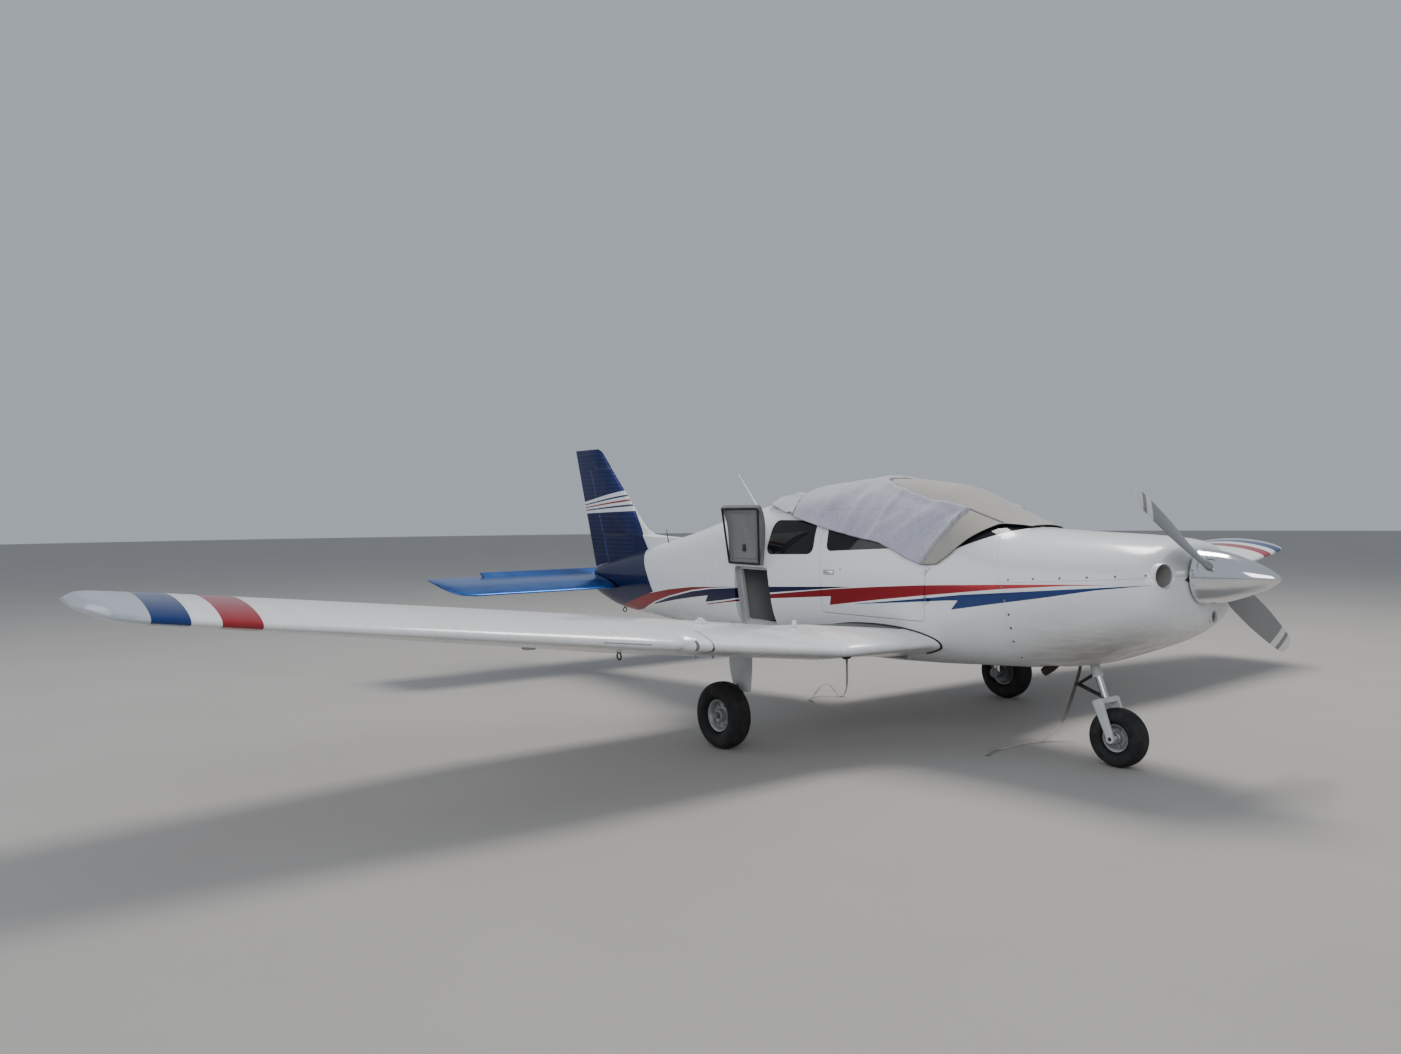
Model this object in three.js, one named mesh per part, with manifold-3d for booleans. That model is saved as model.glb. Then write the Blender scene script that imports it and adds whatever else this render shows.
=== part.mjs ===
// Four-seat low-wing light aircraft with fixed tricycle gear, parked under a half-thrown cabin cover.
// Millimetres. +X points to the nose, +Y to the left wing, +Z up, and the tyres stand on z = 0.
// A station is a distance aft of the spinner's tip; at() turns it into an x.
import * as THREE from 'three';
import { mergeVertices } from 'three/addons/utils/BufferGeometryUtils.js';
import Module from 'manifold-3d';

const wasm = await Module();
wasm.setup();

// Driving dimensions
const LENGTH = 7300;
const HALF_SPAN = 5350;
const FIN_TOP = 2240;
const TRACK = 3048;
const SHAFT_Z = 1188;
const PROPELLER_RADIUS = 965;
const PROPELLER_STATION = 345;
const BLADE_ANGLE = 61;
const FIREWALL = 1440;
const BULKHEAD = 4200;
const TAIL_END = 6925;
const WALL = 38;
const TOUCH = 0.4;
const DOOR_GAP = 6;
const BAGGAGE_OPEN = 174;

const RIGHT = -1;
const LEFT = 1;
const SIDES = [['right', RIGHT], ['left', LEFT]];

const at = (station) => LENGTH / 2 - station;
const radians = THREE.MathUtils.degToRad;

// Materials
const paint = (color, roughness = 0.25, metalness = 0.1) =>
  new THREE.MeshStandardMaterial({ color, roughness, metalness });
const WHITE = paint(0xe9ecef);
const NAVY = paint(0x16246b, 0.3, 0.3);
const BLUE = paint(0x1d4f9e, 0.3, 0.3);
const POLISHED = paint(0xc9ccd2, 0.12, 1);
const STEEL = paint(0x8b9096, 0.4, 0.9);
const RUBBER = paint(0x17181a, 0.85, 0);
const clear = (color, opacity) =>
  new THREE.MeshStandardMaterial({ color, roughness: 0.05, transparent: true, opacity });
const GLASS = clear(0x20262b, 0.6);
const CLEAR = clear(0xcfd8e0, 0.4);
const INTERIOR = paint(0x7d8184, 0.7, 0);
const SEAT = paint(0x6c6f76, 0.8, 0);
const CLOTH = paint(0xb3b4c6, 0.95, 0);
const WEBBING = paint(0x8f8878, 0.9, 0);
const BLADE = paint(0x8f9498, 0.35, 0.4);
const IRON = paint(0x55585c, 0.6, 0.7);

const model = new THREE.Group();
model.name = 'light_aircraft';

// Solids: closed meshes turned into manifolds, so that they can be joined and cut
function solid(geometry) {
  geometry.deleteAttribute('normal');
  geometry.deleteAttribute('uv');
  const merged = mergeVertices(geometry, 1e-4);
  const mesh = new wasm.Mesh({
    numProp: 3,
    vertProperties: new Float32Array(merged.attributes.position.array),
    triVerts: new Uint32Array(merged.index.array),
  });
  mesh.merge();
  return new wasm.Manifold(mesh);
}

function shape(manifold) {
  const mesh = manifold.getMesh();
  const geometry = new THREE.BufferGeometry();
  geometry.setAttribute('position', new THREE.BufferAttribute(mesh.vertProperties, mesh.numProp));
  geometry.setIndex(new THREE.BufferAttribute(mesh.triVerts, 1));
  geometry.computeVertexNormals();
  return geometry;
}

function node(name, manifold, material, parent = model) {
  const mesh = new THREE.Mesh(shape(manifold), material);
  mesh.name = name;
  parent.add(mesh);
  return mesh;
}

const join = (solids) => solids.reduce((whole, next) => whole.add(next));
const cut = (whole, ...tools) => tools.reduce((left, tool) => left.subtract(tool), whole);

// A skin through rings of equally many [x, y, z] points, closed at both ends by a fan
function loft(rings) {
  const count = rings[0].length;
  const points = rings.flat();
  const faces = [];
  for (let r = 0; r + 1 < rings.length; r += 1) {
    for (let i = 0; i < count; i += 1) {
      const [a, b] = [r * count + i, r * count + (i + 1) % count];
      faces.push(a, b, b + count, a, b + count, a + count);
    }
  }
  const ends = [[rings[0], 0, false], [rings.at(-1), (rings.length - 1) * count, true]];
  for (const [ring, first, flip] of ends) {
    const centre = points.push([0, 1, 2].map((k) => ring.reduce((sum, p) => sum + p[k], 0) / count)) - 1;
    for (let i = 0; i < count; i += 1) {
      const [a, b] = [first + i, first + (i + 1) % count];
      faces.push(...(flip ? [centre, a, b] : [centre, b, a]));
    }
  }
  let volume = 0;
  for (let f = 0; f < faces.length; f += 3) {
    const [p, q, r] = [0, 1, 2].map((k) => new THREE.Vector3(...points[faces[f + k]]));
    volume += p.dot(q.cross(r));
  }
  const geometry = new THREE.BufferGeometry();
  geometry.setAttribute('position', new THREE.Float32BufferAttribute(points.flat(), 3));
  geometry.setIndex(volume > 0 ? faces : faces.reverse());
  return solid(geometry);
}

function box([x0, x1], [y0, y1], [z0, z1]) {
  const geometry = new THREE.BoxGeometry(Math.abs(x1 - x0), Math.abs(y1 - y0), Math.abs(z1 - z0));
  return solid(geometry.translate((x0 + x1) / 2, (y0 + y1) / 2, (z0 + z1) / 2));
}

const slab = (from, to, width, [z0, z1]) => box([at(to), at(from)], [-width, width], [z0, z1]);

// A side outline of [station, z] points, extruded across the aircraft from y0 to y1
function side(outline, y0, y1) {
  const flat = new THREE.Shape(outline.map(([station, z]) => new THREE.Vector2(at(station), z)));
  const geometry = new THREE.ExtrudeGeometry(flat, { depth: y1 - y0, bevelEnabled: false });
  return solid(geometry.rotateX(Math.PI / 2).translate(0, y1, 0));
}

// A plan outline of [station, y] points, extruded upwards from z0 to z1
function plan(outline, z0, z1) {
  const flat = new THREE.Shape(outline.map(([station, y]) => new THREE.Vector2(at(station), y)));
  return solid(new THREE.ExtrudeGeometry(flat, { depth: z1 - z0, bevelEnabled: false }).translate(0, 0, z0));
}

// A round bar between two points, with its own radius at each end
function bar(from, to, r0, r1 = r0, sides = 16) {
  const [a, b] = [new THREE.Vector3(...from), new THREE.Vector3(...to)];
  const geometry = new THREE.CylinderGeometry(r1, r0, a.distanceTo(b), sides);
  const turn = new THREE.Quaternion().setFromUnitVectors(
    new THREE.Vector3(0, 1, 0), b.clone().sub(a).normalize());
  return solid(geometry.applyQuaternion(turn).translate(...a.add(b).multiplyScalar(0.5).toArray()));
}

// The radius a round hole needs so that a turning bar of radius r clears its flats
const boreFor = (r, sides) => (r + TOUCH) / Math.cos(Math.PI / sides);

// A turned piece: [radius, distance] pairs about an axis that runs along +Y
const turned = (profile, sides) =>
  new THREE.LatheGeometry(profile.map(([r, y]) => new THREE.Vector2(r, y)), sides);

// Fuselage. Columns: station, top, bottom, half width, height of the widest line, upper and lower exponent
const SECTIONS = [
  [440, 1352, 930, 385, 1130, 2.5, 2.4],
  [475, 1385, 868, 440, 1120, 2.5, 2.4],
  [560, 1402, 812, 480, 1105, 2.5, 2.4],
  [760, 1420, 724, 507, 1075, 2.5, 2.4],
  [1100, 1436, 612, 523, 1040, 2.5, 2.4],
  [1440, 1456, 566, 538, 1010, 2.5, 2.5],
  [1480, 1462, 562, 540, 1005, 2.5, 2.5],
  [1830, 1606, 542, 553, 980, 2.4, 2.8],
  [2160, 1738, 522, 560, 960, 2.4, 3.0],
  [2660, 1792, 502, 562, 950, 2.4, 3.0],
  [3120, 1748, 500, 560, 950, 2.4, 3.0],
  [3800, 1668, 508, 520, 950, 2.4, 2.8],
  [4400, 1562, 526, 446, 950, 2.3, 2.6],
  [5140, 1388, 556, 330, 945, 2.2, 2.4],
  [5620, 1292, 580, 250, 935, 2.1, 2.2],
  [5950, 1226, 600, 193, 925, 2.0, 2.1],
  [6400, 1126, 640, 122, 910, 2.0, 2.0],
  [6750, 1048, 728, 74, 900, 2.0, 2.0],
  [TAIL_END, 1008, 800, 40, 895, 2.0, 2.0],
];
const RING_POINTS = 24;

function fuselageRow(station) {
  const next = Math.max(1, SECTIONS.findIndex((row) => row[0] >= station));
  const [a, b] = [SECTIONS[next - 1], SECTIONS[next]];
  const share = (station - a[0]) / (b[0] - a[0]);
  return a.map((value, k) => value + (b[k] - value) * share);
}

function fuselageRing(station, grow) {
  const [, top, bottom, halfWidth, waist, upper, lower] = fuselageRow(station);
  return Array.from({ length: RING_POINTS }, (_, i) => {
    const angle = (2 * Math.PI * (i + 0.5)) / RING_POINTS;
    const [c, s] = [Math.cos(angle), Math.sin(angle)];
    const power = 2 / (s > 0 ? upper : lower);
    const height = s > 0 ? top + grow - waist : waist - bottom + grow;
    return [
      at(station),
      (halfWidth + grow) * Math.sign(c) * Math.abs(c) ** power,
      waist + height * Math.sign(s) * Math.abs(s) ** power,
    ];
  });
}

function fuselage(from, to, grow = 0) {
  const between = SECTIONS.map((row) => row[0]).filter((s) => s > from + 5 && s < to - 5);
  return loft([from, ...between, to].map((s) => fuselageRing(s, grow)));
}

// The skin's y at a station and height, on the right or left
function skinY(station, z, direction) {
  const [, top, bottom, halfWidth, waist, upper, lower] = fuselageRow(station);
  const t = z > waist ? (z - waist) / (top - waist) : (waist - z) / (waist - bottom);
  const power = z > waist ? upper : lower;
  return direction * halfWidth * (1 - t ** power) ** (1 / power);
}

// Cowling: a glass-fibre shell in two halves, split along a line of fasteners
const COWL_NOSE = 440;
const COWL_WALL = 8;
const COWL_SPLIT = [[300, 1218], [1600, 1128]];
const COWL_INLET = { y: 372, z: 1203, radius: 74 };
const LOWER_INLET = { y: 140, z: 945, radius: 42 };
const SHAFT_HOLE = 112;
const STRUT_SLOT = { from: 1035, to: 1205, half: 85, heights: [500, 760] };
const AIR_OUTLET = { from: 1255, to: FIREWALL + 10, half: 200, heights: [500, 660] };

function cowling() {
  const end = FIREWALL - TOUCH;
  const skin = cut(fuselage(COWL_NOSE, end), fuselage(COWL_NOSE + COWL_WALL, end + 4, -COWL_WALL));
  const hole = (y, z, radius) => bar([at(400), y, z], [at(640), y, z], radius, radius, 20);
  const openings = [
    hole(COWL_INLET.y, COWL_INLET.z, COWL_INLET.radius),
    hole(-COWL_INLET.y, COWL_INLET.z, COWL_INLET.radius),
    hole(LOWER_INLET.y, LOWER_INLET.z, LOWER_INLET.radius),
    bar([at(400), 0, SHAFT_Z], [at(500), 0, SHAFT_Z], SHAFT_HOLE, SHAFT_HOLE, 24),
    ...[STRUT_SLOT, AIR_OUTLET].map(({ from, to, half, heights }) => slab(from, to, half, heights)),
  ];
  const open = cut(skin, ...openings);
  const [front, back] = COWL_SPLIT;
  const above = side([front, back, [1600, 1700], [300, 1700]], -900, 900);
  const lift = [0, 0, -2 * TOUCH];
  const below = side([front, back, [1600, 300], [300, 300]], -900, 900).translate(lift);
  node('cowl_top', open.intersect(above), WHITE);
  node('cowl_bottom', open.intersect(below), WHITE);
}

// Engine: one block with its mount's four arms reaching the firewall, and the crankshaft ahead
const ENGINE = { front: 640, back: 1210, halfWidth: 370, bottom: 900, top: 1300 };
const HUB_BACK = 432;
const SHAFT_RADIUS = 55;
const MOUNT = { heights: [940, 1240], engineY: 260, wallY: 300, radius: 16 };
const EXHAUST = { y: -150, radius: 30, route: [[1180, 915], [1230, 700], [1390, 545]] };

const BEHIND_FIREWALL = slab(FIREWALL, FIREWALL + 200, 900, [300, 1700]);

function engine() {
  const block = slab(ENGINE.front, ENGINE.back, ENGINE.halfWidth, [ENGINE.bottom, ENGINE.top]);
  const arms = MOUNT.heights.flatMap((z) => [RIGHT, LEFT].map((direction) =>
    bar([at(ENGINE.back - 30), direction * MOUNT.engineY, z], [at(FIREWALL + 2), direction * MOUNT.wallY, z],
      MOUNT.radius, MOUNT.radius, 8)));
  const shaft = bar([at(ENGINE.front + 20), 0, SHAFT_Z], [at(HUB_BACK + TOUCH), 0, SHAFT_Z],
    SHAFT_RADIUS, SHAFT_RADIUS, 24);
  node('engine_block', cut(join([block, ...arms, shaft]), BEHIND_FIREWALL), IRON);
  const [top, bend, end] = EXHAUST.route.map(([station, z]) => [at(station), EXHAUST.y, z]);
  const pipe = join([[top, bend], [bend, end]].map((run) =>
    bar(...run, EXHAUST.radius, EXHAUST.radius, 12)));
  const clear = slab(ENGINE.front, ENGINE.back, ENGINE.halfWidth, [ENGINE.bottom - TOUCH, ENGINE.top]);
  node('exhaust_pipe', cut(pipe, clear), STEEL);
}

// Cabin: panels of one thickness, cut from the same skin
const WINDSCREEN_BASE = [[1470, 1466], [1955, 1266]];
const WINDSCREEN_REAR = [2175, 1712];
const ROOF_SEAM = [[2157, 1606], [3120, 1606], [BULKHEAD + 20, 1478]];
const FLOOR_SEAM = 620;
const GLASS_THICK = 8;
const CABIN_DOOR = [[2008, 845], [2008, 1290], [2160, 1590], [3052, 1590], [2960, 845]];
const DOOR_WINDOW = [[2078, 1334], [2206, 1545], [2985, 1540], [2945, 1288]];
const REAR_WINDOW = [[3085, 1262], [3110, 1500], [3140, 1520], [3560, 1512], [3640, 1470],
  [3640, 1300], [3590, 1252], [3110, 1246]];
const BAGGAGE_DOOR = [[3609, 1142], [4056, 1142], [4015, 655], [3492, 655]];
// The edges that swing towards the wall, by their places in the outline, and how much they stay back
const CABIN_DOOR_BACK = { corners: [2, 3], by: [0, -5] };
const BAGGAGE_DOOR_BACK = { corners: [1, 2], by: [-6, 0] };

// An outline moved inwards, or outwards where the distance is negative
function inset(outline, distance) {
  const area = outline.reduce((sum, [x, y], i) => {
    const [u, v] = outline[(i + 1) % outline.length];
    return sum + x * v - u * y;
  }, 0);
  const turn = Math.sign(area) * distance;
  return outline.map((point, i) => {
    const before = outline[(i + outline.length - 1) % outline.length];
    const after = outline[(i + 1) % outline.length];
    const [ax, ay] = [point[0] - before[0], point[1] - before[1]];
    const [bx, by] = [after[0] - point[0], after[1] - point[1]];
    const [al, bl] = [Math.hypot(ax, ay), Math.hypot(bx, by)];
    const [nx, ny] = [-ay / al - by / bl, ax / al + bx / bl];
    const scale = (2 * turn) / (nx * nx + ny * ny);
    return [point[0] + nx * scale, point[1] + ny * scale];
  });
}

// A door's own outline: its hole's, smaller by the gap all round and a little more along one edge
const doorOutline = (hole, { corners, by }) => inset(hole, DOOR_GAP).map(([station, z], i) =>
  (corners.includes(i) ? [station + by[0], z + by[1]] : [station, z]));

const OUTER_HALF = [[RIGHT, -900, -TOUCH / 2], [LEFT, TOUCH / 2, 900]];
const onSide = (outline, direction) =>
  (direction === RIGHT ? side(outline, -900, -150) : side(outline, 150, 900));

function windscreenOutline(gap) {
  const [front, corner] = WINDSCREEN_BASE;
  const outline = [front, corner, WINDSCREEN_REAR, [2175, 1900], [1400, 1900]];
  return inset(outline, gap);
}

function cabin() {
  const skin = fuselage(FIREWALL, BULKHEAD);
  const room = fuselage(FIREWALL - 20, BULKHEAD + 20, -WALL);
  const shell = cut(skin, room);
  const glassShell = cut(skin, fuselage(FIREWALL - 20, BULKHEAD + 20, -GLASS_THICK));
  const screenHole = side(windscreenOutline(0), -900, 900);

  const roofOutline = [...ROOF_SEAM, [BULKHEAD + 20, 1900], [1400, 1900], [1400, 1606]];
  const roof = cut(shell.intersect(side(roofOutline, -900, 900)), screenHole);
  node('cabin_roof', roof, WHITE);

  node('cabin_floor', shell.intersect(slab(FIREWALL - 10, BULKHEAD + 10, 900, [300, FLOOR_SEAM])), WHITE);

  const sideOutline = [[1400, FLOOR_SEAM + TOUCH], [BULKHEAD + 20, FLOOR_SEAM + TOUCH],
    [BULKHEAD + 20, 1478 - TOUCH], [3120, 1606 - TOUCH], [1400, 1606 - TOUCH]];
  const walls = {};
  for (const [direction, y0, y1] of OUTER_HALF) {
    let wall = cut(shell.intersect(side(sideOutline, y0, y1)), screenHole);
    wall = cut(wall, onSide(REAR_WINDOW, direction));
    if (direction === LEFT) wall = cut(wall, onSide(DOOR_WINDOW, direction));
    else wall = cut(wall, onSide(CABIN_DOOR, direction), onSide(BAGGAGE_DOOR, direction));
    walls[direction] = wall;
  }
  node('left_side_wall', walls[LEFT], WHITE);
  node('right_side_wall', join([walls[RIGHT], doorHinge(RIGHT_WALL_KNUCKLES, -1), baggageHinge()]), WHITE);

  const screen = glassShell.intersect(side(windscreenOutline(TOUCH), -900, 900));
  const pane = { [RIGHT]: [-900, -14], [LEFT]: [14, 900] };
  for (const [name, direction] of SIDES) {
    const half = box([at(2400), at(1400)], pane[direction], [1000, 1900]);
    node(`windscreen_${name}`, screen.intersect(half), GLASS);
    node(`rear_window_${name}`, glassShell.intersect(onSide(inset(REAR_WINDOW, TOUCH), direction)), GLASS);
  }
  node('windscreen_post', screen.intersect(box([at(2400), at(1400)], [-13.6, 13.6], [1000, 1900])), WHITE);
  node('front_window_left', glassShell.intersect(onSide(inset(DOOR_WINDOW, TOUCH), LEFT)), GLASS);

  const firewall = fuselage(FIREWALL + TOUCH, FIREWALL + 24, -WALL - TOUCH);
  node('firewall', firewall, STEEL);
  const doorPanel = shell.intersect(onSide(doorOutline(CABIN_DOOR, CABIN_DOOR_BACK), RIGHT));
  const cabinDoor = cut(doorPanel, onSide(DOOR_WINDOW, RIGHT));
  const handle = slab(2868, 2912, 572, [1130, 1150]).intersect(box([-4000, 4000], [-572, -550], [0, 2000]));
  node('cabin_door', join([cabinDoor, doorHinge(DOOR_KNUCKLES, 1), handle]), WHITE);
  node('cabin_door_window', glassShell.intersect(onSide(inset(DOOR_WINDOW, TOUCH), RIGHT)), GLASS);
  baggageDoor(shell);
  interior();
}

// Door hinge: a line that leans in with the side wall, outboard of the skin along the front seam
const HINGE_STATION = 2008;
const HINGE_LEAN = 6.5;
const HINGE_FOOT = { y: -560, z: 1143 };
const KNUCKLE = { radius: 9, leaf: 24, depth: 30, clear: 2 };
const DOOR_KNUCKLES = [[1000, 1026], [1158, 1182]];
const RIGHT_WALL_KNUCKLES = [[974, 1000 - TOUCH], [1182 + TOUCH, 1206]];

const hingePoint = (z) =>
  [at(HINGE_STATION), HINGE_FOOT.y + (z - HINGE_FOOT.z) * Math.tan(radians(HINGE_LEAN)), z];

// Knuckles on the hinge line, each with a leaf that runs onto its own panel: aft (1) or forward (-1)
function doorHinge(spans, towards) {
  return join(spans.map(([low, high]) => {
    const barrel = bar(hingePoint(low), hingePoint(high), KNUCKLE.radius, KNUCKLE.radius, 12);
    const middle = hingePoint((low + high) / 2);
    const start = at(HINGE_STATION) - towards * KNUCKLE.clear;
    const leaf = box([start, start - towards * KNUCKLE.leaf], [middle[1] - 2, middle[1] + KNUCKLE.depth],
      [low + 1, high - 1]);
    return barrel.add(leaf);
  }));
}

// Baggage door: hinged along its upper edge, standing open as parked
const BAGGAGE_HINGE_Z = 1150;
const BAGGAGE_PROUD = 16;
const BAGGAGE_ENDS = [3640, 4030].map((station) => new THREE.Vector3(
  at(station), skinY(station, BAGGAGE_HINGE_Z, RIGHT) - BAGGAGE_PROUD, BAGGAGE_HINGE_Z));

const BAGGAGE_KNUCKLES = [[0.02, 0.30], [0.70, 0.98]];
const WALL_KNUCKLE = [0.301, 0.699];
const WALL_LEAF = [0.32, 0.68];
const baggageAxis = (share) => BAGGAGE_ENDS[1].clone().lerp(BAGGAGE_ENDS[0], share);

// The wall's half of the hinge: a long knuckle between the door's two, with a leaf onto the wall above
function baggageHinge() {
  const [p, q] = WALL_KNUCKLE.map((share) => baggageAxis(share).toArray());
  const leaf = loft(WALL_LEAF.map(baggageAxis).map(({ x, y, z }) =>
    [[x, y, z - 2], [x, y + 30, z - 2], [x, y + 30, z + 14], [x, y, z + 14]]));
  return bar(p, q, 6, 6, 12).add(leaf);
}

function baggageDoor(shell) {
  const [front, rear] = BAGGAGE_ENDS;
  const panel = shell.intersect(onSide(doorOutline(BAGGAGE_DOOR, BAGGAGE_DOOR_BACK), RIGHT));
  const along = front.clone().sub(rear).normalize();
  const knuckles = BAGGAGE_KNUCKLES.map((span) => {
    const [p, q] = span.map(baggageAxis);
    const [y0, y1] = [p.y, q.y].sort((a, b) => a - b);
    const plate = box([p.x, q.x], [y0 - 3, y1 + 3], [1112, BAGGAGE_HINGE_Z]);
    const pad = box([p.x, q.x], [y0 - 3, y1 + 30], [1112, 1134]);
    return join([bar(p.toArray(), q.toArray(), 6, 6, 12), plate, pad]);
  });
  const door = join([panel, ...knuckles]).translate(rear.clone().negate().toArray());
  const hinge = new THREE.Group();
  hinge.position.copy(rear);
  hinge.quaternion.setFromAxisAngle(along, -radians(BAGGAGE_OPEN));
  model.add(hinge);
  node('baggage_door', door, WHITE, hinge);
}

// Cabin furniture: panel, control yokes and seats
const SEAT_SIDE = [[2250, 420], [2230, 850], [2300, 880], [2660, 850], [2790, 1340], [2850, 1350],
  [2880, 1300], [2760, 780], [2740, 420]];
const BENCH_SIDE = [[3090, 420], [3080, 860], [3150, 890], [3480, 860], [3600, 1300], [3680, 1290],
  [3590, 780], [3560, 420]];
const SEAT_Y = [50, 490];
const SEAT_CLEAR = 8;
const YOKE = { from: 1960, to: 1985, half: 130, horn: 15 };

function interior() {
  const room = fuselage(FIREWALL + 30, BULKHEAD - 20, -WALL - TOUCH);
  const foot = room.intersect(slab(FIREWALL, BULKHEAD, 900, [300, FLOOR_SEAM]));
  const seatRoom = foot.add(fuselage(FIREWALL + 30, BULKHEAD - 20, -WALL - SEAT_CLEAR));
  const panel = [room.intersect(slab(1700, 1765, 900, [985, 1312]))];
  for (const [name, direction] of SIDES) {
    const y = direction * 262;
    const column = bar([at(1764), y, 1110], [at(YOKE.from), y, 1125], 13, 13, 12);
    const yokeX = [at(YOKE.to), at(YOKE.from)];
    const wheel = box(yokeX, [y - YOKE.half, y + YOKE.half], [1095, 1125]);
    const horns = [-1, 1].map((end) => {
      const middle = y + end * (YOKE.half - YOKE.horn);
      return box(yokeX, [middle - YOKE.horn, middle + YOKE.horn], [1100, 1215]);
    });
    panel.push(column, wheel, ...horns);
    const [inner, outer] = SEAT_Y;
    const [y0, y1] = direction === RIGHT ? [-outer, -inner] : [inner, outer];
    node(`front_seat_${name}`, side(SEAT_SIDE, y0, y1).intersect(seatRoom), SEAT);
  }
  node('instrument_panel', join(panel), INTERIOR);
  node('rear_seat', side(BENCH_SIDE, -900, 900).intersect(seatRoom), SEAT);
}

// Tail cone: a hollow tapering shell behind the baggage bulkhead, with the stabilator's tube through it
const TUBE = { station: 6530, z: 870, radius: 28, sides: 24, halfLength: 190 };
const TAIL_WALL = 22;

function tailCone() {
  const skin = fuselage(BULKHEAD + TOUCH, TAIL_END);
  const hollow = fuselage(BULKHEAD + 26, 6200, -TAIL_WALL);
  const hatch = bar([at(BULKHEAD - 20), 0, 1050], [at(BULKHEAD + 60), 0, 1050], 150, 150, 16);
  const radius = boreFor(TUBE.radius, TUBE.sides);
  const ends = [-400, 400].map((y) => [at(TUBE.station), y, TUBE.z]);
  const bore = bar(...ends, radius, radius, TUBE.sides);
  node('tail_cone', cut(skin, hollow, hatch, bore), WHITE);
}

// Fin and rudder. Columns: height, leading edge, hinge line, trailing edge, greatest thickness
const FIN_LEVELS = [
  [1040, 5250, 6640, 6924, 100],
  [1340, 5330, 6746, 7018, 96],
  [1352, 5640, 6750, 7022, 95],
  [1368, 5846, 6756, 7027, 94],
  [1413, 5960, 6771, 7041, 92],
  [1506, 6076, 6804, 7070, 89],
  [1623, 6193, 6845, 7107, 85],
  [2028, 6598, 6988, 7234, 64],
  [FIN_TOP - 35, 6775, 7051, 7289, 54],
  [FIN_TOP, 6850, 7063, LENGTH, 30],
];
const FIN_SPLIT = 2028;
const RUDDER_BOTTOM = 1022;
const RUDDER_LIFT = 8;
const RUDDER_PIN = { top: 1130, bottom: 1070.4, radius: 9 };
const RUDDER_TOP_GAP = 14;
const NOSE_GAP = 7;

function finRow(z) {
  const next = Math.max(1, FIN_LEVELS.findIndex((row) => row[0] >= z));
  const [a, b] = [FIN_LEVELS[next - 1], FIN_LEVELS[next]];
  const share = (z - a[0]) / (b[0] - a[0]);
  return a.map((value, k) => value + (b[k] - value) * share);
}

// Half thickness of a tail section, as a share of its greatest half thickness
const tailShape = (x) => (x < 0.35 ? Math.min(1, 1.9 * Math.sqrt(x)) : 1 - 0.93 * ((x - 0.35) / 0.65) ** 1.4);

function finHalf(z, x) {
  const [, , , , thick] = finRow(z);
  return (thick / 2) * tailShape(x);
}

function finRing(z) {
  const [, lead, hinge, trail] = finRow(z);
  const end = hinge - finHalf(z, 0.62) - NOSE_GAP;
  const shares = [0.015, 0.08, 0.25, 0.6, 1];
  const half = shares.map((share) => {
    const station = lead + (end - lead) * share;
    return [at(station), finHalf(z, (station - lead) / (trail - lead)), z];
  });
  return [[at(lead), 0, z], ...half, ...half.map(([x, y]) => [x, -y, z]).reverse()];
}

function rudderRing(z, whole) {
  const [, lead, hinge, trail] = finRow(z);
  const chord = trail - lead;
  const nose = finHalf(z, 0.62);
  const sideOf = (direction) => {
    const front = whole
      ? [0.015, 0.08, 0.25, 0.45].map((x) => [lead + chord * x, direction * finHalf(z, x)])
      : [90, 60, 30, 0].map((angle) => [hinge - nose * Math.sin(radians(angle)),
        direction * nose * Math.cos(radians(angle))]);
    const tip = [[hinge + (trail - hinge) * 0.5, direction * finHalf(z, 0.84)], [trail, direction * 2]];
    return [...front.slice(whole ? 0 : 1), ...tip];
  };
  const first = whole ? [lead, 0] : [hinge - nose, 0];
  return [first, ...sideOf(1), ...sideOf(-1).reverse()].map(([station, y]) => [at(station), y, z]);
}

function finAndRudder() {
  const levels = FIN_LEVELS.map((row) => row[0]);
  const finLevels = levels.filter((z) => z <= FIN_SPLIT);
  const fin = loft(finLevels.map(finRing));
  node('fin', cut(fin, fuselage(5000, TAIL_END, TOUCH)), NAVY);

  const bottom = RUDDER_BOTTOM;
  const main = loft([bottom, ...levels.filter((z) => z > bottom + 5)].map((z) => rudderRing(z, false)));
  const hornLevels = [FIN_SPLIT + RUDDER_TOP_GAP, ...levels.filter((z) => z > FIN_SPLIT + RUDDER_TOP_GAP)];
  const horn = loft(hornLevels.map((z) => rudderRing(z, true)));
  const axis = (z) => [at(finRow(z)[2]), 0, z];
  const lifted = (station) => [station, fuselageRow(station)[1] + RUDDER_LIFT];
  const ridge = [6300, 6400, 6750, TAIL_END].map(lifted);
  const clear = cut(main, side([...ridge, [TAIL_END, 700], [6300, 700]], -200, 200));
  const pin = bar(axis(RUDDER_PIN.top), axis(RUDDER_PIN.bottom), RUDDER_PIN.radius, RUDDER_PIN.radius, 12);
  node('rudder', join([clear, horn, pin]), NAVY);
}

// Aerofoil of the wing: station along the chord and half thickness, both as shares
const AEROFOIL = [[0, 0], [0.006, 0.17], [0.03, 0.34], [0.1, 0.607], [0.22, 0.86], [0.4, 1], [0.55, 0.896],
  [0.7, 0.613], [0.78, 0.43], [0.88, 0.2], [1, 0.012]];
const CAMBER = 0.4 / (4 * Math.PI);
const meanLine = (x) => (x <= 0 || x >= 1 ? 0 : -CAMBER * ((1 - x) * Math.log(1 - x) + x * Math.log(x)));

function halfThickness(x) {
  const next = Math.max(1, AEROFOIL.findIndex((row) => row[0] >= x));
  const [a, b] = [AEROFOIL[next - 1], AEROFOIL[next]];
  return a[1] + ((b[1] - a[1]) * (x - a[0])) / (b[0] - a[0]);
}

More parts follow.
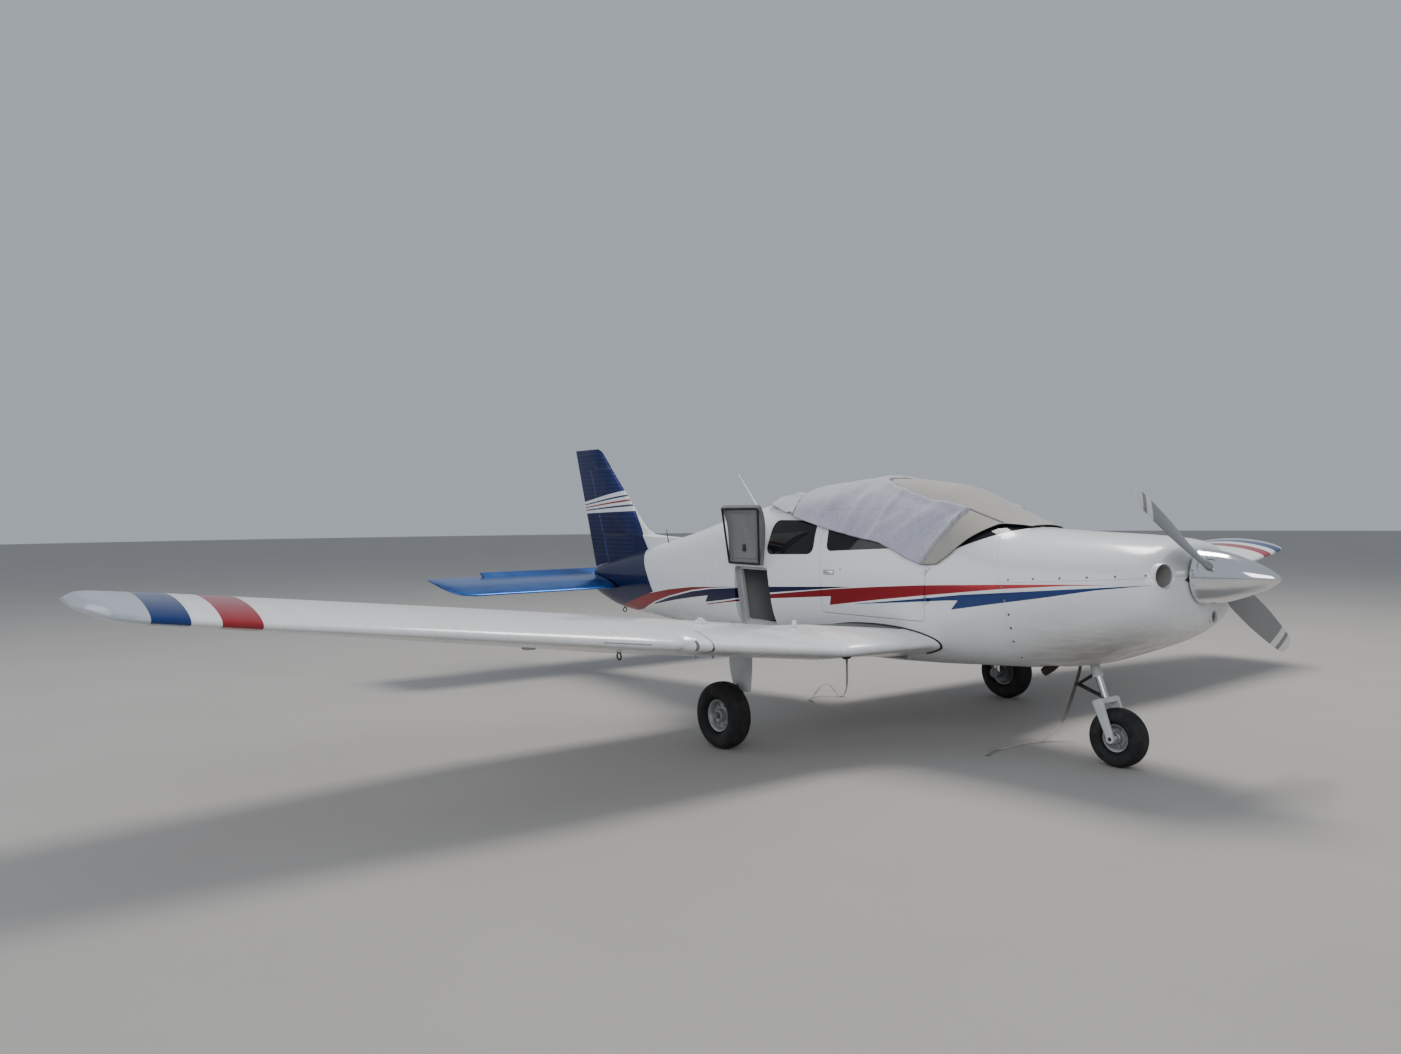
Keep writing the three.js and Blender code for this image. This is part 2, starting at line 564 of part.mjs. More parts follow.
// Wing. Columns: |y|, leading edge, trailing edge, its plane's height at the leading edge, nose-up angle,
// thickness, and how far the nose is raised above that plane
const WING = [
  [430, 1900, 3690, 608, 2.0, 232, 84],
  [570, 1942, 3690, 623, 2.0, 232, 84],
  [1200, 2088, 3690, 690, 2.0, 218, 0],
  [2700, 2090, 3690, 863, 2.0, 218, 0],
  [4990, 2306, 3425, 1128, -1.0, 136, 0],
  [5120, 2320, 3408, 1143, -1.0, 131, 0],
  [5245, 2390, 3400, 1162, -1.0, 118, 0],
  [5315, 2600, 3372, 1178, -1.0, 84, 0],
  [HALF_SPAN, 2860, 3270, 1184, -1.0, 26, 0],
];
const TIP_JOINT = 5120;
const FLAP = { from: 646, to: 2724, stations: [3314, 3314], name: 'flap' };
const AILERON = { from: 2766, to: 4954, stations: [3350, 3192], name: 'aileron' };
const BAY_GAP = 7;
const END_GAP = 13;
const PIN_SHORT = 1.3;

function wingRow(y) {
  const next = Math.max(1, WING.findIndex((row) => row[0] >= y));
  const [a, b] = [WING[next - 1], WING[next]];
  const share = (y - a[0]) / (b[0] - a[0]);
  return a.map((value, k) => value + (b[k] - value) * share);
}

// A point of the section at |y|: share x along the chord, and height over the mean line in half thicknesses
function wingPoint(y, direction, x, above) {
  const [, lead, trail, height, angle, thick, raised] = wingRow(y);
  const chord = trail - lead;
  const up = chord * meanLine(x) + (above * thick * halfThickness(x)) / 2 + raised * (1 - x) ** 1.5;
  const tilt = Math.tan(radians(angle));
  return [at(lead + chord * x), direction * y, height - chord * x * tilt + up];
}

function wingRing(y, direction) {
  const upper = AEROFOIL.map(([x]) => wingPoint(y, direction, x, 1));
  const lower = AEROFOIL.slice(1).map(([x]) => wingPoint(y, direction, x, -1)).reverse();
  return [...upper, ...lower];
}

function wingBetween(from, to, direction) {
  const between = WING.map((row) => row[0]).filter((y) => y > from + 1 && y < to - 1);
  return loft([from, ...between, to].map((y) => wingRing(y, direction)));
}

// A surface's hinge is a straight line between the mean line's heights at its two ends
function hingeOf(spec, y, direction) {
  const ends = [spec.from, spec.to].map((end, k) => {
    const [, lead, trail] = wingRow(end);
    return wingPoint(end, direction, (spec.stations[k] - lead) / (trail - lead), 0);
  });
  const share = (y - spec.from) / (spec.to - spec.from);
  return [0, 1, 2].map((k) => ends[0][k] + (ends[1][k] - ends[0][k]) * share);
}

function noseRadius(spec, y) {
  const [, lead, trail, , , thick] = wingRow(y);
  const [x] = hingeOf(spec, y, RIGHT);
  return (thick * halfThickness((at(x) - lead) / (trail - lead))) / 2;
}

// A hinged piece of the trailing edge: round nose about the hinge, then flat sides to the edge
function surfaceRing(spec, y, direction) {
  const [x0, , z0] = hingeOf(spec, y, direction);
  const nose = noseRadius(spec, y);
  const tail = (above) => [0.92, 1].map((x) => wingPoint(y, direction, x, above));
  const arc = [90, 45, 0, -45, -90].map((angle) => [
    x0 + nose * Math.cos(radians(angle)), direction * y, z0 + nose * Math.sin(radians(angle))]);
  return [...arc, ...tail(-1), ...tail(1).reverse()];
}

function bay(spec, direction) {
  const ring = (y) => {
    const [x] = hingeOf(spec, y, direction);
    const front = x + noseRadius(spec, y) + BAY_GAP;
    const back = at(3900);
    return [[front, 300], [back, 300], [back, 1500], [front, 1500]].map(([a, z]) => [a, direction * y, z]);
  };
  return loft([spec.from - END_GAP, spec.to + END_GAP].map(ring));
}

function surface(spec, direction, name) {
  const between = WING.map((row) => row[0]).filter((y) => y > spec.from && y < spec.to);
  const levels = [spec.from, ...between, spec.to];
  const body = loft(levels.map((y) => surfaceRing(spec, y, direction)));
  const [a, b] = [spec.from, spec.to].map((y) => new THREE.Vector3(...hingeOf(spec, y, direction)));
  const along = b.clone().sub(a).normalize().multiplyScalar(END_GAP - PIN_SHORT);
  const pin = bar(a.clone().sub(along).toArray(), b.clone().add(along).toArray(), 7, 7, 12);
  node(`${name}_${spec.name}`, body.add(pin), WHITE);
}

const JACK_PAD_Z = 838;

function wings() {
  const outside = fuselage(FIREWALL, BULKHEAD, TOUCH);
  for (const [name, direction] of SIDES) {
    const whole = cut(wingBetween(WING[0][0], TIP_JOINT - TOUCH, direction), outside);
    const bays = [FLAP, AILERON].map((spec) => bay(spec, direction));
    const padX = [at(2560), at(2500)];
    const pad = box(padX, [direction * 3170, direction * 3230], [JACK_PAD_Z, 900]);
    node(`${name}_wing`, cut(whole, ...bays).add(cut(pad, wingBetween(3000, 3400, direction))), WHITE);
    node(`${name}_wing_tip`, wingBetween(TIP_JOINT, HALF_SPAN, direction), CLEAR);
    for (const spec of [FLAP, AILERON]) surface(spec, direction, name);
  }
}

// Stabilator. Columns: |y|, leading edge, trailing edge, thickness
const STABILATOR = [
  [0, 6320, 7085, 82],
  [1600, 6320, 7085, 82],
  [1725, 6345, 7085, 74],
  [1795, 6420, 7080, 54],
  [1822, 6560, 7060, 22],
];
const STABILATOR_REST = 9;
const TAB = { hinge: 6960, halfSpan: 1265, rest: 22 };

// The stabilator's own frame: origin on its pivot, x forward; it is turned trailing edge up at rest
function stabilatorFrame() {
  const frame = new THREE.Group();
  frame.position.set(at(TUBE.station), 0, TUBE.z);
  frame.rotation.y = radians(STABILATOR_REST);
  model.add(frame);
  return frame;
}

function stabilatorRing([y, lead, trail, thick], direction) {
  const shares = [0.02, 0.1, 0.35, 0.65, 1];
  const edge = shares.map((x) => [
    TUBE.station - lead - (trail - lead) * x, direction * y, (thick / 2) * tailShape(x)]);
  const nose = [[TUBE.station - lead, direction * y, 0]];
  return [...nose, ...edge, ...edge.map(([x, v, z]) => [x, v, -z]).reverse()];
}

function stabilator() {
  const frame = stabilatorFrame();
  const halves = SIDES.map(([, direction]) => loft(STABILATOR.map((row) => stabilatorRing(row, direction))));
  const hinge = TUBE.station - TAB.hinge;
  const [, lead, trail, thick] = STABILATOR[0];
  const half = (thick / 2) * tailShape((TAB.hinge - lead) / (trail - lead));
  const tabBay = box([hinge + half + BAY_GAP, hinge - 400],
    [-TAB.halfSpan - BAY_GAP, TAB.halfSpan + BAY_GAP], [-200, 200]);
  const stations = [6250, 6400, 6600, 6750, TAIL_END];
  const edge = stations.map((s) => [s, fuselageRow(s)[3] + 14]);
  const slot = plan([...edge, [7200, 54], [7200, -54], ...edge.map(([s, y]) => [s, -y]).reverse()], 300, 1500)
    .translate([-at(TUBE.station), 0, -TUBE.z]);
  const tube = bar([0, -TUBE.halfLength, 0], [0, TUBE.halfLength, 0], TUBE.radius, TUBE.radius, TUBE.sides);
  node('stabilator', cut(join(halves), tabBay, slot).add(tube), BLUE, frame);

  const section = (y) => {
    const nose = [90, 45, 0, -45, -90].map((a) =>
      [half * Math.cos(radians(a)), y, half * Math.sin(radians(a))]);
    return [...nose, [TAB.hinge - trail, y, -3], [TAB.hinge - trail, y, 3]];
  };
  const reach = TAB.halfSpan + BAY_GAP - TOUCH;
  const pin = bar([0, -reach, 0], [0, reach, 0], 5, 5, 12);
  const tabFrame = new THREE.Group();
  tabFrame.position.set(hinge, 0, 0);
  tabFrame.rotation.y = radians(TAB.rest);
  frame.add(tabFrame);
  node('stabilator_tab', loft([-TAB.halfSpan, TAB.halfSpan].map(section)).add(pin), BLUE, tabFrame);
}

// Wheels. Outer radius, half width, rim radius and hub reach
const MAIN_WHEEL = { station: 2920, radius: 222.5, half: 80, rim: 108, axle: 20 };
const NOSE_WHEEL = { station: 962, radius: 180, half: 63, rim: 82, axle: 14 };
const TYRE_SIDES = 24;
const LEG_Y = 1385;
const LEG_FOOT = 372;
// Leg fairing. Columns: station, width, depth, height
const LEG_ROWS = [[2905, 236, 62, 660], [2905, 236, 62, 560], [2888, 165, 60, LEG_FOOT]];
const LEG_PISTON = { station: 2905, radius: 27, bottom: 200 };
const AXLE_HUB = { inward: 30, outward: 52, radius: 42 };
const AXLE_END = 1600;

function tyreProfile({ radius, half, rim }) {
  const [middle, reach] = [(radius + rim) / 2, (radius - rim) / 2];
  const ring = [0, 50, 90, 135, 180, 225, 270, 310];
  const crown = ring.map((angle) => [
    middle + reach * Math.cos(radians(angle)), half * Math.sin(radians(angle))]);
  return [...crown, crown[0]];
}

function wheel(name, spec, y, z) {
  const place = (mesh) => mesh.position.set(at(spec.station), y, z);
  place(node(`${name}_tyre`, solid(turned(tyreProfile(spec), TYRE_SIDES)), RUBBER));
  const inner = spec.rim - TOUCH;
  const bore = boreFor(spec.axle, 24);
  const rim = [[bore, -spec.half * 0.62], [bore, spec.half * 0.62], [bore + 18, spec.half * 0.62],
    [bore + 24, spec.half * 0.35], [inner, spec.half * 0.55], [inner, -spec.half * 0.55],
    [bore + 24, -spec.half * 0.35], [bore + 18, -spec.half * 0.62], [bore, -spec.half * 0.62]];
  place(node(`${name}_wheel`, solid(turned(rim.reverse(), 24)), STEEL));
}

function mainGear() {
  for (const [name, direction] of SIDES) {
    const wheelY = (direction * TRACK) / 2;
    wheel(`${name}_main`, MAIN_WHEEL, wheelY, MAIN_WHEEL.radius);
    const y = direction * LEG_Y;
    const leg = loft(LEG_ROWS.map(([station, width, depth, z]) => [[-1, -1], [1, -1], [1, 1], [-1, 1]].map(
      ([a, b]) => [at(station) + (a * width) / 2, y + (b * depth) / 2, z])));
    node(`${name}_gear_leg`, cut(leg, wingBetween(1200, 1600, direction).translate([0, 0, -TOUCH])
      .add(wingBetween(1200, 1600, direction))), WHITE);
    const foot = [at(MAIN_WHEEL.station), y, MAIN_WHEEL.radius];
    const pistonX = at(LEG_PISTON.station);
    const piston = bar([pistonX, y, LEG_FOOT - TOUCH], [pistonX, y, LEG_PISTON.bottom],
      LEG_PISTON.radius, LEG_PISTON.radius, 16);
    const hubEnds = [-AXLE_HUB.inward, AXLE_HUB.outward].map((out) =>
      [foot[0], y + direction * out, foot[2]]);
    const hub = bar(...hubEnds, AXLE_HUB.radius, AXLE_HUB.radius, 16);
    const axle = bar(foot, [foot[0], direction * AXLE_END, foot[2]], MAIN_WHEEL.axle, MAIN_WHEEL.axle, 24);
    node(`${name}_axle`, join([piston, hub, axle]), STEEL);
  }
}

// Nose gear: a leaning strut that steers as a whole in a collar fixed under the engine
const STRUT_LEAN = 20;
const STRUT_TOP = { station: 1136, z: 640 };
const strutPoint = (down, y = 0) => [
  at(STRUT_TOP.station) + down * Math.sin(radians(STRUT_LEAN)), y,
  STRUT_TOP.z - down * Math.cos(radians(STRUT_LEAN))];
const FORK_Y = 89;
// Strut: lengths along its leaning line, downwards from its top point
const TUBE_RADIUS = 30;
const COLLAR = { from: -245, to: -20, radius: 48 };
const BRACE = { from: -150, wallZ: 700, radius: 22 };
const PISTON_ROD = { from: 100, to: 270, radius: 22 };
const CROWN = { down: 258, half: 38, under: 28, over: 22, end: 12 };
const FORK_ARM = { top: 24, foot: 16, boss: 24, inward: 11, outward: 13 };
const LINKS = { top: 85, bottom: 245, radius: 11, knee: [1240, 474] };

function noseGear() {
  wheel('nose', NOSE_WHEEL, 0, NOSE_WHEEL.radius);
  const bore = boreFor(TUBE_RADIUS, 24);
  const room = bar(strutPoint(COLLAR.from - 15), strutPoint(0), bore, bore, 24);
  const collar = cut(bar(strutPoint(COLLAR.from), strutPoint(COLLAR.to), COLLAR.radius, COLLAR.radius, 16),
    room);
  const brace = bar(strutPoint(BRACE.from), [at(FIREWALL + 2), 0, BRACE.wallZ],
    BRACE.radius, BRACE.radius, 10);
  node('nose_strut_mount', join([collar, cut(brace, room, BEHIND_FIREWALL)]), STEEL);

  const tube = bar(strutPoint(COLLAR.from + 5), strutPoint(PISTON_ROD.from + 10),
    TUBE_RADIUS, TUBE_RADIUS, 24);
  const piston = bar(strutPoint(PISTON_ROD.from), strutPoint(PISTON_ROD.to),
    PISTON_ROD.radius, PISTON_ROD.radius, 16);
  const reach = FORK_Y + CROWN.end;
  const crown = box([-CROWN.half, CROWN.half], [-reach, reach], [-CROWN.under, CROWN.over])
    .rotate([0, -STRUT_LEAN, 0]).translate(strutPoint(CROWN.down));
  const arm = (direction) => {
    const foot = [at(NOSE_WHEEL.station), direction * FORK_Y, NOSE_WHEEL.radius];
    const boss = [-FORK_ARM.inward, FORK_ARM.outward].map((out) =>
      [foot[0], direction * (FORK_Y + out), foot[2]]);
    return bar(strutPoint(CROWN.down, direction * FORK_Y), foot, FORK_ARM.top, FORK_ARM.foot, 12)
      .add(bar(...boss, FORK_ARM.boss, FORK_ARM.boss, 16));
  };
  const axle = bar([at(NOSE_WHEEL.station), -FORK_Y, NOSE_WHEEL.radius],
    [at(NOSE_WHEEL.station), FORK_Y, NOSE_WHEEL.radius], NOSE_WHEEL.axle, NOSE_WHEEL.axle, 24);
  const knee = [at(LINKS.knee[0]), 0, LINKS.knee[1]];
  const links = [LINKS.top, LINKS.bottom].map((down) =>
    bar(strutPoint(down), knee, LINKS.radius, LINKS.radius, 8));
  node('nose_fork', join([tube, piston, crown, arm(RIGHT), arm(LEFT), axle, ...links]), STEEL);
}

// Propeller: two twisted blades on a hub. Columns: radius, chord, thickness, pitch
const BLADE_ROWS = [
  [60, 70, 62, 60],
  [150, 92, 40, 50],
  [300, 142, 26, 38],
  [520, 150, 17, 28],
  [760, 134, 11, 21],
  [930, 108, 8, 17],
  [PROPELLER_RADIUS, 62, 5, 16],
];
const SPINNER = [[0, 0], [14, 10], [62, 80], [110, 190], [144, 310], [160, 424]];
const SPINNER_WALL = 5;
const SPINNER_SLOT = { halfX: 56, halfY: 46, from: 90, to: 220 };
const HUB = { radius: 62, front: 45 };

function blade(turnBy) {
  const rows = BLADE_ROWS.map(([radius, chord, thick, pitch]) => {
    const outline = [[-0.5, 0], [-0.3, 0.42], [0.05, 0.5], [0.3, 0.36], [0.5, 0], [0.3, -0.3], [0.05, -0.36],
      [-0.3, -0.3]];
    return outline.map(([along, across]) => {
      const [c, s] = [Math.cos(radians(pitch)), Math.sin(radians(pitch))];
      const [u, v] = [along * chord, across * thick];
      return [-u * s + v * c, u * c + v * s, radius];
    });
  });
  return loft(rows).rotate([turnBy, 0, 0]);
}

function propeller() {
  const spin = new THREE.Group();
  spin.position.set(at(PROPELLER_STATION), 0, SHAFT_Z);
  model.add(spin);
  const blades = [BLADE_ANGLE, BLADE_ANGLE + 180].map((angle) => blade(angle));
  const back = PROPELLER_STATION - HUB_BACK;
  const hub = bar([back, 0, 0], [HUB.front, 0, 0], HUB.radius, HUB.radius, 24);
  node('propeller', join([hub, ...blades]), BLADE, spin);

  const shell = SPINNER.map(([r, s]) => [r, PROPELLER_STATION - s]);
  const inside = SPINNER.slice(1).map(([r, s]) => [Math.max(0, r - SPINNER_WALL), PROPELLER_STATION - s - 6]);
  const rim = [SPINNER.at(-1)[0] - SPINNER_WALL, shell.at(-1)[1]];
  const outline = [...shell, rim, ...inside.slice(0, -1).reverse(), [0, inside[0][1]]];
  const cone = solid(turned(outline.reverse(), 24).rotateZ(-Math.PI / 2));
  const { halfX, halfY, from, to } = SPINNER_SLOT;
  const slots = [BLADE_ANGLE, BLADE_ANGLE + 180].map((angle) =>
    box([-halfX, halfX], [-halfY, halfY], [from, to]).rotate([angle, 0, 0]));
  node('spinner', cut(cone, ...slots), POLISHED, spin);
  const [base, baseStation] = SPINNER.at(-1);
  const plate = PROPELLER_STATION - baseStation - TOUCH;
  const disc = cut(bar([plate - SPINNER_WALL, 0, 0], [plate, 0, 0], base, base, 24),
    bar([plate - 20, 0, 0], [plate + 20, 0, 0], HUB.radius + TOUCH, HUB.radius + TOUCH, 24));
  node('spinner_backplate', disc, STEEL, spin);
}

// Aerials and small fittings that stand on the skin
const ROOF_AERIAL = { base: [4290, 0, 1560], tip: [4571, 0, 1900], radii: [9, 4] };
const TAIL_AERIAL = { base: [5497, -90, 1220], tip: [5535, -90, 1420], radii: [6, 3] };
const TIE_DOWN = { station: 6386, z: 604, ring: 20, wire: 5, shank: [18, 60] };

function fittings() {
  const roof = fuselage(FIREWALL, TAIL_END, TOUCH);
  const place = ([station, y, z]) => [at(station), y, z];
  const whip = (name, { base, tip, radii }, material) =>
    node(name, cut(bar(place(base), place(tip), ...radii, 8), roof), material);
  whip('roof_aerial', ROOF_AERIAL, WHITE);
  whip('tail_aerial', TAIL_AERIAL, RUBBER);
  const ring = new THREE.TorusGeometry(TIE_DOWN.ring, TIE_DOWN.wire, 8, 16).rotateY(Math.PI / 2);
  const [low, high] = TIE_DOWN.shank;
  const tail = solid(ring).add(bar([0, 0, low], [0, 0, high], TIE_DOWN.wire, TIE_DOWN.wire, 8))
    .translate([at(TIE_DOWN.station), 0, TIE_DOWN.z]);
  node('tail_tie_down', cut(tail, roof), STEEL);
}

// Cabin cover: a quilted sheet over the windscreen and roof, with a corner hanging over the door
const COVER = { gap: 0.5, thick: 12 };
const COVER_MAIN = [[1520, 1900], [1500, 1440], [1713, 1400], [1990, 1262], [2000, 1292], [2150, 1599],
  [3120, 1599], [3300, 1560], [3560, 1600], [3900, 1700], [3900, 1900]];
const COVER_LEFT = [[1720, 1425], [1984, 1268], [2150, 1420], [3259, 1500], [3540, 1610], [2180, 1650]];
const COVER_FLAP = [[2018, 1222], [2305, 1324], [2680, 1408], [3030, 1485], [3042, 1583], [2170, 1583],
  [2020, 1288]];

function cover() {
  const low = COVER.gap;
  const high = COVER.gap + COVER.thick;
  const sheet = cut(fuselage(FIREWALL, BULKHEAD, high), fuselage(FIREWALL - 30, BULKHEAD + 30, low));
  const main = sheet.intersect(side(COVER_MAIN, -900, 900));
  node('cover', main.add(sheet.intersect(side(COVER_LEFT, 150, 900))), CLOTH);
  node('cover_door_flap', sheet.intersect(onSide(COVER_FLAP, RIGHT)), CLOTH);
}

// Webbing straps on the cover's left hem, hanging to the ground with their bare ends loose on it.
// Columns of a route: station, y, z
const STRAP = { width: 25, thick: 4, step: 50, turnFrom: 250, turnTo: 60 };
const STRAP_ROUTES = {
  strap_front: [
    [1580, 369, 1421.5], [1578, 422, 1380], [1574, 486, 1302], [1567, 530, 1202], [1560, 549, 1100],
    [1555, 553, 1000], [1552, 552, 880], [1556, 550, 740], [1568, 548, 600], [1586, 545, 470],
    [1606, 528, 370], [1624, 497, 265], [1633, 452, 172], [1637, 400, 115], [1648, 355, 74],
    [1663, 300, 40], [1672, 250, 14], [1684, 205, 3], [1700, 158, 3], [1722, 71, 3], [1715, -75, 3],
    [1701, -243, 3], [1650, -383, 3],
  ],
  strap_rear: [
    [3664, 262, 1628], [3670, 311, 1600], [3684, 390, 1522], [3702, 451, 1423], [3724, 496, 1302],
    [3752, 523, 1150], [3778, 531, 1000], [3796, 529, 860], [3806, 532, 700], [3811, 537, 520],
    [3813, 541, 340], [3814, 544, 200], [3815, 544, 120], [3818, 537, 58], [3828, 514, 14], [3847, 488, 6],
    [3873, 468, 34], [3910, 455, 80], [3942, 436, 104], [3960, 400, 96], [3966, 352, 62], [3964, 300, 18],
    [3946, 250, 4], [3905, 200, 4], [3859, 157, 4], [3783, 116, 4],
  ],
};

// The webbing's outer face looks outboard while it hangs, and turns down to lie on the ground
function strapFrames(route, steps) {
  const stops = Array.from({ length: steps + 1 }, (_, i) => i / steps);
  const tangents = stops.map((u) => route.getTangentAt(u));
  const normals = stops.map((u, i) => {
    const drop = STRAP.turnFrom - route.getPointAt(u).z;
    const lying = THREE.MathUtils.smoothstep(drop, 0, STRAP.turnFrom - STRAP.turnTo);
    return tangents[i].clone().cross(new THREE.Vector3(0, 1 - lying, -lying)).normalize();
  });
  const binormals = tangents.map((tangent, i) => tangent.clone().cross(normals[i]));
  return { tangents, normals, binormals };
}

function straps() {
  const [half, edge, flat] = [STRAP.width / 2, STRAP.thick / 4, STRAP.thick / 2];
  const corner = half - flat;
  const outline = [[half, -edge], [half, edge], [corner, flat], [-corner, flat],
    [-half, edge], [-half, -edge], [-corner, -flat], [corner, -flat]];
  const section = new THREE.Shape(outline.map(([x, y]) => new THREE.Vector2(x, y)));
  for (const [name, points] of Object.entries(STRAP_ROUTES)) {
    const stops = points.map(([station, y, z]) => new THREE.Vector3(at(station), y, z));
    const route = new THREE.CatmullRomCurve3(stops);
    route.computeFrenetFrames = (steps) => strapFrames(route, steps);
    const steps = Math.round(route.getLength() / STRAP.step);
    const webbing = new THREE.ExtrudeGeometry(section, { steps, extrudePath: route, bevelEnabled: false });
    node(name, solid(webbing), WEBBING);
  }
}

cowling();
engine();
cabin();
tailCone();
finAndRudder();
wings();
stabilator();
mainGear();
noseGear();
propeller();
fittings();
cover();
straps();

export default model;
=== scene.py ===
import bisect
from math import asin, atan2, copysign, cos, exp, hypot, log, pi, radians, sin, sqrt, tan, tau

import bmesh
import bpy
import numpy as np
from mathutils import Matrix, Vector, noise


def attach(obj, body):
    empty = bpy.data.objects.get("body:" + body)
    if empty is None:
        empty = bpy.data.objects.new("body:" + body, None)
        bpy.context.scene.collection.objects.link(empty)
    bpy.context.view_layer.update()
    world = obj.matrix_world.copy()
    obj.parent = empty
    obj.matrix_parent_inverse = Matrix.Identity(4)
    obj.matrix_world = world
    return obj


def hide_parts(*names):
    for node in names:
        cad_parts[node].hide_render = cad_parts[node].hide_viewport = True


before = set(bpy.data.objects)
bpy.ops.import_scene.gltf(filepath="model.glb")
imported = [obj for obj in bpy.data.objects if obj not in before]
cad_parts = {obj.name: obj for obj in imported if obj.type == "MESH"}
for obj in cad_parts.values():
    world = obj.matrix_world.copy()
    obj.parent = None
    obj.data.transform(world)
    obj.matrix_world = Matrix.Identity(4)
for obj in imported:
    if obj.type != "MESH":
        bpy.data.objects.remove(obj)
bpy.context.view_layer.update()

# Camera: a hand-held one 1.59 m above the apron, off the right front quarter, almost level.
# Its place, turn and focal length are the ones that the aircraft's own known points gave.
EYE = Vector((6.405, -6.083, 1.588))
YAW, PITCH, ROLL = (radians(a) for a in (142.7695, -0.721, -0.554))
ahead = Vector((cos(PITCH) * cos(YAW), cos(PITCH) * sin(YAW), sin(PITCH)))
level = Vector((sin(YAW), -cos(YAW), 0))
upright = level.cross(ahead)
rightwards = cos(ROLL) * level + sin(ROLL) * upright
upwards = cos(ROLL) * upright - sin(ROLL) * level
lens = bpy.data.cameras.new("camera")
lens.sensor_width = 36
lens.lens = 27.98
lens.shift_x = 0.0058
lens.shift_y = -0.0016
lens.clip_end = 400
camera = bpy.data.objects.new("camera", lens)
camera.matrix_world = Matrix(
    [[rightwards[k], upwards[k], -ahead[k], EYE[k]] for k in range(3)] + [[0, 0, 0, 1]])
bpy.context.collection.objects.link(camera)
bpy.context.scene.camera = camera


# Webbing straps: woven polyester, 25 mm wide, sewn to the cover's left hem at front and rear.
# Both are undone: they hang to the ground, and their bare ends lie on it.
def operator(operation, swapped=False):
    """A method that applies one Math node to a value and what it meets."""
    return lambda one, other: one.math(operation, *((other, one) if swapped else (one, other)))


class Value:
    """A number that varies over a surface: arithmetic on it adds Math nodes to its material."""

    __add__, __radd__ = operator("ADD"), operator("ADD", True)
    __sub__, __rsub__ = operator("SUBTRACT"), operator("SUBTRACT", True)
    __mul__, __rmul__ = operator("MULTIPLY"), operator("MULTIPLY", True)
    __truediv__, __mod__, __pow__ = operator("DIVIDE"), operator("FLOORED_MODULO"), operator("POWER")
    __gt__, __lt__ = operator("GREATER_THAN"), operator("LESS_THAN")
    __or__, __and__ = operator("MAXIMUM"), operator("MINIMUM")

    def __init__(self, tree, socket):
        self.tree = tree
        self.socket = socket

    def math(self, operation, *parts):
        node = self.tree.nodes.new("ShaderNodeMath")
        node.operation = operation
        for plug, part in zip(node.inputs, parts):
            if isinstance(part, Value):
                self.tree.links.new(part.socket, plug)
            else:
                plug.default_value = part
        return Value(self.tree, node.outputs[0])

    def __abs__(self):
        return self.math("ABSOLUTE", self)

    def sine(self):
        return self.math("SINE", self)

    def soft_step(self, low, high):
        """0 below low, 1 above high, and an even slope between."""
        slope = self.math("MULTIPLY_ADD", self, 1 / (high - low), -low / (high - low))
        return slope & 1 | 0

    def near(self, place, reach):
        """1 within reach of a place, 0 beyond it."""
        return abs(self - place) < reach


class Finish:
    """A surface finish: a material with one glossy shader, and the nodes that vary it."""

    def __init__(self, name, **constants):
        self.material = bpy.data.materials.new(name)
        self.material.use_nodes = True
        self.tree = self.material.node_tree
        self.shader = self.tree.nodes["Principled BSDF"]
        for key, value in constants.items():
            self.shader.inputs[key.replace("_", " ")].default_value = value

    def connect(self, node, sockets):
        for key, value in sockets.items():
            plug = node.inputs[key.replace("_", " ") if isinstance(key, str) else key]
            if isinstance(value, Value):
                self.tree.links.new(value.socket, plug)
            else:
                plug.default_value = value

    def node(self, kind, settings, sockets, out=0):
        made = self.tree.nodes.new("ShaderNode" + kind)
        for key, value in settings.items():
            if key == "stops":
                ramp = made.color_ramp.elements
                while len(ramp) < len(value):
                    ramp.new(0.5)
                for stop, (place, color) in zip(ramp, value):
                    stop.position = place
                    stop.color = color
            else:
                setattr(made, key, value)
        self.connect(made, sockets)
        return Value(self.tree, made.outputs[out])

    def coat(self, **sockets):
        """Feeds the shader's own sockets."""
        self.connect(self.shader, sockets)
        return self.material

    def places(self, kept=None):
        """The surface point's object coordinates, or those kept with it, as a vector and as x, y and z."""
        if kept:
            point = self.node("Attribute", {"attribute_name": kept}, {}, "Vector")
        else:
            point = self.node("TexCoord", {}, {}, "Object")
        return point, *(self.node("SeparateXYZ", {}, {0: point}, k) for k in range(3))

    def weave_map(self, name="weave"):
        """The piece's own map: metres along it and metres across it."""
        flat = self.node("UVMap", {"uv_map": name}, {})
        return flat, *(self.node("SeparateXYZ", {}, {0: flat}, k) for k in range(2))

    def grain(self, point, scale, detail=3.0, roughness=0.5, stretch=None):
        if stretch:
            point = self.node("Mapping", {}, {"Vector": point, "Scale": stretch})
        return self.node("TexNoise", {}, {
            "Vector": point, "Scale": scale, "Detail": detail, "Roughness": roughness})

    def mix(self, share, one, other):
        return self.node("Mix", {"data_type": "RGBA"}, {0: share, 6: one, 7: other}, 2)

    def bump(self, height, strength, distance, under=None):
        sockets = {"Height": height, "Strength": strength, "Distance": distance}
        if under is not None:
            sockets["Normal"] = under
        return self.node("Bump", {}, sockets)


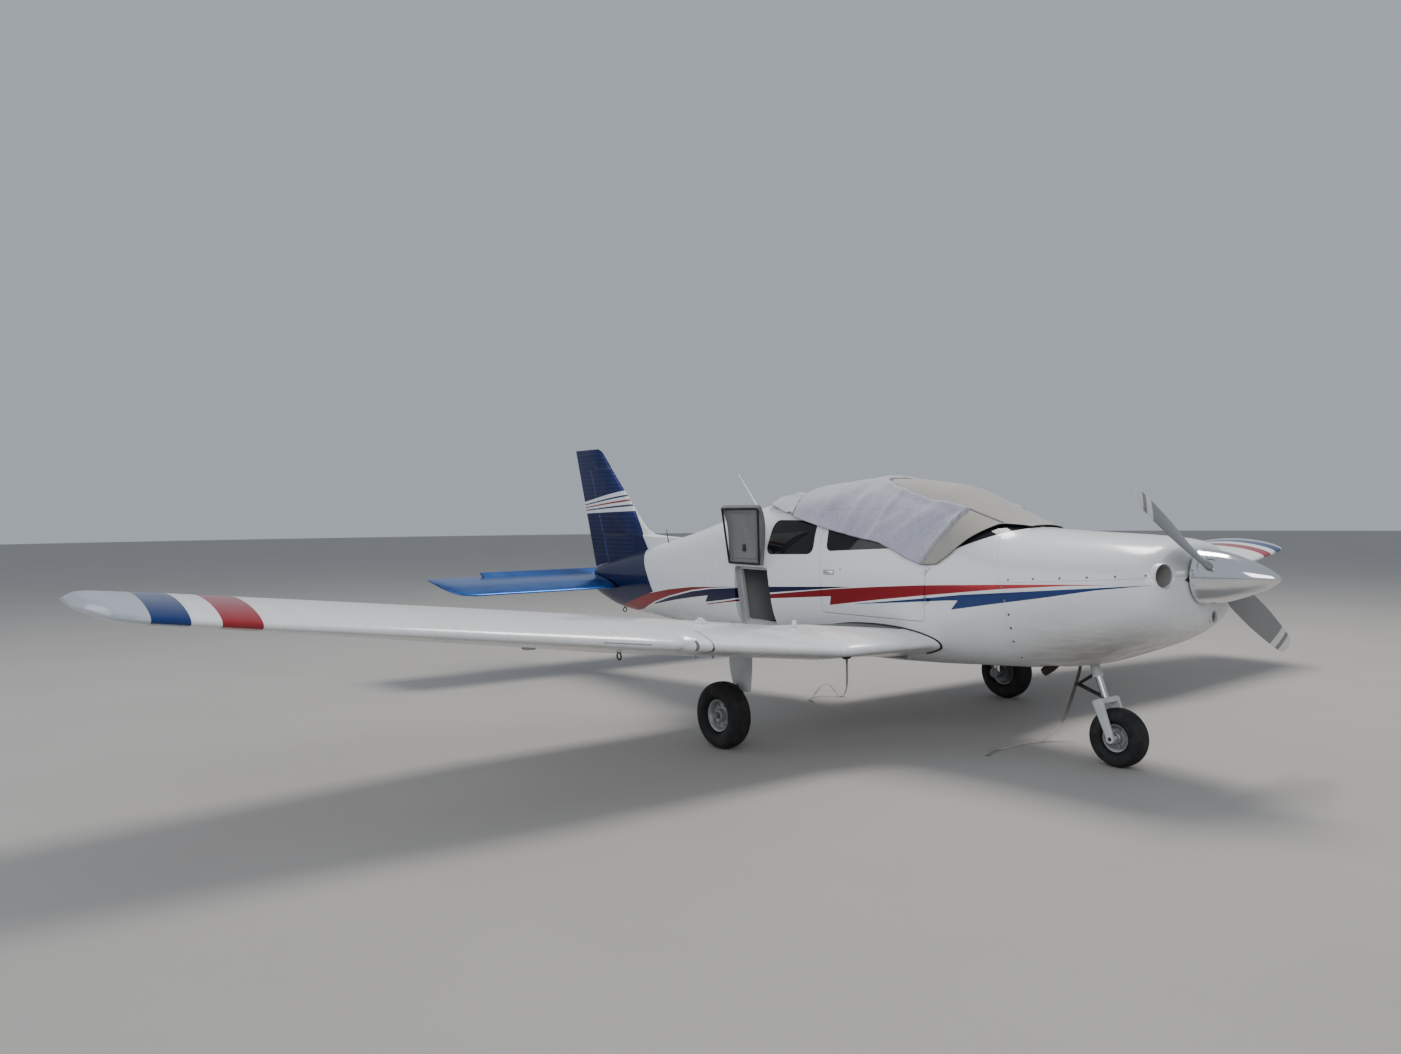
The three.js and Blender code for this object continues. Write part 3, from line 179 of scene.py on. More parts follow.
def laid_up(rows, around, place, weave=None):
    """A skin laid up on its former: a flat grid whose points go where place(row, share round) puts them.
    weave(row, share round), if given, is written to the skin's own map."""
    skin = bmesh.new()
    bmesh.ops.create_grid(skin, x_segments=len(rows) - 1, y_segments=around, size=1)
    spots = {v: (round((v.co.x + 1) / 2 * (len(rows) - 1)), (v.co.y + 1) / 2) for v in skin.verts}
    if weave:
        flat = skin.loops.layers.uv.new("weave")
        for face in skin.faces:
            for loop in face.loops:
                row, share = spots[loop.vert]
                loop[flat].uv = weave(rows[row], share)
    for v, (row, share) in spots.items():
        v.co = place(rows[row], share)
    return skin


WELD = 1e-5


def closed_up(skin):
    """Welds a skin's seams, closes its open ends and turns its faces outwards."""
    bmesh.ops.remove_doubles(skin, verts=skin.verts, dist=WELD)
    bmesh.ops.dissolve_degenerate(skin, edges=skin.edges, dist=WELD)
    bmesh.ops.holes_fill(skin, edges=skin.edges, sides=0)
    bmesh.ops.recalc_face_normals(skin, faces=skin.faces)
    return skin


def fitted(shape, name, body, finishes, slot=None, stands_for=(), crease=38):
    """Makes a shape a named piece on its body, in place of the CAD nodes that it stands for."""
    mesh = bpy.data.meshes.new(name)
    shape.to_mesh(mesh)
    shape.free()
    for finish in finishes if isinstance(finishes, (list, tuple)) else [finishes]:
        mesh.materials.append(finish)
    mesh.shade_smooth()
    mesh.set_sharp_from_angle(angle=radians(crease))
    thing = bpy.data.objects.new(name, mesh)
    bpy.context.collection.objects.link(thing)
    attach(thing, body)
    if stands_for:
        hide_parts(*stands_for)
    return thing


NOSE_TIP = 3.65
SIDES = (("right", -1), ("left", 1))


def at(station):
    """A station is a distance in metres aft of the spinner's tip; this is its x."""
    return NOSE_TIP - station


def rounded_route(stops, step):
    """Points a step apart on a smooth line through the stops, with even speed between them."""
    ends = [2 * stops[0] - stops[1], *stops, 2 * stops[-1] - stops[-2]]
    line = []
    for p0, p1, p2, p3 in zip(ends, ends[1:], ends[2:], ends[3:]):
        t1, t2, t3 = np.cumsum([(b - a).length ** 0.5 for a, b in ((p0, p1), (p1, p2), (p2, p3))])
        for k in range(12):
            t = t1 + (t2 - t1) * k / 12
            a1 = p0 * (t1 - t) / t1 + p1 * t / t1
            a2 = p1 * (t2 - t) / (t2 - t1) + p2 * (t - t1) / (t2 - t1)
            a3 = p2 * (t3 - t) / (t3 - t2) + p3 * (t - t2) / (t3 - t2)
            b1 = a1 * (t2 - t) / t2 + a2 * t / t2
            b2 = a2 * (t3 - t) / (t3 - t1) + a3 * (t - t1) / (t3 - t1)
            line.append(b1 * (t2 - t) / (t2 - t1) + b2 * (t - t1) / (t2 - t1))
    line.append(stops[-1])
    far = np.concatenate([[0], np.cumsum([(b - a).length for a, b in zip(line, line[1:])])])
    spaced = np.linspace(0, far[-1], max(2, round(far[-1] / step)) + 1)
    return [Vector([np.interp(s, far, [p[k] for p in line]) for k in range(3)]) for s in spaced]


def webbing(name, lit_from, lit_to):
    finish = Finish(name, Roughness=0.85, Specular_IOR_Level=0.25, Sheen_Weight=0.25)
    flat, along, across = finish.weave_map()
    rib = (along * (2 * pi / 0.0022)).sine() * 0.5 + 0.5
    stripe = (across * (2 * pi / 0.0035)).sine() * 0.5 + 0.5
    soil = finish.grain(flat, 14.0, 5.0, 0.6)
    # The lighter stretch is painted light: the webbing's lit face where it reaches and lies on the ground.
    light = along.soft_step(lit_from, lit_from + 0.05) * (1 - along.soft_step(lit_to, lit_to + 0.05))
    dark_tone = finish.mix(soil, (0.025, 0.024, 0.023, 1), (0.085, 0.08, 0.073, 1))
    lit_tone = finish.mix(soil, (0.5, 0.48, 0.44, 1), (0.24, 0.225, 0.2, 1))
    base = finish.mix(light, dark_tone, lit_tone)
    worn = finish.mix(rib * stripe * 0.5, base, (0.7, 0.68, 0.64, 1))
    return finish.coat(Base_Color=worn, Normal=finish.bump(rib + stripe * 0.6, 0.5, 0.0006))


STRAP_WIDTH, STRAP_THICK = 0.025, 0.003
# Columns of a route: station, y, z
STRAP_ROUTES = {
    "front": [(1.58, 0.369, 1.4215), (1.578, 0.422, 1.38), (1.574, 0.486, 1.302), (1.567, 0.53, 1.202),
              (1.56, 0.549, 1.1), (1.555, 0.553, 1.0), (1.552, 0.552, 0.88), (1.556, 0.55, 0.74),
              (1.568, 0.548, 0.6), (1.586, 0.545, 0.47), (1.606, 0.528, 0.37), (1.624, 0.497, 0.265),
              (1.633, 0.452, 0.172), (1.637, 0.4, 0.115), (1.648, 0.355, 0.074), (1.663, 0.3, 0.04),
              (1.672, 0.25, 0.014), (1.684, 0.205, 0.003), (1.7, 0.158, 0.003), (1.722, 0.071, 0.003),
              (1.715, -0.075, 0.003), (1.701, -0.243, 0.003), (1.65, -0.383, 0.003)],
    "rear": [(3.664, 0.262, 1.628), (3.67, 0.311, 1.6), (3.684, 0.39, 1.522), (3.702, 0.451, 1.423),
             (3.724, 0.496, 1.302), (3.752, 0.523, 1.15), (3.778, 0.531, 1.0), (3.796, 0.529, 0.86),
             (3.806, 0.532, 0.7), (3.811, 0.537, 0.52), (3.813, 0.541, 0.34), (3.814, 0.544, 0.2),
             (3.815, 0.544, 0.12), (3.818, 0.537, 0.058), (3.828, 0.514, 0.014), (3.847, 0.488, 0.006),
             (3.873, 0.468, 0.034), (3.91, 0.455, 0.08), (3.942, 0.436, 0.104), (3.96, 0.4, 0.096),
             (3.966, 0.352, 0.062), (3.964, 0.3, 0.018), (3.946, 0.25, 0.004), (3.905, 0.2, 0.004),
             (3.859, 0.157, 0.004), (3.783, 0.116, 0.004)],
}
# Where each strap's lighter stretch starts and ends, in metres along it: painted light for the webbing's lit
# face near and on the ground; the rest is its own dark tone
STRAP_LIT = {"front": (1.38, 2.0), "rear": (1.42, 2.2)}


def strap(which):
    route = rounded_route([Vector((at(s), y, z)) for s, y, z in STRAP_ROUTES[which]], 0.012)
    length = sum((b - a).length for a, b in zip(route, route[1:]))
    rows = []
    for k, point in enumerate(route):
        run = (route[min(k + 1, len(route) - 1)] - route[max(k - 1, 0)]).normalized()
        lying = min(1, max(0, (0.25 - point.z) / 0.19))
        lying = lying * lying * (3 - 2 * lying)
        across = run.cross(Vector((0, 1 - lying, -lying))).normalized()
        rows.append((point, across, across.cross(run), length * k / (len(route) - 1)))

    def place(row, share):
        point, across, face, _ = row
        turn = 2 * pi * share
        wide, thick = cos(turn), sin(turn)
        return (point + across * copysign(abs(wide) ** 0.35, wide) * STRAP_WIDTH / 2
                + face * copysign(abs(thick) ** 0.7, thick) * STRAP_THICK / 2)

    band = laid_up(rows, 16, place, lambda row, share: (row[3], STRAP_WIDTH * abs(2 * share - 1)))
    piece = fitted(closed_up(band), f"{which}_webbing_strap", "airframe",
                   webbing(f"strap_webbing_{which}", *STRAP_LIT[which]), "strap_webbing",
                   [f"strap_{which}"], 60)


for which in STRAP_ROUTES:
    strap(which)

# Stage: a plain pale floor under even studio light, with one large soft light standing in for the sun.
# None of it belongs to the aircraft.
floor_shape = bmesh.new()
bmesh.ops.create_circle(floor_shape, cap_ends=True, segments=96, radius=70)
floor_mesh = bpy.data.meshes.new("floor")
floor_shape.to_mesh(floor_mesh)
floor_shape.free()
floor = bpy.data.objects.new("floor", floor_mesh)
bpy.context.collection.objects.link(floor)
ground = Finish("pale_floor", Roughness=0.75, Specular_IOR_Level=0.2)
ground_point, *_ = ground.places()
floor_mesh.materials.append(ground.coat(Base_Color=ground.mix(
    ground.grain(ground_point, 0.6), (0.37, 0.355, 0.335, 1), (0.43, 0.415, 0.395, 1))))

sky = bpy.data.worlds.new("studio")
bpy.context.scene.world = sky
sky.use_nodes = True
sky_light = sky.node_tree.nodes["Background"]
sky_light.inputs["Color"].default_value = (0.8, 0.88, 1.0, 1)
sky_light.inputs["Strength"].default_value = 0.5
for name, spot, size, watts, tone in (
        ("sun_panel", (-1.0, 5.0, 13.0), 5.0, 1700, (1, 0.96, 0.9)),
        ("front_panel", (11.0, -10.0, 7.0), 7.0, 560, (1, 1, 1)),
        ("side_panel", (-6.0, -12.0, 6.0), 8.0, 380, (0.95, 0.97, 1))):
    panel = bpy.data.lights.new(name, "AREA")
    panel.shape = "SQUARE"
    panel.size = size
    panel.energy = watts
    panel.color = tone
    hung = bpy.data.objects.new(name, panel)
    aim = Vector((0.5, 0, 0.9)) - Vector(spot)
    hung.matrix_world = Matrix.Translation(spot) @ aim.to_track_quat("-Z", "Y").to_matrix().to_4x4()
    bpy.context.collection.objects.link(hung)


# Tail cone: sheet aluminium riveted over frames and stringers, primed and sprayed gloss white, with the
# red, navy and blue stripes sprayed over it. It is one skin with the cabin and runs back to the tail light.
# Frames of the fuselage: station, top, bottom, half width, waist height, roundness above and below the waist
FRAMES = [
    (0.440, 1.290, 0.985, 0.325, 1.137, 2.4, 2.4), (0.444, 1.322, 0.955, 0.355, 1.134, 2.4, 2.4),
    (0.453, 1.350, 0.922, 0.388, 1.130, 2.4, 2.4), (0.475, 1.378, 0.876, 0.432, 1.122, 2.4, 2.4),
    (0.560, 1.402, 0.812, 0.480, 1.105, 2.5, 2.4), (0.760, 1.420, 0.724, 0.507, 1.075, 2.5, 2.4),
    (1.100, 1.436, 0.612, 0.523, 1.040, 2.5, 2.4), (1.440, 1.456, 0.566, 0.538, 1.010, 2.5, 2.5),
    (1.480, 1.462, 0.562, 0.540, 1.005, 2.5, 2.5), (1.830, 1.606, 0.542, 0.553, 0.980, 2.4, 2.8),
    (2.160, 1.738, 0.522, 0.560, 0.960, 2.4, 3.0), (2.660, 1.792, 0.502, 0.562, 0.950, 2.4, 3.0),
    (3.120, 1.748, 0.500, 0.560, 0.950, 2.4, 3.0), (3.800, 1.668, 0.508, 0.520, 0.950, 2.4, 2.8),
    (4.400, 1.562, 0.526, 0.446, 0.950, 2.3, 2.6), (5.140, 1.388, 0.556, 0.330, 0.945, 2.2, 2.4),
    (5.620, 1.292, 0.580, 0.250, 0.935, 2.1, 2.2), (5.950, 1.226, 0.600, 0.193, 0.925, 2.0, 2.1),
    (6.400, 1.126, 0.640, 0.122, 0.910, 2.0, 2.0), (6.750, 1.048, 0.728, 0.074, 0.900, 2.0, 2.0),
    (6.890, 1.016, 0.782, 0.047, 0.895, 2.0, 2.0), (6.925, 0.985, 0.815, 0.027, 0.895, 2.0, 2.0),
]
# The bulkhead where the tail cone starts, and how far back the nose's close frames reach
BULKHEAD, ROUND_NOSE = 4.2, 0.6


def smooth_row(rows, key):
    """A table's row at a key, on curves through its rows that never swing past them."""
    keys = [row[0] for row in rows]
    i = min(max(bisect.bisect_right(keys, key) - 1, 0), len(rows) - 2)
    share = (key - keys[i]) / (keys[i + 1] - keys[i])

    def slope(k, c):
        steps = [(rows[n + 1][c] - rows[n][c]) / (keys[n + 1] - keys[n])
                 for n in (k - 1, k) if 0 <= n < len(rows) - 1]
        if len(steps) < 2:
            return steps[0]
        return 0 if steps[0] * steps[1] <= 0 else 2 * steps[0] * steps[1] / (steps[0] + steps[1])

    gap = keys[i + 1] - keys[i]
    t, t2, t3 = share, share ** 2, share ** 3
    return [key] + [(2 * t3 - 3 * t2 + 1) * rows[i][c] + (t3 - 2 * t2 + t) * gap * slope(i, c)
                    + (3 * t2 - 2 * t3) * rows[i + 1][c] + (t3 - t2) * gap * slope(i + 1, c)
                    for c in range(1, len(rows[0]))]


def skin_y(station, z, side=-1):
    """The skin's y at a station and height, on the right (-1) or left (1)."""
    _, top, bottom, half, waist, upper, lower = smooth_row(FRAMES, station)
    t = (z - waist) / (top - waist) if z > waist else (waist - z) / (waist - bottom)
    power = upper if z > waist else lower
    return side * half * max(0, 1 - min(1, t) ** power) ** (1 / power)


def on_skin(station, z, side=-1, proud=0.0):
    """A point on the skin, or that far proud of it."""
    step = 0.004
    here = Vector((at(station), skin_y(station, z, side), z))
    along = Vector((at(station + step), skin_y(station + step, z, side), z)) - here
    rise = Vector((at(station), skin_y(station, z + step, side), z + step)) - here
    out = along.cross(rise).normalized()
    return here + out * copysign(proud, proud * out.y * side)


def frame_point(row, share):
    """A point round a fuselage frame: equal steps along its edge within each quarter."""
    _, top, bottom, half, waist, upper, lower = row
    quarter, part = divmod(share * 4 % 4, 1)
    high = quarter in (0, 1)
    power = 2 / (upper if high else lower)
    turn = np.linspace(0, pi / 2, 60)
    ys, zs = half * np.cos(turn) ** power, (top - waist if high else waist - bottom) * np.sin(turn) ** power
    run = np.concatenate([[0], np.cumsum(np.hypot(np.diff(ys), np.diff(zs)))])
    where = (part if quarter in (0, 2) else 1 - part) * run[-1]
    y, z = np.interp(where, run, ys), np.interp(where, run, zs)
    return Vector((at(row[0]), y if quarter in (0, 3) else -y, waist + (z if high else -z)))


def faces_out(skin):
    """Turns a skin's faces so that most look away from the plane of symmetry."""
    skin.normal_update()
    if sum(f.normal.y * f.calc_center_median().y for f in skin.faces) < 0:
        bmesh.ops.reverse_faces(skin, faces=skin.faces)
    return skin


def fuselage_skin(start, end, pitch=0.035, around=112):
    """An open skin over the frames from one station to another, its faces outwards."""
    steps = max(2, round((end - start) / pitch))
    stations = [start + (end - start) * k / steps for k in range(steps + 1)]
    stations += [row[0] for row in FRAMES if row[0] < ROUND_NOSE and start < row[0] < end]
    skin = laid_up([smooth_row(FRAMES, s) for s in sorted(set(stations))], around, frame_point)
    bmesh.ops.remove_doubles(skin, verts=skin.verts, dist=WELD)
    return faces_out(skin)


# Stripes on the white paint, by station and height. Each has an upper edge, a thin aft part's lower edge,
# and a bolt's lower edge ahead of a slanting notch
STRIPES = {
    "red": {
        "upper": [(4.511, 0.803), (4.174, 0.849), (3.556, 0.943), (2.888, 1.016), (2.441, 1.055),
                  (2.037, 1.085), (1.446, 1.116), (0.972, 1.138), (0.692, 1.146)],
        "thin": [(4.514, 0.795), (4.176, 0.838), (3.556, 0.910), (2.870, 0.966)],
        "bolt": [(2.885, 0.902), (2.441, 0.965), (2.035, 1.017), (1.444, 1.088), (0.971, 1.131),
                 (0.692, 1.146)],
        "notch": [(2.868, 1.016), (2.885, 0.902)]},
    "blue": {
        "upper": [(2.637, 0.926), (2.441, 0.949), (2.035, 0.998), (1.722, 1.039), (1.367, 1.072),
                  (0.970, 1.110), (0.494, 1.154)],
        "thin": [(2.637, 0.924), (2.441, 0.941), (2.036, 0.978), (1.826, 0.997), (1.743, 1.002)],
        "bolt": [(1.796, 0.940), (1.423, 1.004), (1.145, 1.050), (0.801, 1.112), (0.494, 1.153)],
        "notch": [(1.710, 1.040), (1.796, 0.940)]},
    "navy": {
        "upper": [(5.540, 0.735), (5.206, 0.811), (4.755, 0.893), (4.432, 0.933), (4.177, 0.953),
                  (3.575, 0.999), (2.889, 1.034), (2.681, 1.042)],
        "thin": [(5.540, 0.726), (5.076, 0.799), (4.764, 0.841), (4.475, 0.876)],
        "bolt": [(4.526, 0.817), (4.172, 0.861), (3.575, 0.953), (2.681, 1.041)],
        "notch": [(4.430, 0.930), (4.526, 0.817)]},
    "tail red": {
        "upper": [(6.439, 0.631), (5.981, 0.739), (5.684, 0.812), (5.188, 0.886), (4.753, 0.931),
                  (4.177, 0.966), (3.950, 0.976)],
        "thin": [(6.439, 0.560), (5.874, 0.652), (5.519, 0.753), (5.202, 0.824), (4.754, 0.906),
                 (4.432, 0.942), (4.177, 0.962), (3.950, 0.975)],
        "bolt": [(6.439, 2.0), (0.4, 2.0)],
        "notch": [(0.2, 1.1), (0.2, 0.9)]},
}
RED_TONE, NAVY_TONE, BLUE_TONE = (0.28, 0.008, 0.016, 1), (0.007, 0.010, 0.06, 1), (0.007, 0.026, 0.12, 1)
WHITE_TONE, DARKENING_TONE = (0.80, 0.815, 0.83, 1), (0.36, 0.335, 0.29, 1)
STRIPE_SPAN, STRIPE_LOW, STRIPE_HIGH = 7.0, 0.5, 1.3
# Where the tail's lap joints and rivets begin, their first place and pitch, the rivets' distance and pitch
LAPS_FROM, LAP_AT, LAP_PITCH, RIVET_OFF, RIVET_PITCH = 4.24, 4.78, 0.74, 0.012, 0.03
STRINGER_AT, STRINGER_FALL = 1.04, 0.018
TAIL_RED_LINE = ((5.5, 0.848), (6.439, 0.631))


def beyond(across, up, start, end):
    """Whether a point is on the right of the line from start to end, looking along it."""
    (a0, b0), (a1, b1) = start, end
    return (across - a0) * (b1 - b0) - (up - b0) * (a1 - a0) > 0


def stripe(finish, station, z, edges):
    """Where a stripe is, from its edges' heights along the fuselage."""
    stops = sorted({s for key in ("upper", "thin", "bolt") for s, _ in edges[key]})
    heights = [[np.interp(s, [p[0] for p in reversed(edges[key])], [p[1] for p in reversed(edges[key])])
                for key in ("upper", "thin", "bolt")] for s in stops]
    scaled = [(s / STRIPE_SPAN, [(h - STRIPE_LOW) / (STRIPE_HIGH - STRIPE_LOW) for h in row] + [1])
              for s, row in zip(stops, heights)]
    line = finish.node("ValToRGB", {"stops": scaled}, {0: station / STRIPE_SPAN})
    share = (z - STRIPE_LOW) / (STRIPE_HIGH - STRIPE_LOW)
    upper, thin, bolt = (finish.node("SeparateColor", {}, {0: line}, k) for k in range(3))
    ahead_of_notch = beyond(station, z, *edges["notch"])
    lower = (share > thin) & (1 - ahead_of_notch) | (share > bolt) & ahead_of_notch
    ends = (station > edges["upper"][-1][0]) & (station < edges["upper"][0][0])
    return (share < upper) & lower & ends


def white_paint(name, shut=False):
    """Gloss white with the fuselage's stripes, read on the surface, or where it is with its door shut."""
    finish = Finish(name, Coat_Roughness=0.06, Specular_IOR_Level=0.5)
    point, x, _, z = finish.places("shut" if shut else None)
    station = at(x)
    cloudy = finish.grain(point, 2.2, 4.0, 0.6)
    speckled = finish.grain(point, 60.0, 4.0, 0.7)
    belly = 1 - z.soft_step(0.56, 0.92)
    cowl_dust = (1 - station.soft_step(1.0, 1.5)) * (1 - z.soft_step(0.72, 1.12))
    streaks = finish.grain(point, 2.0, 5.0, 0.65, (1.2, 9.0, 14.0))
    dirt_and_darkening = (belly * 0.35 + cowl_dust * 0.95) * streaks * 1.25 + (speckled > 0.74) * cowl_dust * 0.4
    off_lap = abs((station - LAP_AT) % LAP_PITCH - LAP_PITCH / 2)
    stringer = abs(z - STRINGER_AT + (station - BULKHEAD) * STRINGER_FALL) < 0.0009
    seams = ((off_lap < 0.0011) | stringer) & (station > LAPS_FROM)
    rivets = (off_lap - RIVET_OFF < 0.003) & (z % RIVET_PITCH).near(RIVET_PITCH / 2,
                                                                    0.0022) & (station > LAPS_FROM)
    tone = finish.mix(cloudy * 0.25, WHITE_TONE, (0.72, 0.74, 0.765, 1))
    tone = finish.mix((dirt_and_darkening + seams * 0.55 + rivets * 0.12) & 0.8, tone, DARKENING_TONE)
    sprayed = 0 * station
    for key, color in (("blue", BLUE_TONE), ("red", RED_TONE), ("navy", NAVY_TONE), ("tail red", RED_TONE)):
        band = stripe(finish, station, z, STRIPES[key])
        tone = finish.mix(band, tone, color)
        sprayed = sprayed | band
    tail_edge = ((z - 0.84) / 1.27 + 5.517) | ((z - 0.995) / 0.972 + 5.639)
    tail = (station > tail_edge) & (1 - beyond(station, z, *TAIL_RED_LINE))
    tone = finish.mix(tail, tone, finish.mix(cloudy, (0.005, 0.009, 0.055, 1), (0.009, 0.016, 0.09, 1)))
    dents = finish.grain(point, 3.5, 2.0)
    normal = finish.bump(finish.grain(point, 300.0, 2.0), 0.04, 0.0006, finish.bump(
        dents * 3 - (seams | rivets) * 0.35, 0.10, 0.004))
    return finish.coat(Base_Color=tone, Roughness=dirt_and_darkening * 0.3 + cloudy * 0.06 + 0.2,
                       Metallic=tail * 0.85 | sprayed * 0.55, Coat_Weight=0.3 - (tail | sprayed) * 0.25,
                       Normal=normal)


def darker(tone, share):
    return (*(share * c for c in tone[:3]), 1)


def trim_moulding(name, tone):
    """Grained plastic mouldings that line the cabin."""
    finish = Finish(name, Specular_IOR_Level=0.35)
    point, *_ = finish.places()
    grain = finish.grain(point, 420.0, 3.0, 0.6)
    patchy = finish.grain(point, 5.0, 4.0, 0.6)
    color = finish.mix(patchy * 0.7, tone, darker(tone, 0.62))
    return finish.coat(Base_Color=color, Roughness=patchy * 0.15 + 0.55,
                       Normal=finish.bump(grain, 0.25, 0.0006))


fuselage_paint = white_paint("fuselage_paint")
cabin_lining = trim_moulding("cabin_lining", (0.30, 0.31, 0.315, 1))


def walled(piece, depth, rounding=0.0012):
    """Gives a skin its thickness inwards, and rounds the edges."""
    wall = piece.modifiers.new("wall", "SOLIDIFY")
    wall.thickness = depth
    wall.offset = -1
    wall.use_quality_normals = True
    wall.material_offset = 1
    edge = piece.modifiers.new("edge", "BEVEL")
    edge.width = rounding
    edge.segments = 2
    edge.limit_method = "ANGLE"
    edge.angle_limit = radians(50)
    edge.harden_normals = True
    return piece


STABILATOR_PIVOT = Vector((at(6.53), 0, 0.87))
TUBE_HOLE = 0.0285
CONE_END, TAIL_BLOCK = 6.925, 6.92


def inside(outline, a, b):
    within = False
    for (a0, b0), (a1, b1) in zip(outline, outline[1:] + outline[:1]):
        if (b0 > b) != (b1 > b) and a < a0 + (b - b0) * (a1 - a0) / (b1 - b0):
            within = not within
    return within


def cut_along(skin, outline, axes=(0, 2), near=lambda centre: True, margin=0.05):
    """Cuts a skin along an outline that lies flat on two axes, and gives the faces inside it."""
    i, j = axes
    for p, q in zip(outline, outline[1:] + outline[:1]):
        low = [min(p[k], q[k]) - margin for k in (0, 1)]
        high = [max(p[k], q[k]) + margin for k in (0, 1)]
        faces = [f for f in skin.faces
                 for c in [f.calc_center_median()]
                 if low[0] < c[i] < high[0] and low[1] < c[j] < high[1] and near(c)]
        spot, turn = Vector((0, 0, 0)), Vector((0, 0, 0))
        spot[i], spot[j] = p
        turn[i], turn[j] = q[1] - p[1], p[0] - q[0]
        if not faces or turn.length < 1e-7:
            continue
        edges = {e for f in faces for e in f.edges}
        points = {v for f in faces for v in f.verts}
        bmesh.ops.bisect_plane(skin, geom=[*faces, *edges, *points], dist=WELD, plane_co=spot,
                               plane_no=turn.normalized())
    middles = ((f, f.calc_center_median()) for f in skin.faces)
    return [f for f, c in middles if near(c) and inside(outline, c[i], c[j])]


def split(skin, through, normal, **how):
    """Cuts all of a skin along a plane."""
    bmesh.ops.bisect_plane(skin, geom=[*skin.verts, *skin.edges, *skin.faces], dist=WELD, plane_co=through,
                           plane_no=normal, **how)


def drop(skin, faces):
    bmesh.ops.delete(skin, geom=list(faces), context="FACES")


def keep(skin, faces):
    drop(skin, set(skin.faces) - set(faces))


def ring_outline(a, b, radius, sides=40):
    return [(a + radius * cos(tau * k / sides), b + radius * sin(tau * k / sides))
            for k in range(sides)]


tail = fuselage_skin(BULKHEAD + 0.0006, CONE_END, 0.045, 96)
drop(tail, cut_along(tail, ring_outline(STABILATOR_PIVOT.x, STABILATOR_PIVOT.z, TUBE_HOLE, 28), margin=0.03))
rear_edge = [e for e in tail.edges if e.is_boundary and all(v.co.x < at(TAIL_BLOCK) for v in e.verts)]
bmesh.ops.edgeloop_fill(tail, edges=rear_edge)
walled(fitted(tail, "tail_cone_skin", "airframe", [fuselage_paint, cabin_lining], "white_paint",
              ["tail_cone"]),
       0.02)

# Cabin shell: the same riveted aluminium skin, with the floor, both side walls and the roof in one,
# open for the windscreen, the side windows, the cabin door and the baggage door. Lined with mouldings.
COWL_BACK = [(1.42, 0.3), (1.42, 0.5), (1.411, 0.66), (1.388, 0.80), (1.39, 0.933), (1.415, 1.03),
             (1.445, 1.114), (1.482, 1.265), (1.56, 1.4235), (1.50, 1.450), (1.466, 1.470), (1.466, 1.9)]
SCREEN = [(1.470, 1.466), (1.955, 1.266), (2.175, 1.712), (2.175, 1.9), (1.4, 1.9)]
CABIN_DOOR = [(2.008, 0.845), (2.008, 1.29), (2.16, 1.59), (3.052, 1.59), (2.96, 0.845)]
FRONT_WINDOW = [(2.078, 1.334), (2.206, 1.545), (2.985, 1.540), (2.945, 1.288)]
REAR_WINDOW = [(3.085, 1.262), (3.110, 1.510), (3.640, 1.512), (3.640, 1.246)]
BAGGAGE_DOOR = [(3.609, 1.142), (4.056, 1.142), (4.015, 0.655), (3.492, 0.655)]
DOOR_GAP = 0.004
WALL_DEPTH = 0.036


def drawn(outline):
    """An outline's stations as x."""
    return [(at(s), z) for s, z in outline]


def inset(outline, distance):
    """An outline moved inwards by a distance, or outwards where it is negative."""
    area = sum(a[0] * b[1] - b[0] * a[1] for a, b in zip(outline, outline[1:] + outline[:1]))
    turn = copysign(distance, area * distance)
    moved = []
    for before, point, after in zip(outline[-1:] + outline[:-1], outline, outline[1:] + outline[:1]):
        a, b = Vector(point) - Vector(before), Vector(after) - Vector(point)
        n = Vector((-a.y / a.length - b.y / b.length, a.x / a.length + b.x / b.length))
        moved.append(tuple(Vector(point) + n * (2 * turn / n.length_squared)))
    return moved


def cornered(outline, radius, steps=6):
    """An outline with its corners rounded."""
    soft = []
    for before, point, after in zip(outline[-1:] + outline[:-1], outline, outline[1:] + outline[:1]):
        p, to_a, to_b = Vector(point), Vector(before) - Vector(point), Vector(after) - Vector(point)
        reach = min(radius / tan(to_a.angle(to_b) / 2), 0.48 * to_a.length, 0.48 * to_b.length)
        a, b = p + to_a.normalized() * reach, p + to_b.normalized() * reach
        for k in range(steps + 1):
            t = k / steps
            soft.append(tuple(a * (1 - t) ** 2 + p * 2 * t * (1 - t) + b * t ** 2))
    return soft


def on_side(side):
    return lambda centre: centre.y * side > 0.15


front_window = cornered(drawn(FRONT_WINDOW), 0.055)
rear_window = cornered(drawn(REAR_WINDOW), 0.07)
cabin_door = cornered(drawn(CABIN_DOOR), 0.035)
baggage_door = cornered(drawn(BAGGAGE_DOOR), 0.025)
screen = cornered(drawn(SCREEN), 0.03)

shell = fuselage_skin(1.38, BULKHEAD)
split(shell, (at(3.2), 0, 0), (1, 0, 0))
behind_cowl = [(s + 0.0012, z) for s, z in COWL_BACK]
drop(shell, cut_along(shell, drawn(behind_cowl + [(1.2, 1.9), (1.2, 0.3)]), near=lambda c: c.x > at(1.7)))
drop(shell, cut_along(shell, screen, near=lambda c: c.z > 1.2))
for opening, side in ((rear_window, -1), (rear_window, 1), (front_window, 1), (cabin_door, -1),
                      (baggage_door, -1)):
    drop(shell, cut_along(shell, opening, near=on_side(side)))
walled(fitted(shell, "cabin_shell", "airframe", [fuselage_paint, cabin_lining], "white_paint",
              ["cabin_roof", "cabin_floor", "left_side_wall", "right_side_wall"]), WALL_DEPTH)


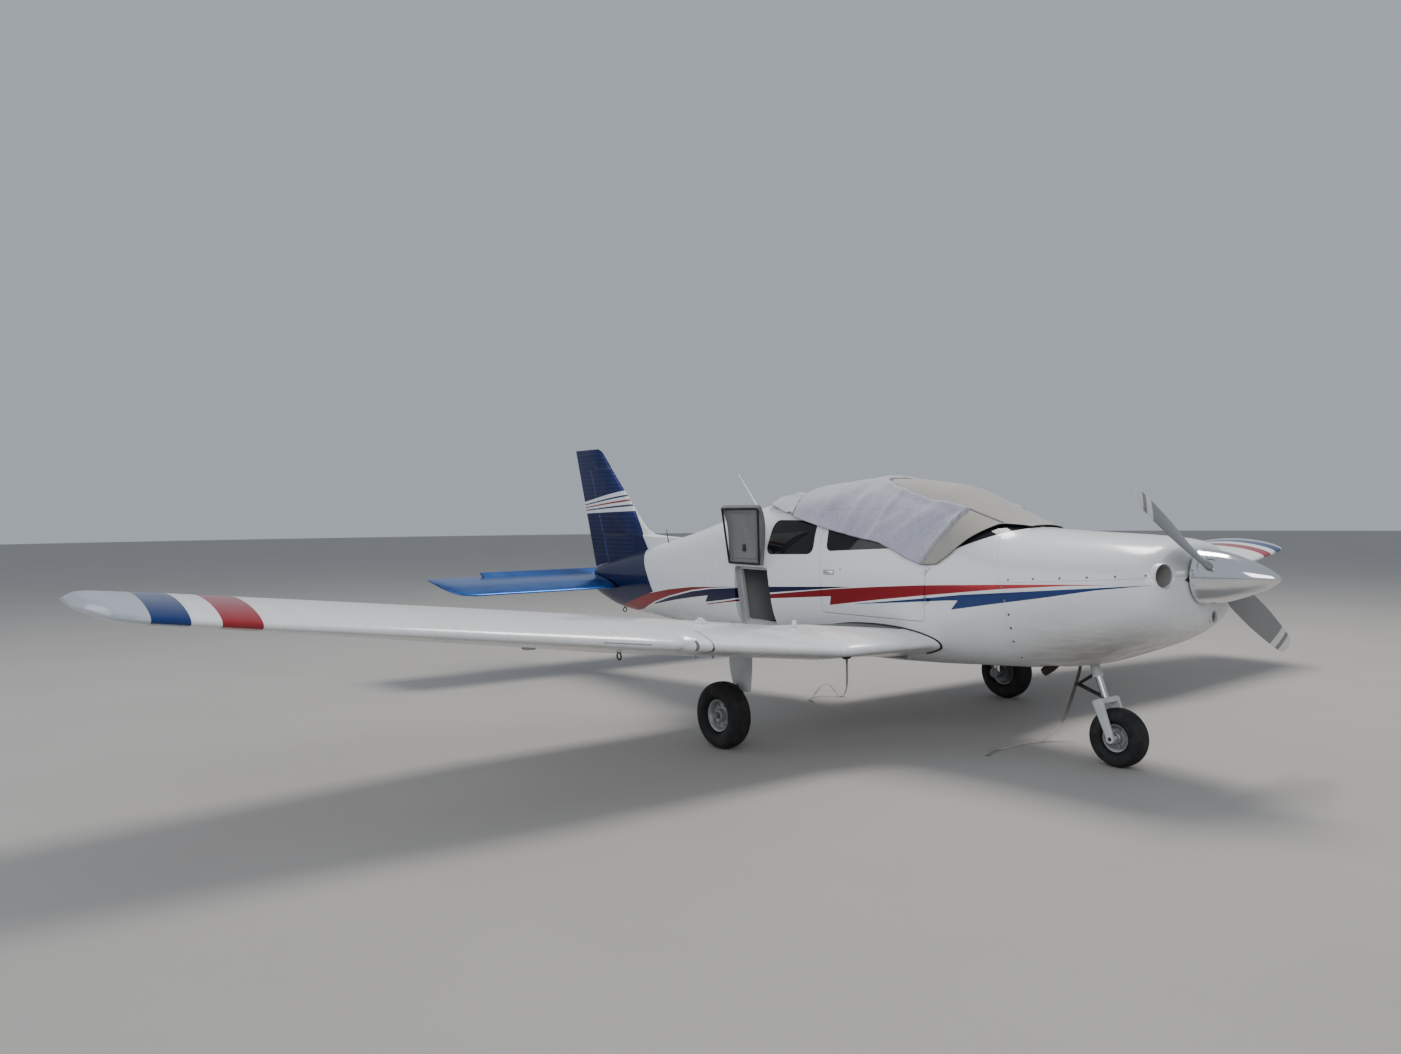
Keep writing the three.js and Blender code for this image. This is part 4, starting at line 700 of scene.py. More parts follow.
# Windows: tinted acrylic, 6 mm thick, blown to the cabin's curve and held in black rubber.
# The windscreen is in two halves on a painted centre post.
def tinted(name):
    finish = Finish(name, Transmission_Weight=0.0, Specular_IOR_Level=0.6, IOR=1.49)
    point, *_ = finish.places()
    haze = finish.grain(point, 7.0, 5.0, 0.6)
    fine = finish.grain(point, 1.0, 2.0, stretch=(40.0, 40.0, 700.0))
    finish.coat(Base_Color=finish.mix(haze, (0.010, 0.012, 0.013, 1), (0.028, 0.030, 0.032, 1)),
                Roughness=haze * 0.06 + fine * 0.02)
    see = finish.node("BsdfTransparent", {}, {"Color": (0.30, 0.33, 0.34, 1)})
    surface = Value(finish.tree, finish.shader.outputs[0])
    blended = finish.node("MixShader", {}, {0: haze * 0.18 + 0.42, 1: see, 2: surface})
    finish.connect(finish.tree.nodes["Material Output"], {"Surface": blended})
    return finish.material


def rubber(name, tone=(0.014, 0.014, 0.015, 1), rough=0.62, scale=160.0):
    finish = Finish(name, Specular_IOR_Level=0.3)
    point, *_ = finish.places()
    grain = finish.grain(point, scale, 4.0, 0.6)
    dust = finish.grain(point, 9.0, 5.0, 0.65)
    color = finish.mix(dust.soft_step(0.45, 0.85) * 0.5, tone, (0.10, 0.095, 0.088, 1))
    return finish.coat(Base_Color=color, Roughness=grain * 0.2 + (rough - 0.1),
                       Normal=finish.bump(grain, 0.2, 0.001))


def rod(route, radius, closed=False, sides=10, shape=None):
    """A round rod, pipe or gasket of one radius along a route."""
    shape = shape or bmesh.new()
    rings = []
    count = len(route)
    face = None
    for k, point in enumerate(route):
        before = route[(k - 1) % count] if closed else route[max(k - 1, 0)]
        after = route[(k + 1) % count] if closed else route[min(k + 1, count - 1)]
        run = (after - before).normalized()
        if face is None:
            face = run.orthogonal().normalized()
        face = (face - run * face.dot(run)).normalized()
        ring = bmesh.ops.create_circle(shape, segments=sides, radius=radius)["verts"]
        turn = Matrix((face, run.cross(face), run)).transposed().to_4x4()
        bmesh.ops.transform(shape, verts=ring, matrix=Matrix.Translation(point) @ turn)
        rings.append({e for v in ring for e in v.link_edges})
    for one, other in zip(rings, rings[1:] + (rings[:1] if closed else [])):
        bmesh.ops.bridge_loops(shape, edges=[*one, *other])
    if not closed:
        for ring in (rings[0], rings[-1]):
            bmesh.ops.edgeloop_fill(shape, edges=list(ring))
    bmesh.ops.recalc_face_normals(shape, faces=shape.faces)
    return shape


def sunk(skin, depth):
    skin.normal_update()
    for v in skin.verts:
        v.co -= v.normal * depth
    return skin


glass = tinted("tinted_acrylic")
gasket_rubber = rubber("gasket_rubber")
PANE_DEPTH, PANE_ROUND, PANE_GAP = 0.006, 0.0006, 0.0008
SCREEN_SLOT, POST_HALF = 0.0142, 0.0138


def skin_loop(outline, side, proud):
    """An outline's points laid on the skin, or that far proud of it."""
    return [on_skin(NOSE_TIP - x, z, side, proud) for x, z in outline]


def pane(outline, side, start, end, name, body, node):
    sheet = fuselage_skin(start, end)
    keep(sheet, cut_along(sheet, inset(outline, PANE_GAP), near=on_side(side)))
    walled(fitted(sunk(sheet, 0.002), name, body, glass, "tinted_glazing", [node]), PANE_DEPTH, PANE_ROUND)
    fitted(rod(skin_loop(inset(outline, 0.002), side, -0.0015), 0.0032, True, 8), f"{name}_gasket", body,
           gasket_rubber, "aerial_black")


for side, name in ((-1, "right"), (1, "left")):
    pane(rear_window, side, 2.98, 3.76, f"rear_pane_{name}", "airframe", f"rear_window_{name}")
pane(front_window, 1, 1.98, 3.1, "front_pane_left", "airframe", "front_window_left")
pane(front_window, -1, 1.98, 3.1, "door_pane", "door", "cabin_door_window")

for name, low, high, finish, slot, sink in (
        ("right", -0.9, -SCREEN_SLOT, glass, "tinted_glazing", 0.001),
        ("left", SCREEN_SLOT, 0.9, glass, "tinted_glazing", 0.001),
        ("post", -POST_HALF, POST_HALF, fuselage_paint, "white_paint", 0.0)):
    sheet = fuselage_skin(1.42, 2.25)
    for plane in (low, high):
        split(sheet, (0, plane, 0), (0, 1, 0))
    keep(sheet, cut_along(sheet, cornered(drawn(inset(SCREEN, PANE_GAP)), 0.03),
                          near=lambda c: c.z > 1.2 and low < c.y < high))
    walled(fitted(sunk(sheet, sink), f"windscreen_{name}_part", "airframe", finish, slot,
                  [f"windscreen_{name}"]), PANE_DEPTH, PANE_ROUND)

# Cabin door: one pressed aluminium door on the right, hinged at the front, with a flush paddle handle,
# a key lock and two painted hinges.
HINGE_FOOT, HINGE_LEAN = Vector((at(2.008), -0.560, 1.143)), tan(radians(6.5))


def hinge_point(z):
    return Vector((HINGE_FOOT.x, HINGE_FOOT.y + (z - HINGE_FOOT.z) * HINGE_LEAN, z))


def metal(name, tone, rough=0.32, metallic=1.0, wear=0.5, scale=24.0):
    """Bare or plated metal: fine scratches, smears and a little dirt."""
    finish = Finish(name)
    point, *_ = finish.places()
    smear = finish.grain(point, scale * 0.35, 5.0, 0.6)
    brushed = finish.grain(point, 1.0, stretch=(30.0, 400.0, 400.0))
    color = finish.mix(smear.soft_step(0.42, 0.8) * wear, tone, darker(tone, 0.35))
    return finish.coat(Base_Color=color, Metallic=metallic - smear.soft_step(0.55, 0.9) * (0.4 * wear),
                       Roughness=smear * 0.22 + brushed * 0.08 + (rough - 0.14),
                       Normal=finish.bump(brushed, 0.06, 0.0006))


def bar(shape, start, end, radius, other=None, sides=24):
    """A round bar, or a taper, from one point to another."""
    line = end - start
    made = bmesh.ops.create_cone(shape, cap_ends=True, segments=sides, radius1=radius,
                                 radius2=radius if other is None else other, depth=line.length)["verts"]
    turn = line.to_track_quat("Z", "Y").to_matrix().to_4x4()
    bmesh.ops.transform(shape, verts=made, matrix=Matrix.Translation((start + end) / 2) @ turn)


def block(shape, low, high, rounding=0.003, turn=None, segments=2):
    """A block between two corners with its edges rounded."""
    made = bmesh.ops.create_cube(shape, size=1)["verts"]
    size, middle = Vector(high) - Vector(low), (Vector(high) + Vector(low)) / 2
    bmesh.ops.scale(shape, verts=made, vec=size)
    edges = list({e for v in made for e in v.link_edges})
    done = bmesh.ops.bevel(shape, geom=edges, offset=rounding, offset_type="OFFSET", affect="EDGES",
                           segments=segments, profile=0.5, material=-1)
    made = list({v for f in done["faces"] for v in f.verts} | {v for v in made if v.is_valid})
    bmesh.ops.transform(shape, verts=made, matrix=Matrix.Translation(middle) @ (turn or Matrix.Identity(4)))
    return made


def built(name, finish, slot=None, bars=(), blocks=(), body="airframe", stands_for=(), shape=None):
    """A piece made of bars and blocks, or of a shape that they are added to."""
    shape = shape or bmesh.new()
    for one in bars:
        bar(shape, *one)
    for one in blocks:
        block(shape, *one)
    return fitted(shape, name, body, finish, slot, stands_for)


def around(middle, before, after, *rest):
    """A block's two corners, from how far it reaches before and after a point."""
    return (middle - Vector(before), middle + Vector(after), *rest)


door_paint = white_paint("door_paint")
door = fuselage_skin(1.95, 3.12)
keep(door, cut_along(door, inset(cabin_door, DOOR_GAP), near=on_side(-1)))
drop(door, cut_along(door, front_window, near=on_side(-1)))
walled(fitted(door, "cabin_door_panel", "door", [door_paint, cabin_lining], "white_paint", ["cabin_door"]),
       0.03)

door_steel = metal("door_steel", (0.55, 0.56, 0.57, 1), 0.3)
black_plastic = rubber("black_plastic", (0.016, 0.016, 0.018, 1), 0.45, 300.0)
KNUCKLE, LEAF = 0.0075, 0.03
for spans, body, name, way in (([(1.0, 1.026), (1.158, 1.182)], "door", "door_hinge_leaves", 1),
                               ([(0.974, 0.9996), (1.1824, 1.206)], "airframe", "wall_hinge_leaves", -1)):
    feet = [(hinge_point((low + high) / 2) - Vector((way * 0.002, 0, 0)), low, high) for low, high in spans]
    built(name, door_paint, "white_paint", body=body,
          bars=[(hinge_point(low), hinge_point(high), KNUCKLE, None, 20) for low, high in spans],
          blocks=[((foot.x - LEAF * (way > 0), foot.y - 0.0015, low + 0.002),
                   (foot.x + LEAF * (way < 0), foot.y + 0.02, high - 0.002), 0.0012) for foot, low,
                   high in feet])

HANDLE = [(2.848, 1.122), (2.848, 1.152), (2.958, 1.152), (2.958, 1.122)]
LEVER, LOCK = (2.905, 1.137, -1), (2.786, 1.164, -1)
# The black ring round the handle is a dark piece standing for the shade in the handle's recess.
fitted(rod([on_skin(s, z, -1, 0.0012) for s, z in cornered(HANDLE, 0.008, 4)], 0.0013, True, 6),
       "door_handle_recess", "door", black_plastic, "aerial_black")
lean = Matrix.Rotation(radians(-7), 4, "X")
built("door_handle_and_lock", door_steel, None,
      [(on_skin(*LOCK, -0.004), on_skin(*LOCK, 0.0025), 0.0095, None, 28)],
      [around(on_skin(*LEVER), (0.045, 0.0035, 0.0105), (0.047, 0.004, 0.0105), 0.003, lean)], "door")
pin = on_skin(*LEVER, 0.0042)
# The black slit in the lock is a dark piece standing for the shade in its key slot.
built("door_lock_keyway", black_plastic, "aerial_black",
      [(pin + Vector((0, 0.003, 0)), pin, 0.003, None, 16)],
      [around(on_skin(*LOCK, 0.0028), (0.0009, 0.0006, 0.004), (0.0009, 0.0006, 0.004), 0.0003)], "door")

# Baggage door: a flat-backed pressed door on a top hinge behind the rear window, standing open upright.
# Its back is a painted pan with a thick rubber seal round its rim and a slam latch.
hinge_rear, hinge_front = (Vector((at(s), skin_y(s, 1.15) - 0.016, 1.15)) for s in (4.03, 3.64))
OPENED = (Matrix.Translation(hinge_rear)
          @ Matrix.Rotation(radians(-174), 4, (hinge_front - hinge_rear).normalized())
          @ Matrix.Translation(-hinge_rear))
lid = fuselage_skin(3.44, 4.12)
keep(lid, cut_along(lid, inset(baggage_door, DOOR_GAP), near=on_side(-1)))
shut_place = lid.verts.layers.float_vector.new("shut")
for v in lid.verts:
    v[shut_place] = v.co
bmesh.ops.transform(lid, verts=lid.verts, matrix=OPENED)


def painted_pan(name, tone, other):
    finish = Finish(name, Specular_IOR_Level=0.35)
    point, *_ = finish.places()
    worn = finish.grain(point, 6.0, 5.0, 0.65)
    scuffs = finish.grain(point, 9.0, 4.0, 0.7, (2.0, 2.0, 16.0))
    color = finish.mix(worn.soft_step(0.3, 0.8) * 0.7 | (scuffs > 0.68) * 0.4, tone, other)
    return finish.coat(Base_Color=color, Roughness=worn * 0.25 + 0.42, Normal=finish.bump(worn, 0.15, 0.003))


pan_grey = painted_pan("pan_grey", (0.20, 0.205, 0.205, 1), (0.13, 0.133, 0.13, 1))
door_wall = walled(fitted(lid, "baggage_door_panel", "baggage_lid",
                          [white_paint("baggage_door_paint", True), pan_grey], "white_paint",
                          ["baggage_door"]), 0.03)
door_wall.modifiers["wall"].material_offset_rim = 1
# Rings on the door's back: name, distance in from its edge and from its face, radius, sides, finish, slot
for name, edge, depth, radius, sides, finish, slot in (
        ("seal", 0.016, 0.034, 0.0085, 10, gasket_rubber, "aerial_black"),
        ("pressing", 0.055, 0.031, 0.0032, 8, pan_grey, "white_paint")):
    ring = [OPENED @ p for p in skin_loop(inset(baggage_door, edge), -1, -depth)]
    fitted(rod(ring, radius, True, sides), f"baggage_door_{name}", "baggage_lid", finish, slot)
latch = OPENED @ on_skin(3.815, 1.00, -1, -0.034)
built("baggage_door_latch", black_plastic, "aerial_black", body="baggage_lid",
      blocks=[around(latch, (0.016, 0.010, 0.028), (0.016, 0.006, 0.028), 0.004)])
key = OPENED @ on_skin(3.80, 0.76)
built("baggage_door_lock", door_steel, body="baggage_lid",
      bars=[(key - Vector((0, 0.004, 0)), key + Vector((0, 0.003, 0)), 0.013)])

# Piano hinge: each leaf's spans, as shares of the hinge's length
for name, body, spans in (("baggage_lid_hinge", "baggage_lid", [(0.02, 0.30), (0.70, 0.98)]),
                          ("baggage_wall_hinge", "airframe", [(0.303, 0.697)])):
    piano = bmesh.new()
    for span in spans:
        p, q = (hinge_rear.lerp(hinge_front, share) for share in span)
        bar(piano, p, q, 0.0058, sides=18)
        if body == "airframe":
            block(piano, (p.x + 0.01, min(p.y, q.y), 1.148), (q.x - 0.01, max(p.y, q.y) + 0.03, 1.163), 0.001)
        else:
            for inwards, top in ((0.003, 1.150), (0.020, 1.133)):
                pad = block(piano, (p.x, min(p.y, q.y) - 0.001, 1.113), (q.x, max(p.y, q.y) + inwards, top),
                            0.001)
                bmesh.ops.transform(piano, verts=pad, matrix=OPENED)
    fitted(piano, name, body, fuselage_paint, "white_paint")
fitted(rod(skin_loop(inset(baggage_door, 0.006), -1, -0.056), 0.005, True, 8), "baggage_sill_seal",
       "airframe",
       gasket_rubber, "aerial_black")

# Cowling: two glass-fibre halves held by quarter-turn studs along a split line, white outside,
# bare resin inside, with two round inlets beside the spinner, a small one below, and an open bottom.
NOSE, SHAFT_HOLE = 0.44, 0.118
SHAFT = Vector((0, 0, 1.188))
SPLIT = [(0.3, 1.206), (1.7, 1.109)]
# Inlets: y, z, radius; and how much the big ones' lips lean back outwards
INLETS = [(-0.366, 1.203, 0.072), (0.366, 1.203, 0.072), (0.14, 0.945, 0.036)]
LIP_LEAN, BIG_INLET, INLETS_END = 0.27, 0.05, 0.62
# Openings below: front and rear station, half width
OUTLETS = [(1.035, 1.205, 0.085), (1.255, 1.40, 0.2)]
cowl_paint = white_paint("cowl_paint")
resin = trim_moulding("cowl_resin", (0.055, 0.052, 0.045, 1))


def box_outline(a0, a1, b0, b1):
    return cornered([(a0, b0), (a1, b0), (a1, b1), (a0, b1)], 0.02, 4)


cowl = fuselage_skin(NOSE, 1.6, 0.03)
front = [e for e in cowl.edges if e.is_boundary and all(abs(v.co.x - at(NOSE)) < 1e-4 for v in e.verts)]
hole = bmesh.ops.create_circle(cowl, segments=len(front), radius=SHAFT_HOLE)["verts"]
stand = Matrix.Translation((at(NOSE), 0, SHAFT.z)) @ Matrix.Rotation(pi / 2, 4, "Y")
bmesh.ops.transform(cowl, verts=hole, matrix=stand)
hole_edges = {e for v in hole for e in v.link_edges}
face_plate = bmesh.ops.bridge_loops(cowl, edges=[*front, *hole_edges])["faces"]
spokes = {e for f in face_plate for e in f.edges} - set(front) - hole_edges
bmesh.ops.subdivide_edges(cowl, edges=list(spokes), cuts=2)
bmesh.ops.recalc_face_normals(cowl, faces=cowl.faces)
faces_out(cowl)
keep(cowl, cut_along(cowl, drawn(COWL_BACK + [(0.2, 1.9), (0.2, 0.3)])))
for y, z, radius in INLETS:
    drop(cowl, cut_along(cowl, ring_outline(y, z, radius), (1, 2), margin=0.03,
                         near=lambda c: c.x > at(INLETS_END) and c.y * y > 0))
for s0, s1, half in OUTLETS:
    drop(cowl, cut_along(cowl, box_outline(at(s1), at(s0), -half, half), (0, 1), near=lambda c: c.z < 0.8))
lips = []
for y, z, radius in INLETS:
    loop = [v.co.copy() for v in cowl.verts if v.is_boundary and v.co.x > at(INLETS_END)
            and abs(hypot(v.co.y - y, v.co.z - z) - radius) < 0.002]
    lips.append(sorted(loop, key=lambda p: atan2(p.z - z, p.y - y)))
(s0, z0), (s1, z1) = SPLIT
up = Vector((z1 - z0, 0, s1 - s0)).normalized()
for part, sign in (("cowl_top", 1), ("cowl_bottom", -1)):
    half = cowl.copy()
    split(half, Vector((at(s0), 0, z0)) + up * sign * 0.0006, up * sign, clear_inner=True)
    walled(fitted(half, f"{part}_skin", "airframe", [cowl_paint, resin], "white_paint", [part]), 0.006)
cowl.free()


def spaced_loop(loop, count):
    ring = loop + loop[:1]
    far = np.concatenate([[0], np.cumsum([(b - a).length for a, b in zip(ring, ring[1:])])])
    return [Vector([np.interp(s, far, [p[k] for p in ring]) for k in range(3)])
            for s in np.linspace(0, far[-1], count, endpoint=False)]


# Columns: step back from the lip's face, radius as a share of the hole's
LIP_STEPS = [(None, 1.0), (0.010, 1.0), (0.004, 0.985), (0.0, 0.955), (0.002, 0.925), (0.008, 0.905),
             (0.016, 0.90)]
DUCT_STEPS = [(0.012, 0.902), (0.04, 0.90), (0.17, 1.05)]
lip_shape, duct = bmesh.new(), bmesh.new()
for (y, z, radius), loop in zip(INLETS, lips):
    even = spaced_loop(loop, 48)
    front = max(p.x for p in even) + 0.006
    lean = LIP_LEAN if radius > BIG_INLET else 0
    for shape, steps in ((lip_shape, LIP_STEPS), (duct, DUCT_STEPS)):
        rings = []
        for back, grow in steps:
            ring = bmesh.ops.create_circle(shape, segments=len(even), radius=1)["verts"]
            for v, p in zip(ring, even):
                out = abs(y + (p.y - y) * grow) - abs(y) + radius
                v.co = p if back is None else Vector((
                    front - out * lean - back, y + (p.y - y) * grow, z + (p.z - z) * grow))
            rings.append({e for v in ring for e in v.link_edges})
        for one, other in zip(rings, rings[1:]):
            bmesh.ops.bridge_loops(shape, edges=[*one, *other])
        bmesh.ops.recalc_face_normals(shape, faces=shape.faces)
fitted(lip_shape, "cowl_inlet_lips", "airframe", cowl_paint, "white_paint", crease=60)
fitted(duct, "cowl_inlet_ducts", "airframe", trim_moulding("duct_grey", (0.34, 0.335, 0.32, 1)),
       "engine_iron")

STUDS = [(1.377, 1.149), (1.204, 1.161), (1.028, 1.172), (0.853, 1.184), (0.683, 1.195), (0.52, 1.206),
         (1.416, 1.103), (1.394, 1.020), (1.368, 0.937), (1.364, 0.854), (1.370, 0.768), (1.385, 0.66)]
# Columns: name, finish, slot, inner and outer height off the skin, inner and outer radius, sides
# The black discs on the studs are dark pieces standing for the shade in their screwdriver slots.
for name, finish, slot, low, high, wide, narrow, sides in (
        ("cowl_studs", metal("stud_steel", (0.30, 0.30, 0.31, 1), 0.4, 1, 0.8), "gear_steel",
         -0.001, 0.0018, 0.0085, 0.007, 20),
        ("cowl_stud_slots", black_plastic, "aerial_black", 0.0018, 0.0022, 0.004, 0.0035, 12)):
    built(name, finish, slot, [(on_skin(s, z, side, low), on_skin(s, z, side, high), wide, narrow, sides)
                               for side in (-1, 1) for s, z in STUDS])

# Engine bay: the flat four-cylinder engine as one dark cast block with its mount, a stainless firewall,
# and the exhaust's tail pipe, which comes out under the cowling burnt dark.
def dressed(node, finish):
    """Gives a CAD node that shows as it is its finish."""
    part = bpy.data.objects[node]
    part.data.materials.clear()
    part.data.materials.append(finish)


def cast_iron(name, tone, other):
    finish = Finish(name, Specular_IOR_Level=0.4)
    point, *_ = finish.places()
    rough = finish.grain(point, 90.0, 5.0, 0.7)
    oil = finish.grain(point, 8.0, 5.0, 0.6)
    return finish.coat(Base_Color=finish.mix(oil.soft_step(0.35, 0.75), tone, other),
                       Metallic=oil * 0.4 + 0.3,
                       Roughness=rough * 0.3 + 0.4, Normal=finish.bump(rough, 0.5, 0.002))


dressed("engine_block", cast_iron("engine_casting", (0.09, 0.09, 0.095, 1), (0.035, 0.03, 0.026, 1)))
steel = metal("satin_steel", (0.50, 0.51, 0.52, 1), 0.34)
dressed("firewall", steel)
burnt = metal("burnt_exhaust", (0.07, 0.058, 0.05, 1), 0.55, 0.7, 0.9, 60.0)
EXHAUST_Y, MOUTH_TOP = -0.15, 0.6
EXHAUST = [(1.19, 0.885), (1.215, 0.80), (1.245, 0.69), (1.305, 0.605), (1.383, 0.548)]
pipe_route = rounded_route([Vector((at(s), EXHAUST_Y, z)) for s, z in EXHAUST], 0.012)
pipe = rod(pipe_route, 0.028, sides=28)
mouth = [f for f in pipe.faces if len(f.verts) > 4 and f.calc_center_median().z < MOUTH_TOP]
bmesh.ops.inset_region(pipe, faces=mouth, thickness=0.003)
sunk_mouth = bmesh.ops.extrude_face_region(pipe, geom=mouth)["geom"]
bmesh.ops.translate(pipe, verts=[v for v in sunk_mouth if isinstance(v, bmesh.types.BMVert)],
                    vec=(pipe_route[-4] - pipe_route[-1]) * 1.5)
drop(pipe, mouth)
fitted(pipe, "exhaust_tail_pipe", "airframe", burnt, "gear_steel", ["exhaust_pipe"])

# Instrument panel: a crackle-black sheet with round dials, a stack of radios and a moulded glare shield.
# Two control yokes stand out of it on tubes.
def hoop(centre, radius, count, level=(1, 0, 0)):
    """Points round a circle that stands upright along a level direction."""
    return [centre + (Vector(level) * cos(tau * k / count)
                      + Vector((0, 0, sin(tau * k / count)))) * radius for k in range(count)]


board = bmesh.new()
# Columns: front and rear station, y range, z range, rounding, segments
for s0, s1, y0, y1, z0, z1, rounding, segments in (
        (1.762, 1.715, -0.45, 0.45, 0.99, 1.275, 0.012, 3),
        (1.79, 1.703, -0.475, -0.05, 1.268, 1.300, 0.012, 3),
        (1.79, 1.703, 0.05, 0.475, 1.268, 1.300, 0.012, 3),
        (1.775, 1.72, -0.075, 0.075, 1.0, 1.29, 0.008, 2)):
    block(board, (at(s0), y0, z0), (at(s1), y1, z1), rounding, segments=segments)
fitted(board, "instrument_board", "airframe", rubber("panel_black", (0.022, 0.023, 0.025, 1), 0.5, 500.0),
       "cabin_trim", ["instrument_panel"])
DIAL_PITCH, DIAL_LEFT, DIAL_TOP = 0.095, -0.335, 1.20
RADIO_FOOT, RADIO_PITCH = 1.02, 0.05
dials, bezels = bmesh.new(), bmesh.new()
for y, z in [(a + dy * DIAL_PITCH, DIAL_TOP - dz) for a in (DIAL_LEFT, 0.165) for dy in range(3)
             for dz in (0, DIAL_PITCH)]:
    front = Vector((at(1.763), y, z))
    bar(dials, front, front - Vector((0.002, 0, 0)), 0.036, sides=32)
    rod(hoop(front - Vector((0.002, 0, 0)), 0.039, 28, (0, 1, 0)), 0.003, True, 6, bezels)
for k in range(5):
    low = RADIO_FOOT + RADIO_PITCH * k
    block(dials, (at(1.779), -0.066, low), (at(1.774), 0.066, low + 0.042), 0.002)
    for y in (-0.058, 0.058):
        bar(bezels, Vector((at(1.778), y, low + 0.012)), Vector((at(1.787), y, low + 0.012)), 0.006)


def dial_faces(name):
    """Dial faces: black with a fine ring of white marks round each, and a pale hand."""
    finish = Finish(name, Roughness=0.12, Specular_IOR_Level=0.6)
    _, _, y, z = finish.places()
    across = DIAL_PITCH / 2 - abs((y - DIAL_LEFT) % DIAL_PITCH - DIAL_PITCH / 2)
    up = DIAL_PITCH / 2 - abs((z + DIAL_PITCH - DIAL_TOP) % DIAL_PITCH - DIAL_PITCH / 2)
    r = (across ** 2 + up ** 2) ** 0.5
    turn = across.math("ARCTAN2", across, up)
    marks = (r > 0.026) & (r < 0.032) & ((turn * 18).sine() > 0.6)
    hand = (r < 0.024) & turn.near(0.7, 0.09)
    white = (marks | hand) & (z > RADIO_FOOT)
    return finish.coat(Base_Color=finish.mix(white, (0.008, 0.008, 0.009, 1), (0.75, 0.75, 0.72, 1)))


fitted(dials, "instrument_dials", "airframe", dial_faces("dial_faces"), "cabin_trim")
fitted(bezels, "instrument_bezels", "airframe", black_plastic, "cabin_trim")
# Half of a yoke's grip, from its end in to its middle: reach along y, height
GRIP = [(0.118, 1.205), (0.121, 1.17), (0.112, 1.13), (0.07, 1.112), (0, 1.11)]
yokes = bmesh.new()
for y in (-0.262, 0.262):
    bar(yokes, Vector((at(1.76), y, 1.11)), Vector((at(1.965), y, 1.123)), 0.0115)
    grip = [Vector((at(1.972), y + dy, z)) for dy, z in [(-dy, z) for dy, z in GRIP] + GRIP[-2::-1]]
    rod(rounded_route(grip, 0.012), 0.0115, sides=16, shape=yokes)
fitted(yokes, "control_yokes", "airframe", black_plastic, "cabin_trim")


# Seats: foam cushions under tight grey cloth with piped seams, two in front and a bench behind.
# Each is a squab and a backrest on a low frame.
SEAM_FROM, SEAM_PITCH = 0.27, 0.11


def seat_cloth(name, tone, other):
    finish = Finish(name, Roughness=0.9, Sheen_Weight=0.35, Specular_IOR_Level=0.2)
    point, x, y, z = finish.places()
    weave = (x * 2600).sine() * (y * 2600).sine() * (z * 2600).sine()
    patch = finish.grain(point, 12.0, 5.0, 0.6)
    seam = ((abs(y) - SEAM_FROM) % SEAM_PITCH).near(SEAM_PITCH / 2, 0.003)
    color = finish.mix(seam * 0.7, finish.mix(patch, tone, other), darker(tone, 0.4))
    return finish.coat(Base_Color=color, Normal=finish.bump(weave * 0.3 + patch - seam * 3, 0.35, 0.002))


upholstery = seat_cloth("grey_upholstery", (0.14, 0.145, 0.155, 1), (0.10, 0.102, 0.11, 1))
SQUAB = [(2.245, 0.70), (2.235, 0.835), (2.30, 0.878), (2.46, 0.872), (2.66, 0.848), (2.68, 0.70)]
REST = [(2.665, 0.72), (2.668, 0.86), (2.72, 1.09), (2.79, 1.33), (2.85, 1.345), (2.876, 1.30), (2.80, 0.94),
        (2.755, 0.72)]
BENCH_REST = [(3.51, 0.74), (3.505, 0.88), (3.555, 1.09), (3.605, 1.285), (3.65, 1.29), (3.672, 1.26),
              (3.62, 0.95),
              (3.585, 0.74)]
BENCH_SHIFT = 0.845


def cushion(outline, y0, y1, shift, name, nodes=()):
    """A stuffed pad: a side outline run across, crowned in the middle and pulled in at its ends."""
    path = rounded_route([Vector((at(s + shift), 0, z)) for s, z in outline + outline[:1]], 0.02)[:-1]
    centre = sum(path, Vector()) / len(path)

    def place(row, share):
        spot = share * len(path) % len(path)
        p = path[int(spot)].lerp(path[(int(spot) + 1) % len(path)], spot % 1)
        pull = 1 - 0.10 * abs(2 * row - 1) ** 6 - (0.9 if row in (0, 1) else 0)
        flat = centre + (p - centre) * pull
        return Vector((flat.x, y0 + (y1 - y0) * row, flat.z))

    shape = closed_up(laid_up([k / 14 for k in range(15)], 40, place))
    pad = fitted(shape, name, "airframe", upholstery, "seat_cloth", nodes, 60)
    soft = pad.modifiers.new("soft", "SUBSURF")
    soft.levels = soft.render_levels = 1


for y0, y1, name in ((-0.484, -0.056, "right"), (0.056, 0.484, "left")):
    cushion(SQUAB, y0, y1, 0.0, f"front_squab_{name}", [f"front_seat_{name}"])
    cushion(REST, y0, y1, 0.0, f"front_backrest_{name}")
cushion(SQUAB, -0.47, 0.47, BENCH_SHIFT, "bench_squab", ["rear_seat"])
cushion(BENCH_REST, -0.44, 0.44, 0.0, "bench_backrest")
built("seat_frames", steel, "gear_steel", blocks=[
    ((at(rear), y - 0.014, 0.56), (at(ahead_of), y + 0.014, 0.71), 0.006)
    for y in (-0.40, -0.09, 0.09, 0.40) for rear, ahead_of in ((2.70, 2.28), (3.53, 3.12))])

